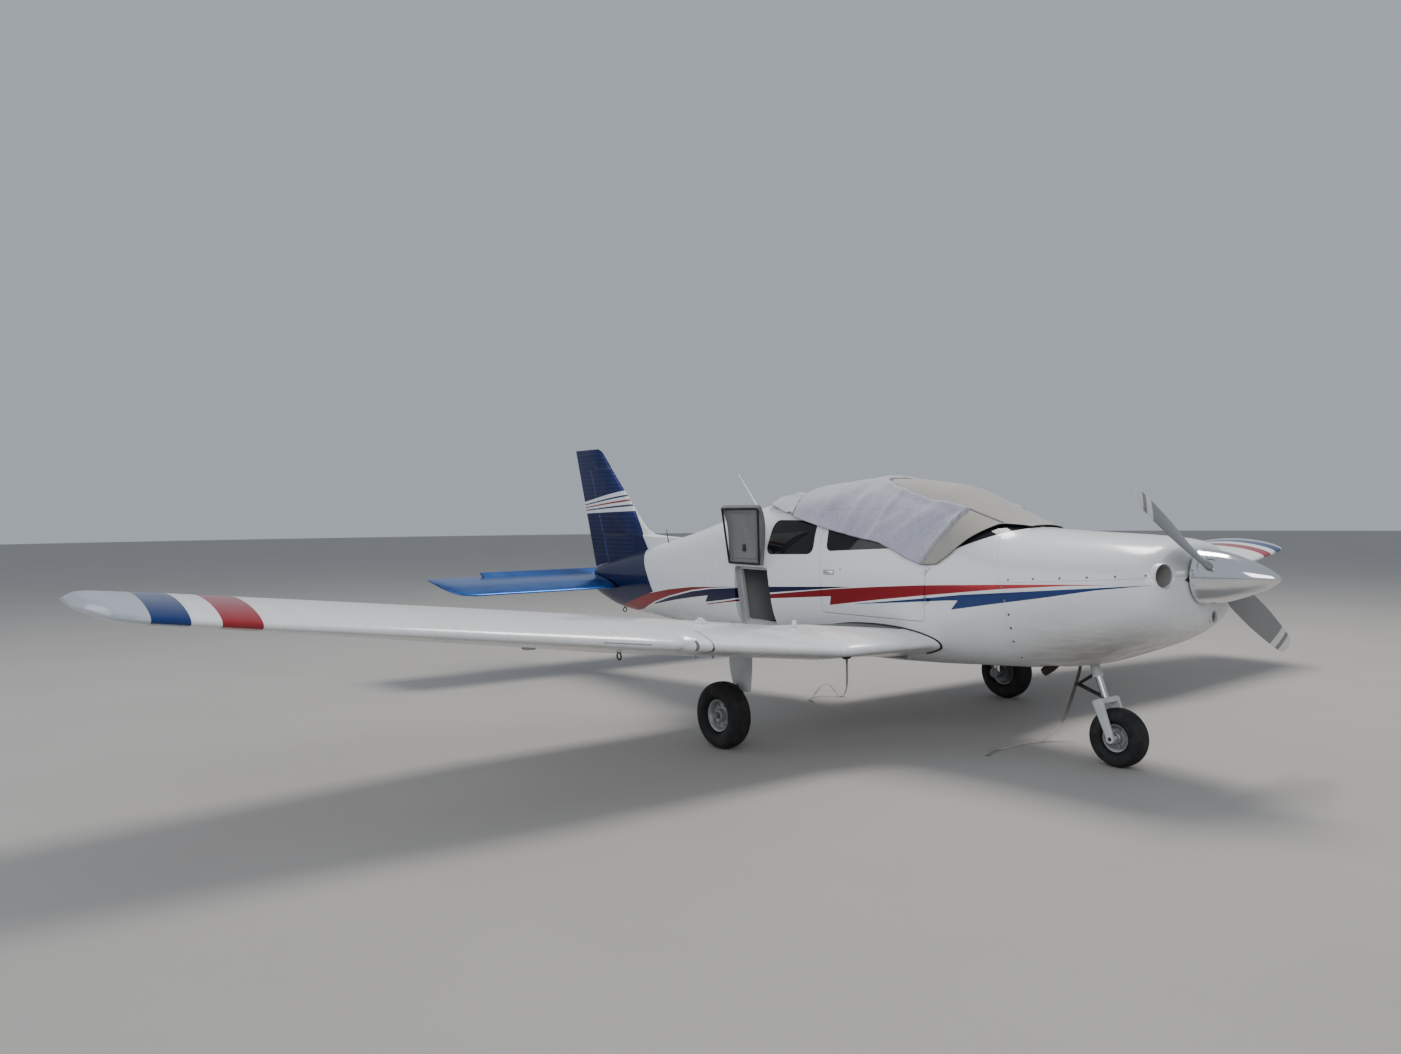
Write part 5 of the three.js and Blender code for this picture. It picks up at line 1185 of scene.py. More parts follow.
# Wings: stressed-skin aluminium over ribs and two spars, with a flush-riveted skin and a screwed-on tank
# forward of the spar outboard of the gear. Painted white, with red, white and blue bands at the tips.
# Columns: |y|, leading edge, trailing edge, height at the leading edge, nose-up angle, thickness, nose lift
WING = [
    (0.430, 1.900, 3.690, 0.608, 2.0, 0.232, 0.084), (0.570, 1.942, 3.690, 0.623, 2.0, 0.232, 0.084),
    (1.200, 2.088, 3.690, 0.690, 2.0, 0.218, 0.0), (2.700, 2.090, 3.690, 0.863, 2.0, 0.218, 0.0),
    (4.990, 2.306, 3.425, 1.128, -1.0, 0.136, 0.0), (5.120, 2.320, 3.408, 1.143, -1.0, 0.131, 0.0),
    (5.245, 2.390, 3.400, 1.162, -1.0, 0.118, 0.0), (5.315, 2.600, 3.372, 1.178, -1.0, 0.084, 0.0),
    (5.350, 2.860, 3.270, 1.184, -1.0, 0.026, 0.0),
]
AEROFOIL = [(0, 0), (0.006, 0.17), (0.03, 0.34), (0.1, 0.607), (0.22, 0.86), (0.4, 1), (0.55, 0.896),
            (0.7, 0.613), (0.78, 0.43), (0.88, 0.2), (1, 0.0)]
NOSE_ROWS = [(sqrt(x), h) for x, h in AEROFOIL]
CAMBER = 0.4 / (4 * pi)
TIP_JOINT = 5.12
FLAP = ("flap", 0.646, 2.724, (3.314, 3.314))
AILERON = ("aileron", 2.766, 4.954, (3.350, 3.192))
END_GAP, BAY_GAP = 0.009, 0.006
# A knock in the right leading edge: where it is, where it ends sharply inboard, its depth and half width
DENT_Y, DENT_END, DENT_DEPTH, DENT_REACH, DENT_CHORD = 2.42, 2.362, 0.046, 0.06, 0.09


def wing_row(y):
    if y > TIP_JOINT:
        return smooth_row(WING[-5:], y)
    return [np.interp(y, [r[0] for r in WING], [r[k] for r in WING]) for k in range(7)]


def half_depth(x):
    return smooth_row(NOSE_ROWS, sqrt(min(1, max(0, x))))[1]


def wing_point(y, side, x, above):
    """A point of the wing's section: share x along its chord, and height in half thicknesses."""
    _, lead, trail, height, angle, thick, raised = wing_row(y)
    chord = trail - lead
    mean = 0 if x <= 0 or x >= 1 else -CAMBER * ((1 - x) * log(1 - x) + x * log(x))
    up = chord * mean + above * thick * half_depth(x) / 2 + raised * (1 - x) ** 1.5
    return Vector((at(lead + chord * x), side * y, height - chord * x * tan(radians(angle)) + up))


def hinge_at(spec, y, side):
    _, start, end, stations = spec
    ends = []
    for where, station in zip((start, end), stations):
        _, lead, trail, *_ = wing_row(where)
        ends.append(wing_point(where, side, (station - lead) / (trail - lead), 0))
    return ends[0].lerp(ends[1], (y - start) / (end - start))


def nose_radius(spec, y):
    row = wing_row(y)
    x = (NOSE_TIP - hinge_at(spec, y, -1).x - row[1]) / (row[2] - row[1])
    return row[5] * half_depth(x) / 2


RIB_PITCH, SPAR, REAR_SPAR, WING_RIVETS = 0.335, 2.62, 3.12, 0.026
TANK_INNER, TANK_OUTER, RIVET_HALF = 1.19, 2.255, 0.0022
RED_BAND, BLUE_FROM, WALKWAY_FRONT = (4.67, 4.84), 4.965, 2.19
# The tapered panel's start and the leading edge's station there and slope outboard of it
TAPER_FROM, TAPER_LEAD, TAPER_SLOPE = 2.7, 2.09, 0.0943


def wing_paint(name, beaded=False):
    """White wing enamel with the tip bands, rivet rows, lap joints, dirt streaks and a walkway, with painted
    shade on the undersides and the lower leading edge, below the stall strip and at the dent's sharp inboard
    end.
    """
    finish = Finish(name, Coat_Weight=0.3, Coat_Roughness=0.07, Specular_IOR_Level=0.5)
    point, x, y, _ = finish.places()
    station, out = at(x), abs(y)
    cloudy = finish.grain(point, 2.0, 4.0, 0.6)
    under = finish.node("SeparateXYZ", {}, {0: finish.node("NewGeometry", {}, {}, "Normal")}, 2) < -0.15
    streak = finish.grain(point, 1.6, 6.0, 0.7, (1.0, 12.0, 1.0))
    row_out, row_along = ((run % WING_RIVETS).near(WING_RIVETS / 2, RIVET_HALF) for run in (out, station))
    spars = (station.near(SPAR, RIVET_HALF) | station.near(REAR_SPAR, RIVET_HALF)
             | station.near(SPAR + 0.014, RIVET_HALF))
    rivet = (out % RIB_PITCH).near(RIB_PITCH / 2, RIVET_HALF) & row_along | spars & row_out
    laps = (out.near(TANK_OUTER, 0.0016) | out.near(TANK_INNER, 0.0012)
            | station.near(SPAR - 0.02, 0.0012) & (out > TANK_INNER))
    tank_edge = out.near(TANK_OUTER, 0.0016) & (station < 2.6)
    # Dirt streaks, and the undersides and lower leading edge darkened as painted shade.
    dirt_and_darkening = streak.soft_step(0.42, 0.9) * 0.5 + under * cloudy * 0.35
    tone = finish.mix(cloudy * 0.22, WHITE_TONE, (0.70, 0.72, 0.745, 1))
    tone = finish.mix((dirt_and_darkening * 0.6 + rivet * 0.22 + laps * 0.5 + tank_edge * 0.6) & 0.85, tone, DARKENING_TONE)
    from_lead = station - (((out - TAPER_FROM) | 0) * TAPER_SLOPE + TAPER_LEAD)
    seal = (abs(out - TANK_OUTER) < under * 0.004 + 0.0045) & (station < 2.28)
    # A dark line along the right leading edge: painted shade below a stall strip, which is not modelled.
    stall_strip_shade = (y < 0) & (out > 2.685) & (out < 2.98) & (from_lead < 0.0008)
    # A dark line where the dent ends sharply inboard: painted shade of the step there.
    dent_step_shade = (y < 0) & out.near(DENT_END, 0.005) & (from_lead < 0.035)
    tone = finish.mix(seal | stall_strip_shade * 0.6 | dent_step_shade * 0.8, tone, (0.03, 0.03, 0.032, 1))
    tone = finish.mix((out > RED_BAND[0]) & (out < RED_BAND[1]), tone, RED_TONE)
    tone = finish.mix(out > BLUE_FROM, tone, (0.010, 0.040, 0.19, 1))
    grit = finish.grain(point, 900.0, 3.0, 0.7)
    walkway = ((y < 0) & (station > WALKWAY_FRONT) & (station < 3.66) & (1 - under)
               & (out < 0.60 + (station - WALKWAY_FRONT) * 0.85) & (out < 0.93))
    tone = finish.mix(walkway, tone, finish.mix(grit, (0.018, 0.018, 0.02, 1), (0.075, 0.075, 0.075, 1)))
    height = cloudy * 0.5 - (laps | rivet) * 0.4 + walkway * grit * 0.5
    if beaded:
        wave = abs(out % 0.085 - 0.0425)
        height = height - (1 - wave.soft_step(0.004, 0.012)) * 0.9
    dents = finish.grain(point, 3.2, 2.0, stretch=(1.0, 2.2, 1.0))
    normal = finish.bump(height, 0.25, 0.004, finish.bump(dents, 0.12, 0.03))
    return finish.coat(Base_Color=tone, Roughness=dirt_and_darkening * 0.25 + walkway * 0.5 + 0.2,
                       Metallic=(out > BLUE_FROM) * 0.5, Normal=normal)


wing_white = wing_paint("wing_paint")
surface_white = wing_paint("control_surface_paint", True)
bare_steel = metal("fitting_steel", (0.35, 0.355, 0.36, 1), 0.4, 1, 0.8)


def wing_rows(start, end, pitch, specs):
    """Spanwise rows of a wing: |y| and the bay that the section is cut back for, or none."""
    stops = sorted({start, end, *(r[0] for r in WING if start < r[0] < end),
                    *(y for s in specs for y in (s[1] - END_GAP, s[2] + END_GAP)),
                    *(float(y) for y in np.linspace(DENT_END - 0.03, DENT_Y + 0.15, 20))})
    rows = []
    for a, b in zip(stops, stops[1:]):
        spec = next((s for s in specs if s[1] - END_GAP <= a and b <= s[2] + END_GAP), None)
        steps = max(1, round((b - a) / pitch))
        rows += [(a + (b - a) * k / steps, spec) for k in range(steps + 1)]
    return rows


def wing_place(side):
    def skin_point(y, x, above):
        """The wing's section, with the knock that the right leading edge has taken."""
        p = wing_point(y, side, x, above)
        if side < 0 and x < DENT_CHORD and y > DENT_END:
            p.x -= DENT_DEPTH * exp(-((y - DENT_Y) / DENT_REACH) ** 2) * (1 - x / DENT_CHORD) ** 1.3
        return p

    def place(row, share):
        y, spec = row
        x, above = (1 + cos(tau * share)) / 2, 1 if share < 0.5 else -1
        if not spec:
            return skin_point(y, x, above)
        _, lead, trail, *_ = wing_row(y)
        hinge, nose = hinge_at(spec, y, side), nose_radius(spec, y)
        reach = nose + BAY_GAP
        lip = asin(nose / reach)
        limit = (NOSE_TIP - hinge.x - reach * cos(lip) - lead) / (trail - lead)
        if x <= limit:
            return skin_point(y, x, above)
        part = (x - limit) / (1 - limit)
        turn = lip * (1 - part)
        round_bay = hinge + Vector((reach * cos(turn), 0, above * reach * sin(turn)))
        edge = wing_point(y, side, limit, above)
        settle = min(1, part * 6)
        return Vector((round_bay.x, side * y, edge.z * (1 - settle) + round_bay.z * settle))
    return place


def surface_place(spec, side):
    def place(y, share):
        _, lead, trail, *_ = wing_row(y)
        hinge, nose = hinge_at(spec, y, side), nose_radius(spec, y)
        start = (NOSE_TIP - hinge.x - lead) / (trail - lead)
        above = 1 if share < 0.5 else -1
        far = abs(2 * share - 1)
        if far > 0.3:
            x = start + (1 - start) * (far - 0.3) / 0.7
            top = wing_point(y, side, x, above)
            fade = max(0, 1 - (far - 0.3) / 0.25)
            return Vector((top.x, top.y, top.z * (1 - fade) + (hinge.z + above * nose) * fade
                           if fade > 0 else top.z))
        turn = pi / 2 * far / 0.3
        return Vector((hinge.x + nose * cos(turn), side * y, hinge.z + above * nose * sin(turn)))
    return place


for name, side in SIDES:
    wing = closed_up(laid_up(wing_rows(0.45, TIP_JOINT - 0.001, 0.075, [FLAP, AILERON]), 96,
                             wing_place(side)))
    fitted(wing, f"{name}_wing_skin", "airframe", wing_white, "white_paint", [f"{name}_wing"], 30)
    for spec in (FLAP, AILERON):
        kind, start, end, _ = spec
        rows = [start + (end - start) * k / 36 for k in range(37)]
        panel = closed_up(laid_up(rows, 72, surface_place(spec, side)))
        a, b = hinge_at(spec, start, side), hinge_at(spec, end, side)
        reach = (b - a).normalized() * 0.0078
        bar(panel, a - reach, b + reach, 0.0065, sides=16)
        fitted(panel, f"{name}_{kind}_panel", f"{name}_{kind}_group", surface_white, "white_paint",
               [f"{name}_{kind}"], 30)

# Wing fittings: clear acrylic tips with the navigation lamps behind them, a rubber seal round each root,
# fuel caps, jack pads, tie-down rings and the small drains below.


def clear_plastic(name, tone, share):
    finish = Finish(name, Specular_IOR_Level=0.5, Coat_Weight=0.3)
    point, *_ = finish.places()
    cloud = finish.grain(point, 9.0, 4.0, 0.6)
    scuff = finish.grain(point, 120.0, 4.0, 0.7)
    return finish.coat(Base_Color=finish.mix(cloud, tone, (0.42, 0.46, 0.52, 1)),
                       Roughness=scuff * 0.2 + 0.08,
                       Alpha=cloud * 0.15 + share)


def lift(height):
    return Vector((0, 0, height))


def tie_down(hold, thick, count, sides, level, name, nodes=()):
    """A ring of wire that hangs from a short shank."""
    built(name, black_plastic, "gear_steel", shape=rod(hoop(hold, 0.02, count, level), thick, True, sides),
          stands_for=nodes, bars=[(hold + lift(0.019), hold + lift(0.05), 0.005)])


def root_seal(side):
    """The bead where the wing's skin meets the fuselage's, in runs that end where it is hidden."""
    runs = []
    for share in np.linspace(0.03, 0.93, 110):
        x, above = (1 + cos(tau * share)) / 2, 1 if share < 0.5 else -1
        ys = [float(y) for y in np.linspace(ROOT_FROM, 0.66, 60)
              for p in [wing_point(float(y), side, x, above)] if y > abs(skin_y(NOSE_TIP - p.x, p.z, side))]
        if not ys or ys[0] <= ROOT_FROM + 0.0001:
            continue
        p = wing_point(ys[0], side, x, above)
        if not runs or (p - runs[-1][-1]).length > 0.16:
            runs.append([])
        runs[-1].append(p)
    seal = bmesh.new()
    for run in runs:
        if len(run) > 2:
            rod(rounded_route(run, 0.02), 0.0085, sides=8, shape=seal)
    return seal


ROOT_FROM = 0.452
tip_plastic = clear_plastic("tip_plastic", (0.60, 0.66, 0.74, 1), 0.72)
for name, side, tone in (("right", -1, (0.01, 0.25, 0.06, 1)), ("left", 1, (0.45, 0.02, 0.02, 1))):
    ys = [TIP_JOINT + 0.0006, *np.linspace(5.14, 5.29, 9), *np.linspace(5.3, 5.35, 8)]
    tip = closed_up(laid_up(ys, 80, lambda y, share, side=side: wing_point(
        float(y), side, (1 + cos(tau * share)) / 2, 1 if share < 0.5 else -1)))
    fitted(tip, f"{name}_tip_lens", "airframe", tip_plastic, "clear_tip", [f"{name}_wing_tip"], 40)
    lamp = wing_point(5.17, side, 0.09, 0)
    built(f"{name}_tip_lamp", metal(f"{name}_lamp_tint", tone, 0.3, 0.1), "clear_tip",
          [(lamp - Vector((0.03, 0, 0)), lamp + Vector((0.02, 0, 0)), 0.018, 0.012)])
    fitted(root_seal(side), f"{name}_root_seal", "airframe", gasket_rubber, "aerial_black")
    cap = wing_point(2.02, side, 0.27, 1)
    built(f"{name}_fuel_cap", surface_white, "white_paint",
          [(cap - lift(0.01), cap + lift(0.012), 0.043, None, 36),
           (cap + lift(0.012), cap + lift(0.022), 0.034, 0.030, 36)],
          [(cap + Vector((-0.026, -0.004, 0.02)), cap + Vector((0.026, 0.004, 0.036)), 0.003)])
    drains = [wing_point(y, side, x, -1) for y, x in ((1.02, 0.30), (2.05, 0.17), (2.10, 0.235))]
    pad = side * 3.17, side * 3.23
    built(f"{name}_wing_fittings", bare_steel, "gear_steel",
          [(drain + lift(0.01), drain - lift(0.012), 0.006) for drain in drains],
          [((at(2.56), min(pad), 0.8385), (at(2.50), max(pad), 0.88), 0.004)])
    tie_down(wing_point(2.74, side, 0.15, -1) - lift(0.02), 0.0045, 24, 10, (1, 0, 0),
             f"{name}_tie_down_ring")

vent = wing_point(1.19, -1, 0.30, 1)
built("right_wing_vent", surface_white, "white_paint", blocks=[
    around(vent, (0.035, 0.003, 0.004), (0.01, 0.003, 0.05), 0.002)])
inlet = bmesh.new()
ball = bmesh.ops.create_uvsphere(inlet, u_segments=32, v_segments=16, radius=1)["verts"]
bmesh.ops.transform(inlet, verts=ball, matrix=Matrix.Translation(wing_point(1.146, -1, 0.04, -1))
                    @ Matrix.Diagonal((0.011, 0.042, 0.016, 1)))
fitted(inlet, "right_wing_air_inlet", "airframe", gasket_rubber, "aerial_black")

# Tail: a swept fin with a long dorsal fairing, a beaded-skin rudder and a one-piece stabilator with a
# full-width tab. Navy and blue metallic paint, with a white band that carries three plain thin stripes.
# Columns: height, leading edge, rudder hinge, trailing edge, thickness
FIN = [
    (1.000, 5.250, 6.626, 6.910, 0.100), (1.040, 5.250, 6.640, 6.924, 0.100),
    (1.340, 5.330, 6.746, 7.018, 0.096),
    (1.352, 5.640, 6.750, 7.022, 0.095), (1.368, 5.846, 6.756, 7.027, 0.094),
    (1.413, 5.960, 6.771, 7.041, 0.092),
    (1.506, 6.076, 6.804, 7.070, 0.089), (1.623, 6.193, 6.845, 7.107, 0.085),
    (2.028, 6.598, 6.988, 7.234, 0.064),
    (2.205, 6.775, 7.051, 7.289, 0.054), (2.240, 6.850, 7.063, 7.300, 0.030),
]
HORN_BOTTOM, RUDDER_BOTTOM, RUDDER_LIFT, TAIL_GAP = 2.040, 1.022, 0.009, 0.0035
# Shares of a half section's points that go to the front part's side and to the rear part's round nose
FRONT_SHARE, NOSE_SHARE = 0.9, 0.25


def tail_half(x):
    """Half thickness of a tail section, as a share of its greatest, at a share of its chord."""
    full = min(1, 1.9 * sqrt(max(0, x))) if x < 0.35 else 1 - 0.93 * ((x - 0.35) / 0.65) ** 1.4
    return full * min(1, max(0, 1 - x) / 0.006)


def fin_row(z):
    return [np.interp(z, [r[0] for r in FIN], [r[k] for r in FIN]) for k in range(5)]


def tail_ring(lead, hinge, trail, thick, share, part):
    """Station and half width round a tail section: the whole, the fixed front or the moving rear part."""
    chord, far, above = trail - lead, abs(2 * share - 1), 1 if share < 0.5 else -1
    nose = thick / 2 * tail_half((hinge - lead) / chord)
    if part == "whole":
        x = (1 + cos(tau * share)) / 2
        return lead + chord * x, above * thick / 2 * tail_half(x)
    if part == "front":
        reach = nose + TAIL_GAP
        lips = hinge - sqrt(reach ** 2 - nose ** 2)
        if far > FRONT_SHARE:
            across = nose * (1 - far) / (1 - FRONT_SHARE)
            return hinge - sqrt(reach ** 2 - across ** 2), above * across
        x = (lips - lead) / chord * (1 - cos(pi / 2 * far / FRONT_SHARE))
        return lead + chord * x, above * thick / 2 * tail_half(x)
    if far > NOSE_SHARE:
        station = hinge + (trail - hinge) * (far - NOSE_SHARE) / (1 - NOSE_SHARE)
        return station, above * thick / 2 * tail_half((station - lead) / chord)
    turn = pi / 2 * far / NOSE_SHARE
    return hinge - nose * cos(turn), above * nose * sin(turn)


BEAD_PITCH, BEADS_FROM = 0.0434, (6.15, 1.12)
# The white band's lower and upper edge and the dorsal's edge: a height or station at a place, and its slope
BAND_LOW, BAND_HIGH, DORSAL = (1.595, 6.199, -0.0236), (1.797, 6.389, -0.14), (5.899, 1.230, 0.7317)
DORSAL_TOP = 1.78


def metallic_paint(name, tone, other, bead):
    """Metallic tail paint with the white band, its thin stripes, beads with a painted highlight along their
    ridges, and some dust.
    """
    finish = Finish(name, Coat_Weight=0.25, Coat_Roughness=0.06, Specular_IOR_Level=0.5)
    point, x, _, z = finish.places()
    station = at(x)
    flakes = finish.grain(point, 1400.0, 2.0, 0.8)
    cloudy = finish.grain(point, 3.0, 5.0, 0.6, (3.0, 1.0, 1.0))
    color = finish.mix(cloudy.soft_step(0.4, 0.75), tone, other)
    bright = (*(min(1, 2.6 * c + 0.03) for c in tone[:3]), 1)
    color = finish.mix(flakes.soft_step(0.55, 0.8) * 0.25, color, bright)
    if not bead:
        return finish.coat(Base_Color=color, Metallic=0.8, Roughness=cloudy * 0.15 + 0.22,
                           Normal=finish.bump(cloudy, 0.1, 0.006))
    wave = abs(z % BEAD_PITCH - BEAD_PITCH / 2)
    ridge = (1 - wave.soft_step(0.0015, 0.006)) * (z > BEADS_FROM[1]) * (station > BEADS_FROM[0])
    # The bead ridges are lightened: a painted highlight where they catch the light.
    color = finish.mix(ridge * 0.16, color, (0.16, 0.20, 0.34, 1))
    low, high, edge = (start + (run - foot) * slope for run, (start, foot, slope) in (
        (station, BAND_LOW), (station, BAND_HIGH), (z, DORSAL)))
    band, dorsal = (z > low) & (z < high), (station < edge) & (z < DORSAL_TOP)
    color = finish.mix(band, color, WHITE_TONE)
    share = (z - low) / (high - low)
    for place, line in ((0.26, NAVY_TONE), (0.50, RED_TONE), (0.74, NAVY_TONE)):
        color = finish.mix(band & share.near(place, 0.045), color, line)
    color = finish.mix(dorsal, color, WHITE_TONE)
    return finish.coat(Base_Color=color, Metallic=(1 - (band | dorsal)) * 0.9, Roughness=cloudy * 0.15 + 0.22,
                       Normal=finish.bump(ridge * -0.6 + cloudy * 0.3, 0.12, 0.004))


navy_metallic = metallic_paint("navy_metallic", (0.010, 0.017, 0.085, 1), (0.016, 0.026, 0.12, 1), True)
blue_metallic = metallic_paint("blue_metallic", (0.010, 0.085, 0.36, 1), (0.030, 0.17, 0.52, 1), False)


def top_line(station):
    return smooth_row(FRAMES, min(station, 6.925))[1] if station < 6.93 else 0


def fin_place(part):
    def place(z, share):
        _, lead, hinge, trail, thick = fin_row(z)
        station, across = tail_ring(lead, hinge, trail, thick, share, part)
        if part == "rear":
            z = max(z, top_line(station) + RUDDER_LIFT)
            _, lead, hinge, trail, thick = fin_row(z)
            station, across = tail_ring(lead, hinge, trail, thick, share, part)
        return Vector((at(station), across, z))
    return place


def merged(one, other):
    """Adds one shape to another, and gives that."""
    spare = bpy.data.meshes.new("spare")
    one.to_mesh(spare)
    one.free()
    other.from_mesh(spare)
    bpy.data.meshes.remove(spare)
    return other


def laid(rows, around, place):
    """A closed body laid up over rows of numbers."""
    return closed_up(laid_up([float(row) for row in rows], around, place))


levels = [1.0, *np.linspace(1.04, 1.34, 12), *np.linspace(1.3435, 1.42, 24), *np.linspace(1.44, 2.036, 26)]
fitted(laid(levels, 84, fin_place("front")), "fin_skin", "airframe", navy_metallic, "navy_paint", ["fin"], 30)
horn = laid([HORN_BOTTOM, *np.linspace(2.06, 2.205, 8), 2.222, 2.234, 2.24], 60, fin_place("whole"))
rudder = merged(horn, laid(np.linspace(RUDDER_BOTTOM, HORN_BOTTOM + 0.004, 50), 60, fin_place("rear")))
bar(rudder, Vector((at(6.672), 0, 1.13)), Vector((at(6.651), 0, 1.071)), 0.009)
fitted(rudder, "rudder_panel", "rudder_group", navy_metallic, "navy_paint", ["rudder"], 30)

# Columns: |y|, leading edge, trailing edge, thickness
STABILATOR = [(0.0, 6.320, 7.085, 0.082), (1.600, 6.320, 7.085, 0.082), (1.725, 6.345, 7.085, 0.074),
              (1.795, 6.420, 7.080, 0.054), (1.822, 6.560, 7.060, 0.022)]
STABILATOR_TILT, TAB_TILT, TAB_HINGE, TAB_HALF = radians(9), radians(22), 6.960, 1.265


def stabilator_point(station, y, up):
    """A point given in the stabilator's own flat frame, turned to its rest."""
    back = station - (NOSE_TIP - STABILATOR_PIVOT.x)
    c, s = cos(STABILATOR_TILT), sin(STABILATOR_TILT)
    return STABILATOR_PIVOT + Vector((-back * c + up * s, y, back * s + up * c))


def stabilator_place(side):
    def place(row, share):
        y, bay = row
        _, lead, trail, thick = smooth_row(STABILATOR, y)
        station, up = tail_ring(lead, TAB_HINGE, trail, thick, share, "front" if bay else "whole")
        spot = stabilator_point(station, 0, up)
        aft = NOSE_TIP - spot.x
        clear = 0.054 if aft > CONE_END else abs(smooth_row(FRAMES, aft)[3]) + 0.014
        return Vector((spot.x, side * max(y, clear), spot.z))
    return place


def tab_place(y, share):
    _, lead, trail, thick = STABILATOR[0]
    station, up = tail_ring(lead, TAB_HINGE, trail, thick, share, "rear")
    back, c, s = station - TAB_HINGE, cos(TAB_TILT), sin(TAB_TILT)
    return stabilator_point(TAB_HINGE + back * c - up * s, y, back * s + up * c)


tail_ends = [(float(y), True) for y in (0.03, *np.linspace(0.16, 1.272, 26))]
tail_ends += [(float(y), False) for y in (1.272, *np.linspace(1.30, 1.60, 7), *np.linspace(1.63, 1.795, 8),
                                          1.81, 1.822)]
for name, side in SIDES:
    half = closed_up(laid_up(tail_ends, 80, stabilator_place(side)))
    if side < 0:
        stub = Vector((0, 0.19, 0))
        bar(half, STABILATOR_PIVOT - stub, STABILATOR_PIVOT + stub, 0.0275, sides=32)
    fitted(half, f"stabilator_{name}_half", "stabilator_group", blue_metallic, "blue_paint",
           ["stabilator"] if side < 0 else (), 30)
tab = laid(np.linspace(-TAB_HALF, TAB_HALF, 61), 40, tab_place)
bar(tab, stabilator_point(TAB_HINGE, -1.270, 0), stabilator_point(TAB_HINGE, 1.270, 0), 0.0045)
fitted(tab, "stabilator_tab_panel", "tab_group", blue_metallic, "blue_paint", ["stabilator_tab"], 30)

# Tail lamp, tail tie-down ring and the two aerials.
# Steps of the lamp: front and rear station, front and rear radius
LAMP, LAMP_Z = [(6.924, 6.948, 0.030, 0.022), (6.946, 6.958, 0.022, 0.012)], 0.897
built("tail_lamp", tip_plastic, "clear_tip", [
    (Vector((at(s0), 0, LAMP_Z)), Vector((at(s1), 0, LAMP_Z)), r0, r1, 32) for s0, s1, r0, r1 in LAMP])
tie_down(Vector((at(6.386), 0, 0.604)), 0.005, 28, 12, (0, 1, 0), "tail_tie_down_ring", ["tail_tie_down"])
for name, foot, top, low, high, finish, slot in (
        ("roof_aerial", (4.284, 0, 1.572), (4.571, 0, 1.9), 0.0085, 0.0035, surface_white, "white_paint"),
        ("tail_aerial", (5.498, -0.09, 1.275), (5.535, -0.09, 1.42), 0.0055, 0.0028, gasket_rubber,
         "aerial_black")):
    a, b = (Vector((at(p[0]), p[1], p[2])) for p in (foot, top))
    built(f"{name}_whip", finish, slot, stands_for=[name], bars=[
        (a, b, low, high, 20),
        (a - (b - a).normalized() * 0.01, a + (b - a) * 0.08, low * 2.2, low * 1.1)])

# Wheels: cast wheels painted grey, each with its bolts, and black tyres with a grooved tread.
# A main wheel carries a brake disc on its inner face.
def lathed(profile, centre, around=64):
    """A closed body turned about an axle along y, from a loop of (radius, reach along y)."""
    return closed_up(laid_up([*profile, profile[0]], around, lambda row, share: centre + Vector((
        row[0] * cos(tau * share), row[1], row[0] * sin(tau * share)))))


def tyre_profile(radius, half, rim, grooves):
    """A tyre's section: flat tread with round shoulders and full side walls down to the rim."""
    middle, reach, loop = (radius + rim) / 2, (radius - rim) / 2, []
    for k in range(176):
        turn = tau * k / 176
        c, s = cos(turn), sin(turn)
        swell = 1 / (abs(c) ** 2.5 + abs(s) ** 2.5) ** (1 / 2.5)
        r, y = middle + reach * swell * c, half * swell * s
        if c > 0.4:
            r -= 0.0042 * any(abs(y - g) < 0.0026 for g in grooves)
        loop.append((r, y))
    return loop


tyre_rubber = rubber("tyre_rubber", (0.016, 0.016, 0.017, 1), 0.72, 220.0)
wheel_grey = metal("wheel_grey", (0.36, 0.37, 0.385, 1), 0.42, 0.45, 0.7)


BOLTS, BOLT_REACH = 8, Vector((0, 0.024, 0))


def wheel(name, body, station, y, radius, half, rim, bore, grooves):
    centre = Vector((at(station), y, radius))
    fitted(lathed(tyre_profile(radius, half, rim, grooves), centre, 96), f"{name}_tyre_body", body,
           tyre_rubber, "tyre_rubber", [f"{name}_tyre"], 50)
    edge = half * 0.60
    outer = [(bore, edge), (bore + 0.014, edge + 0.004), (bore + 0.020, edge), (bore + 0.024, 0.016),
             (rim - 0.026, 0.012), (rim - 0.016, edge * 0.8), (rim - 0.003, edge), (rim - 0.0008, edge)]
    hub = lathed([(r, -reach) for r, reach in outer] + outer[::-1], centre)
    turns = [tau * (k + 0.5) / BOLTS for k in range(BOLTS)]
    spots = [centre + Vector((cos(turn), 0, sin(turn))) * (rim * 0.62) for turn in turns]
    built(f"{name}_wheel_body", wheel_grey, "wheel_metal", body=body, stands_for=[f"{name}_wheel"], shape=hub,
          bars=[(spot - BOLT_REACH, spot + BOLT_REACH, 0.0065, None, 6) for spot in spots])


for name, side in SIDES:
    wheel(f"{name}_main", f"{name}_wheel_group", 2.92, side * 1.524, 0.2225, 0.080, 0.108, 0.0206,
          (-0.044, -0.022, 0.0, 0.022, 0.044))
wheel("nose", "nose_wheel_group", 0.962, 0, 0.180, 0.069, 0.086, 0.0146, (-0.028, -0.009, 0.009, 0.028))

# Main gear: a white plastic fairing over each oleo leg, the bare chromed piston below it, torque links,
# the axle with its brake, and a thin brake hose.
gear_white = metal("gear_white", (0.60, 0.615, 0.62, 1), 0.4, 0.0, 0.35)
chrome = metal("chromed_piston", (0.72, 0.73, 0.74, 1), 0.2, 1.0, 0.3)
cast_grey = metal("cast_grey", (0.24, 0.245, 0.25, 1), 0.5, 0.6, 0.7)
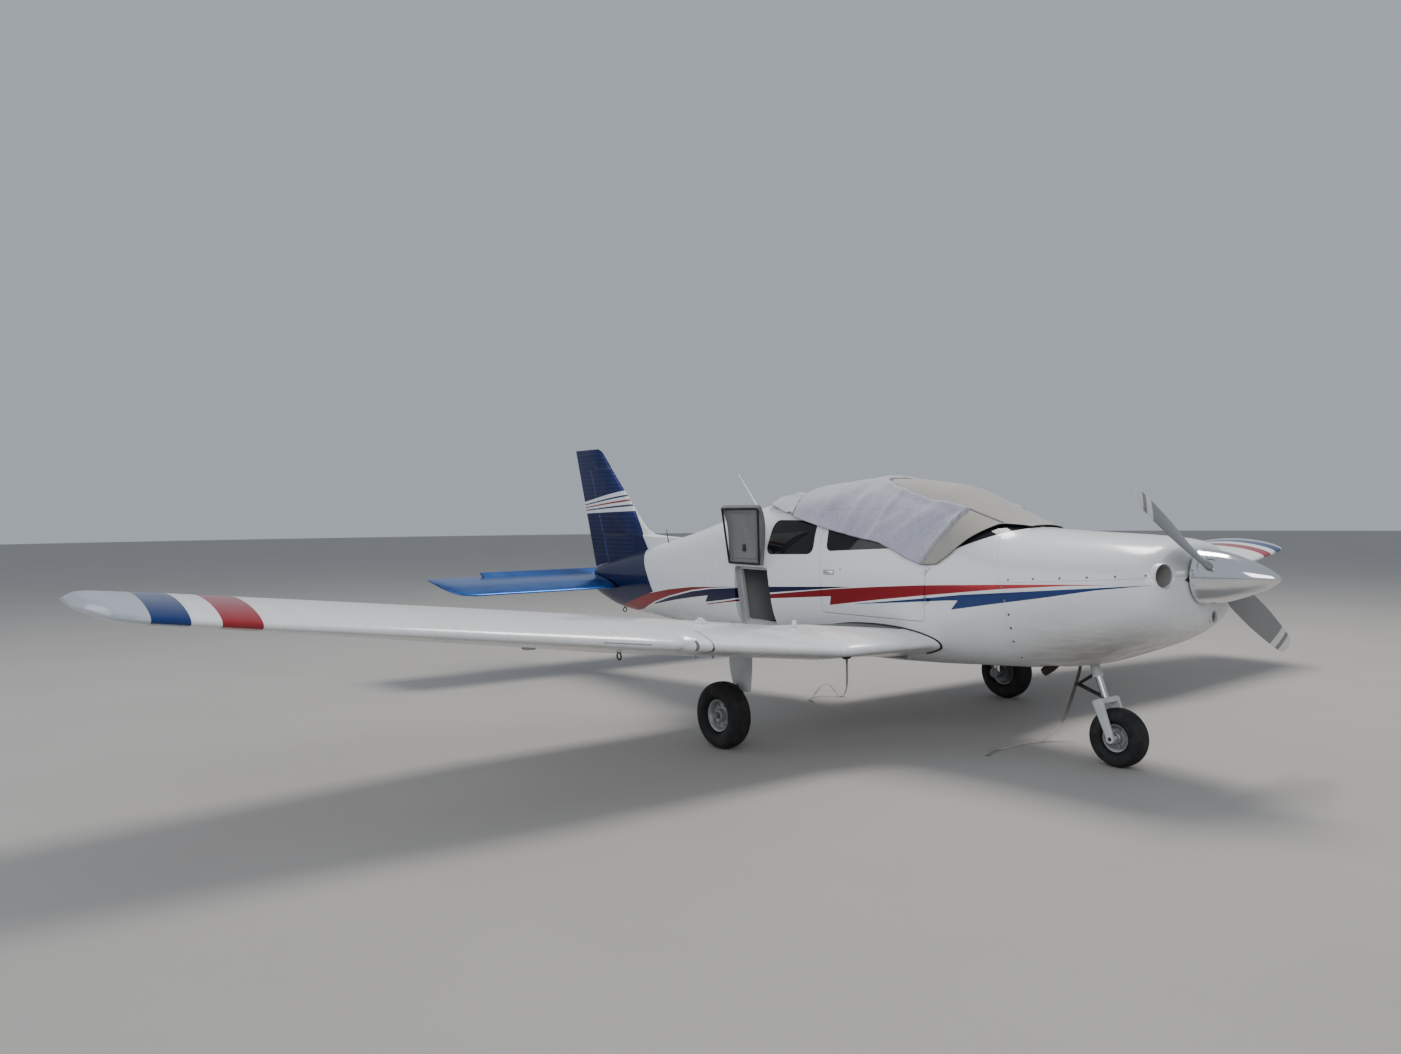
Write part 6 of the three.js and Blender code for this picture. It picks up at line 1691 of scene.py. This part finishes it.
# Columns: height, station, width along, depth across
LEG = [(0.372, 2.888, 0.165, 0.060), (0.400, 2.892, 0.180, 0.061), (0.560, 2.905, 0.236, 0.062),
       (0.690, 2.905, 0.236, 0.062)]
LEG_Y, LEG_STATION, MAIN_AXLE = 1.385, 2.905, Vector((at(2.92), 0, 0.2225))
# Bars on the right or left axle: reach along y from the leg at each end, radius, sides
AXLE_STEPS = [(-0.03, 0.050, 0.041, 36), (0.0, 0.213, 0.0196, 32), (0.197, 0.214, 0.0235, 6),
              (0.050, 0.058, 0.078, 48)]
TORQUE_LINKS = [(2.905, 0.372), (2.99, 0.315), (2.925, 0.236)]
HOSE = [(2.90, 0.036, 0.42), (2.86, 0.046, 0.375), (2.83, 0.06, 0.335), (2.85, 0.062, 0.305)]
for name, side in SIDES:
    y = side * LEG_Y

    def leg_place(z, share, y=y):
        _, station, width, depth = smooth_row(LEG, z)
        along, across = cos(tau * share), sin(tau * share)
        across *= 1 - 0.35 * max(0, -along) ** 2
        return Vector((at(station) + width / 2 * along, y + depth / 2 * across, z))

    leg = laid((0.372, 0.376, *np.linspace(0.39, 0.69, 16)), 64, leg_place)
    fitted(leg, f"{name}_leg_fairing", "airframe", gear_white, "white_paint", [f"{name}_gear_leg"], 50)
    built(f"{name}_piston", chrome, "gear_steel", [
        (Vector((at(LEG_STATION), y, 0.374)), Vector((at(LEG_STATION), y, 0.21)), 0.0262, None, 36)])
    foot = MAIN_AXLE + Vector((0, y, 0))
    links = [Vector((at(s), y, z)) for s, z in TORQUE_LINKS]
    caliper = y + side * 0.054
    built(f"{name}_axle_body", cast_grey, "gear_steel",
          [(foot + Vector((0, side * a, 0)), foot + Vector((0, side * b, 0)), radius, None, sides)
           for a, b, radius, sides in AXLE_STEPS] + [(a, b, 0.009) for a, b in zip(links, links[1:])],
          [((at(2.995), y - 0.018, 0.305), (at(2.975), y + 0.018, 0.325), 0.004),
           ((at(2.905), caliper - 0.024, 0.262), (at(2.845), caliper + 0.024, 0.312), 0.006)],
          stands_for=[f"{name}_axle"])
    hose = rounded_route([Vector((at(s), y + side * d, z)) for s, d, z in HOSE], 0.01)
    fitted(rod(hose, 0.0035), f"{name}_brake_hose", "airframe", gasket_rubber, "aerial_black")

# Nose gear: the oleo tube in its collar, a chromed piston, a cast fork over the wheel and scissor links.
STRUT_TOP, STRUT_LEAN = Vector((at(1.136), 0, 0.640)), radians(20)
NOSE_AXLE = Vector((at(0.962), 0, 0.180))


def strut_point(down, y=0.0, ahead=0.0):
    c, s = cos(STRUT_LEAN), sin(STRUT_LEAN)
    return STRUT_TOP + Vector((down * s + ahead * c, y, -down * c + ahead * s))


def strut_bar(start, end, radius, other=None, sides=40):
    return strut_point(start), strut_point(end), radius, other, sides


ARM_Y, ARM_HALF, LINK_KNEE = 0.089, 0.0115, Vector((at(1.240), 0, 0.474))
brace = (strut_point(-0.150), Vector((at(1.440), 0, 0.700)), 0.0215)
built("nose_strut_collar", cast_grey, "gear_steel", stands_for=["nose_strut_mount"], bars=[
    strut_bar(-0.245, -0.02, 0.0475), brace,
    *(strut_bar(down - 0.007, down + 0.007, 0.052) for down in (-0.06, -0.03))])
built("nose_oleo_tube", gear_white, "gear_steel", body="steered_fork", bars=[
    strut_bar(-0.24, 0.105, 0.0295), strut_bar(0.088, 0.110, 0.034)])
built("nose_piston", chrome, "gear_steel", [strut_bar(0.100, 0.262, 0.0216)], body="steered_fork")
fork, forks, links = bmesh.new(), [], []
block(fork, (-0.031, -0.100, -0.024), (0.031, 0.100, 0.014), 0.010,
      Matrix.Translation(strut_point(0.258)) @ Matrix.Rotation(-STRUT_LEAN, 4, "Y"), 4)
for side in (-1, 1):
    arm, link = Vector((0, side * ARM_Y, 0)), Vector((0, side * 0.012, 0))

    def arm_place(t, share, arm=arm):
        middle = (strut_point(0.252) + arm).lerp(NOSE_AXLE + arm, t)
        c, s = cos(tau * share), sin(tau * share)
        along = copysign(abs(c) ** 0.5, c) * (0.036 - 0.012 * t)
        across = copysign(abs(s) ** 0.5, s) * (ARM_HALF + 0.001 * sin(pi * t))
        return middle + strut_point(0, across, along) - STRUT_TOP

    merged(laid(np.linspace(0, 1, 12), 40, arm_place), fork)
    reach = Vector((0, ARM_HALF, 0))
    forks.append((NOSE_AXLE + arm - reach, NOSE_AXLE + arm + reach, 0.0255, None, 36))
    cap = [NOSE_AXLE + arm + Vector((0, side * out, 0)) for out in (0.011, 0.0125)]
    links.append((*cap, 0.0125))
    knee = LINK_KNEE + link
    links += [(strut_point(0.085) + link, knee, 0.0085, 0.007, 16),
              (knee, strut_point(0.245) + link, 0.0085, 0.007, 16)]
across = Vector((0, 0.022, 0))
links += [(pin - across, pin + across, 0.0105) for pin in (strut_point(0.085), LINK_KNEE, strut_point(0.245))]
axle = Vector((0, 0.100, 0))
forks.append((NOSE_AXLE - axle, NOSE_AXLE + axle, 0.0138))
built("nose_scissor_links", metal("dark_forging", (0.055, 0.055, 0.06, 1), 0.5, 0.7, 0.8), "gear_steel",
      links,
      body="steered_fork")
built("nose_fork_casting", gear_white, "gear_steel", forks, body="steered_fork", stands_for=["nose_fork"],
      shape=fork)

# Propeller: two forged aluminium blades, grey with white tip bands, under a polished spinner.
# Columns: radius, chord, thickness, pitch in degrees
BLADES = [
    (0.055, 0.070, 0.062, 60), (0.150, 0.088, 0.052, 50), (0.300, 0.142, 0.026, 38),
    (0.520, 0.150, 0.017, 28),
    (0.760, 0.134, 0.011, 21), (0.900, 0.113, 0.0085, 18), (0.940, 0.098, 0.0075, 17),
    (0.958, 0.072, 0.0065, 16),
    (0.965, 0.040, 0.004, 16),
]
DISC, BLADE_TURN = Vector((at(0.345), 0, 1.188)), radians(61)


def blade_place(radius, share):
    _, chord, thick, pitch = smooth_row(BLADES, radius)
    t, above = (1 + cos(tau * share)) / 2, 1 if share < 0.5 else -0.72
    foil = 2.598 * sqrt(t) * (1 - t)
    ring = 2 * sqrt(t * (1 - t))
    blend = min(1, max(0, (radius - 0.10) / 0.14))
    u = (t - 0.5) * chord
    v = above * thick / 2 * (foil * blend + ring * (1 - blend) * (1.2 if above < 0 else 1))
    c, s = cos(radians(pitch)), sin(radians(pitch))
    return Vector((-u * s + v * c, u * c + v * s, radius))


TIP_BAND, INNER_BAND = 0.893, (0.79, 0.853)


def blade_paint(name):
    finish = Finish(name, Specular_IOR_Level=0.5)
    point, _, y, z = finish.places()
    out = (y ** 2 + (z - DISC.z) ** 2) ** 0.5
    worn = finish.grain(point, 16.0, 6.0, 0.65)
    fine = finish.grain(point, 260.0, 3.0, 0.6)
    color = finish.mix(worn, (0.20, 0.21, 0.22, 1), (0.27, 0.28, 0.29, 1))
    bands = (out > TIP_BAND) | (out > INNER_BAND[0]) & (out < INNER_BAND[1])
    color = finish.mix(bands, color, (0.72, 0.72, 0.70, 1))
    color = finish.mix((worn.soft_step(0.58, 0.8) * fine.soft_step(0.4, 0.7)) * 0.5, color,
                       (0.09, 0.09, 0.09, 1))
    return finish.coat(Base_Color=color, Metallic=0.25, Roughness=worn * 0.3 + 0.25,
                       Normal=finish.bump(fine, 0.08, 0.0008))


def turned(shape, angle, axis="X"):
    bmesh.ops.rotate(shape, verts=shape.verts, cent=(0, 0, 0), matrix=Matrix.Rotation(angle, 3, axis))
    return shape


def on_shaft(shape, back=0.0):
    """Moves a shape made at the propeller's centre to its place on the shaft."""
    bmesh.ops.translate(shape, verts=shape.verts, vec=DISC - Vector((back, 0, 0)))
    return shape


SPINNER = [(0.0, 0.0), (0.003, 0.009), (0.010, 0.0165), (0.030, 0.033), (0.080, 0.062), (0.190, 0.109),
           (0.310, 0.144), (0.424, 0.160)]
DISC_BACK, SLOT, SCREWS, SCREW_RING = 0.345, (0.048, 0.042), 12, 0.1588
blades = bmesh.new()
bar(blades, Vector((-0.086, 0, 0)), Vector((0.045, 0, 0)), 0.0616, sides=48)
radii = (*np.linspace(0.055, 0.94, 60), 0.948, 0.954, 0.958, 0.962, 0.965)
for turn in (0, pi):
    merged(turned(laid(radii, 48, blade_place), BLADE_TURN + turn), blades)
fitted(on_shaft(blades), "propeller_blades", "propeller_group", blade_paint("blade_paint"), "blade_paint",
       ["propeller"], 35)


def spinner_place(back, share):
    radius = smooth_row(SPINNER, back)[1]
    return Vector((DISC_BACK - back, radius * sin(tau * share),
                   radius * cos(tau * share)))


stations = [0.0, 0.001, 0.0025, 0.005, 0.009, 0.015, 0.022, *np.linspace(0.03, 0.424, 44)]
spinner = laid_up([float(s) for s in stations], 96, spinner_place)
bmesh.ops.remove_doubles(spinner, verts=spinner.verts, dist=1e-6)
a, b = SLOT
slot = cornered([(a, b), (a, -b), (-a, -b), (-a, b)], 0.032)
filler = bmesh.new()
for above in (-1, 1):
    opening = cut_along(spinner, slot, (0, 1), lambda c, above=above: c.z * above > 0.05)
    spinner.faces.index_update()
    wanted = {f.index for f in opening}
    lid = spinner.copy()
    keep(lid, [f for f in lid.faces if f.index in wanted])
    merged(lid, filler)
    drop(spinner, opening)
for v in filler.verts:
    v.co *= Vector((1, 0.965, 0.965))
polished = metal("polished_spinner", (0.80, 0.81, 0.82, 1), 0.08, 1.0, 0.12)
for shape, name, nodes, depth, rounding in ((spinner, "spinner_shell", ["spinner"], 0.004, 0.0008),
                                            (filler, "spinner_fillers", (), 0.002, 0.0004)):
    bmesh.ops.recalc_face_normals(shape, faces=shape.faces)
    if sum(f.normal.dot(f.calc_center_median() + Vector((0.1, 0, 0))) for f in shape.faces) < 0:
        bmesh.ops.reverse_faces(shape, faces=shape.faces)
    shell = on_shaft(turned(shape, BLADE_TURN))
    walled(fitted(shell, name, "propeller_group", polished, "spinner_metal", nodes), depth, rounding)
plate = lathed([(0.0624, -0.0025), (0.1596, -0.0025), (0.1596, 0.0025), (0.0624, 0.0025)], Vector((0, 0, 0)))
fitted(on_shaft(turned(plate, pi / 2, "Z"), 0.4269 - DISC_BACK), "spinner_plate", "propeller_group",
       steel,
       "gear_steel", ["spinner_backplate"])
screws = []
for k in range(SCREWS):
    turn = tau * (k + 0.5) / SCREWS + BLADE_TURN
    out = Vector((0, -sin(turn), cos(turn)))
    spot = DISC + Vector((DISC_BACK - 0.412, 0, 0)) + out * SCREW_RING
    screws.append((spot - out * 0.004, spot + out * 0.0022, 0.0055, 0.0045, 16))
built("spinner_screws", steel, "gear_steel", screws, body="propeller_group")

# Baggage bay: painted jambs round the opening, a carpeted floor and pale quilted walls behind them.
def bay_trim(name, tone, other, scale):
    finish = Finish(name, Roughness=0.8, Specular_IOR_Level=0.3)
    point, *_ = finish.places()
    worn = finish.grain(point, 6.0, 5.0, 0.65)
    nap = finish.grain(point, scale, 3.0, 0.7)
    return finish.coat(Base_Color=finish.mix(worn * nap.soft_step(0.2, 0.7), tone, other),
                       Normal=finish.bump(nap, 0.4, 0.002))


# Rings of the jamb, from the skin inwards: depth, and how far in from the opening's edge
JAMB = [(0.003, 0.0015), (0.048, 0.0015), (0.054, 0.0155), (0.080, 0.0155)]
rings = [skin_loop(inset(baggage_door, edge), -1, -depth) for depth, edge in JAMB]
jamb = laid_up(rings, len(baggage_door), lambda ring, share: ring[round(share * len(ring)) % len(ring)])
bmesh.ops.remove_doubles(jamb, verts=jamb.verts, dist=WELD)
jamb_grey = painted_pan("jamb_grey", (0.52, 0.53, 0.54, 1), (0.36, 0.37, 0.38, 1))
walled(fitted(jamb, "baggage_jamb", "airframe", jamb_grey, "cabin_trim"), 0.0025, 0.0006)
for name, finish, tone, other, scale, blocks in (
        ("baggage_floor", "bay_carpet", (0.06, 0.062, 0.066, 1), (0.12, 0.12, 0.125, 1), 400,
         [((at(4.185), -0.44, 0.640), (at(3.50), 0.44, 0.652), 0.004)]),
        ("baggage_walls", "bay_walls", (0.62, 0.63, 0.64, 1), (0.42, 0.425, 0.43, 1), 120,
         [((at(4.190), -0.43, 0.655), (at(4.176), 0.43, 1.45), 0.004),
          ((at(4.17), 0.425, 0.655), (at(3.60), 0.437, 1.10), 0.004)])):
    built(name, bay_trim(finish, tone, other, scale), "cabin_trim", blocks=blocks)

# Cabin cover: a quilted cloth sheet laid over the windscreen and the roof, sewn of a thin beige canvas in
# front and a thick lavender-grey quilt behind. One corner hangs over the cabin door and goes with it.
# Low edges: station and height, on the right and on the left
EDGE_RIGHT = [
    (1.482, 1.457), (1.530, 1.466), (1.600, 1.475), (1.627, 1.474), (1.658, 1.446), (1.737, 1.383),
    (1.790, 1.330), (1.837, 1.283), (1.918, 1.224), (1.980, 1.219), (2.031, 1.214), (2.170, 1.256),
    (2.279, 1.299), (2.425, 1.351), (2.591, 1.375), (2.960, 1.437), (3.140, 1.473), (3.415, 1.523),
    (3.440, 1.548), (3.560, 1.560), (3.680, 1.585), (3.780, 1.600), (3.880, 1.615), (3.930, 1.628)]
EDGE_LEFT = [
    (1.482, 1.457), (1.530, 1.440), (1.580, 1.422), (1.660, 1.400), (1.760, 1.350), (1.840, 1.290),
    (1.980, 1.240), (2.060, 1.260), (2.180, 1.350), (2.591, 1.400), (2.960, 1.445), (3.140, 1.478),
    (3.415, 1.530), (3.560, 1.580), (3.664, 1.626), (3.780, 1.628), (3.880, 1.630), (3.930, 1.634)]
SEAM_FOOT, SEAM_RISE = (1.878, 1.575), 0.2583
HEM_FOOT, HEM_RUN = (3.415, 1.523), 0.253
FOLD_EDGE = [(1.214, 2.034), (1.314, 1.970), (1.437, 1.895), (1.558, 1.861)]
CANVAS_LIFT = 0.0115


def seam_height(station):
    return SEAM_FOOT[1] + (station - SEAM_FOOT[0]) * SEAM_RISE


def into_quilt(station, z):
    """How far a point lies inside the quilted part: over 0 inside, in metres."""
    fold = np.interp(z, [p[0] for p in FOLD_EDGE], [p[1] for p in FOLD_EDGE])
    return min(seam_height(station) - z, station - fold)


def step_up(value, low, high):
    share = min(1, max(0, (value - low) / (high - low)))
    return share * share * (3 - 2 * share)


def cover_lift(p):
    """How far the cover stands off the skin: its own thickness, its folds and the bunched roll aft."""
    station, y, z = NOSE_TIP - p.x, p.y, p.z
    inside_quilt = into_quilt(station, z)
    quilt = step_up(inside_quilt, -0.003, 0.010)
    broad = noise.noise(Vector((station * 2.3, y * 2.3, z * 2.3)))
    slanted = noise.noise(Vector(((station * 0.8 + z) * 7.0, y * 2.0, (z - station) * 1.4)))
    upright_fold = noise.noise(Vector((station * 9.0 + z * 2.5, y * 1.5, z * 1.2 + 7)))
    aft_of_screen = step_up(station, 2.0, 2.5)
    lift = CANVAS_LIFT + 0.004 * (broad + 1) + 0.003 * max(0, slanted) + 0.001
    lift += quilt * (0.010 + 0.011 * exp(-((inside_quilt - 0.012) / 0.022) ** 2))
    lift += quilt * (0.021 * max(0, slanted + 0.1) + 0.026 * max(0, upright_fold) * aft_of_screen)
    hem = HEM_FOOT[0] + (z - HEM_FOOT[1]) * HEM_RUN - station
    puff = step_up(z, 1.50, 1.68) * exp(-((station - 3.25) / 0.30) ** 2)
    lift += step_up(hem, -0.006, 0.006) * (0.024 * puff + 0.010 * step_up(station, 3, 3.3))
    if hem < 0.006:
        lumps = noise.noise(Vector((station * 8, y * 5, z * 9))) + 0.6 * noise.noise(
            Vector((station * 17, y * 11, z * 19 + 3)))
        tail_off = 1 - step_up(station, 3.84, 3.93)
        lift += (0.014 + 0.055 * max(0, lumps + 0.25)) * tail_off * step_up(-hem, -0.006, 0.05)
        lift -= 0.008 * (1 - tail_off)
        lift *= 1 - 0.45 * step_up(-hem, -0.006, 0.02)
    return lift


def cover_girth(station):
    """The upper half of the fuselage's section there, as y, z and run, and the cover's two ends on it."""
    _, top, _, half, waist, upper, _ = smooth_row(FRAMES, station)
    turn = np.linspace(0, pi, 361)
    c, s = np.cos(turn), np.clip(np.sin(turn), 0, 1)
    ys = half * np.sign(c) * np.abs(c) ** (2 / upper)
    zs = waist + (top - waist) * s ** (2 / upper)
    run = np.concatenate([[0], np.cumsum(np.hypot(np.diff(ys), np.diff(zs)))])
    lows = [np.interp(station, [p[0] for p in e], [p[1] for p in e]) for e in (EDGE_LEFT, EDGE_RIGHT)]
    start = np.interp(min(lows[0], top - 0.001), zs[:181], run[:181])
    end = run[-1] - np.interp(min(lows[1], top - 0.001), zs[:181], run[:181])
    return station, ys, zs, run, start, end


def cover_cloth(name):
    """Canvas and quilt in their two tones, with dark bindings, stitching and stains, and painted shade along
    the seam where the quilt's raised edge steps up from the canvas.
    """
    finish = Finish(name, Roughness=0.86, Sheen_Weight=0.25, Specular_IOR_Level=0.22)
    point, *_ = finish.places()
    _, station, z = finish.weave_map()
    quilt = finish.node("Attribute", {"attribute_name": "quilted"}, {}, "Fac")
    hem = finish.node("Attribute", {"attribute_name": "hem"}, {}, "Fac")
    cloudy = finish.grain(point, 5.0, 6.0, 0.62)
    speckle = finish.grain(point, 95.0, 3.0, 0.75)
    thread = finish.grain(point, 620.0, 2.0, 0.7)
    canvas = finish.mix(cloudy, (0.30, 0.285, 0.255, 1), (0.41, 0.395, 0.365, 1))
    padding = finish.mix(cloudy.soft_step(0.3, 0.75), (0.335, 0.335, 0.425, 1), (0.46, 0.46, 0.545, 1))
    padding = finish.mix(speckle.soft_step(0.42, 0.62) * 0.5, padding, (0.58, 0.58, 0.64, 1))
    tone = finish.mix(quilt, canvas, padding)
    # The seam's dark line is painted shade, where the quilt's raised edge steps up from the canvas.
    behind = station - SEAM_FOOT[0]
    seam_shade_line = ((abs(z - SEAM_FOOT[1] - behind * SEAM_RISE) < 0.0035) & (behind > 0) & (station < 2.72)
                 | (abs(z - SEAM_FOOT[1] - behind * 0.37) < 0.0035) & (behind < 0) & (station > 1.62))
    bound = abs(station + 0.014 - HEM_FOOT[0] - (z - HEM_FOOT[1]) * HEM_RUN) < 0.008
    tone = finish.mix((seam_shade_line * 0.8 | bound * 0.92 | hem * 0.75) & 1, tone, (0.035, 0.033, 0.035, 1))
    cells = finish.node("TexVoronoi", {"feature": "SMOOTH_F1"}, {"Vector": point, "Scale": 55.0}, "Distance")
    stitched = quilt * cells * 0.7 + speckle * quilt * 0.5 + thread * 0.12
    return finish.coat(Base_Color=tone, Normal=finish.bump(stitched, 0.6, 0.004))


cloth = cover_cloth("cover_cloth")
stations = sorted({round(float(s), 5) for s in (*np.linspace(1.482, 3.93, 184), 2.031, 2.033, 3.415)})
rows = [cover_girth(s) for s in stations]


def cover_place(row, share):
    station, ys, zs, run, start, end = row
    where = start + (end - start) * share
    return Vector((at(station), float(np.interp(where, run, ys)), float(np.interp(where, run, zs))))


sheet = laid_up(rows, 150, cover_place, lambda row, share: (row[0], cover_place(row, share).z))
sheet.normal_update()
if sum(v.normal.z for v in sheet.verts) < 0:
    bmesh.ops.reverse_faces(sheet, faces=sheet.faces)
    sheet.normal_update()
quilted = sheet.verts.layers.float.new("quilted")
hemmed = sheet.verts.layers.float.new("hem")
for v in sheet.verts:
    v[quilted] = step_up(into_quilt(NOSE_TIP - v.co.x, v.co.z), -0.002, 0.006)
    v[hemmed] = 1.0 if v.is_boundary else 0.0
for v, lifted in [(v, v.co + v.normal * cover_lift(v.co)) for v in sheet.verts]:
    v.co = lifted
fixed, hanging = sheet, sheet.copy()
drop(fixed, cut_along(fixed, cabin_door, near=on_side(-1)))
keep(hanging, cut_along(hanging, inset(cabin_door, 0.0012), near=on_side(-1)))
cover = walled(fitted(fixed, "cover_sheet", "airframe", cloth, "cover_cloth", ["cover"], 60), 0.0035, 0.001)
corner = walled(fitted(hanging, "cover_corner", "door", cloth, "cover_cloth", ["cover_door_flap"], 60),
                0.0035, 0.001)
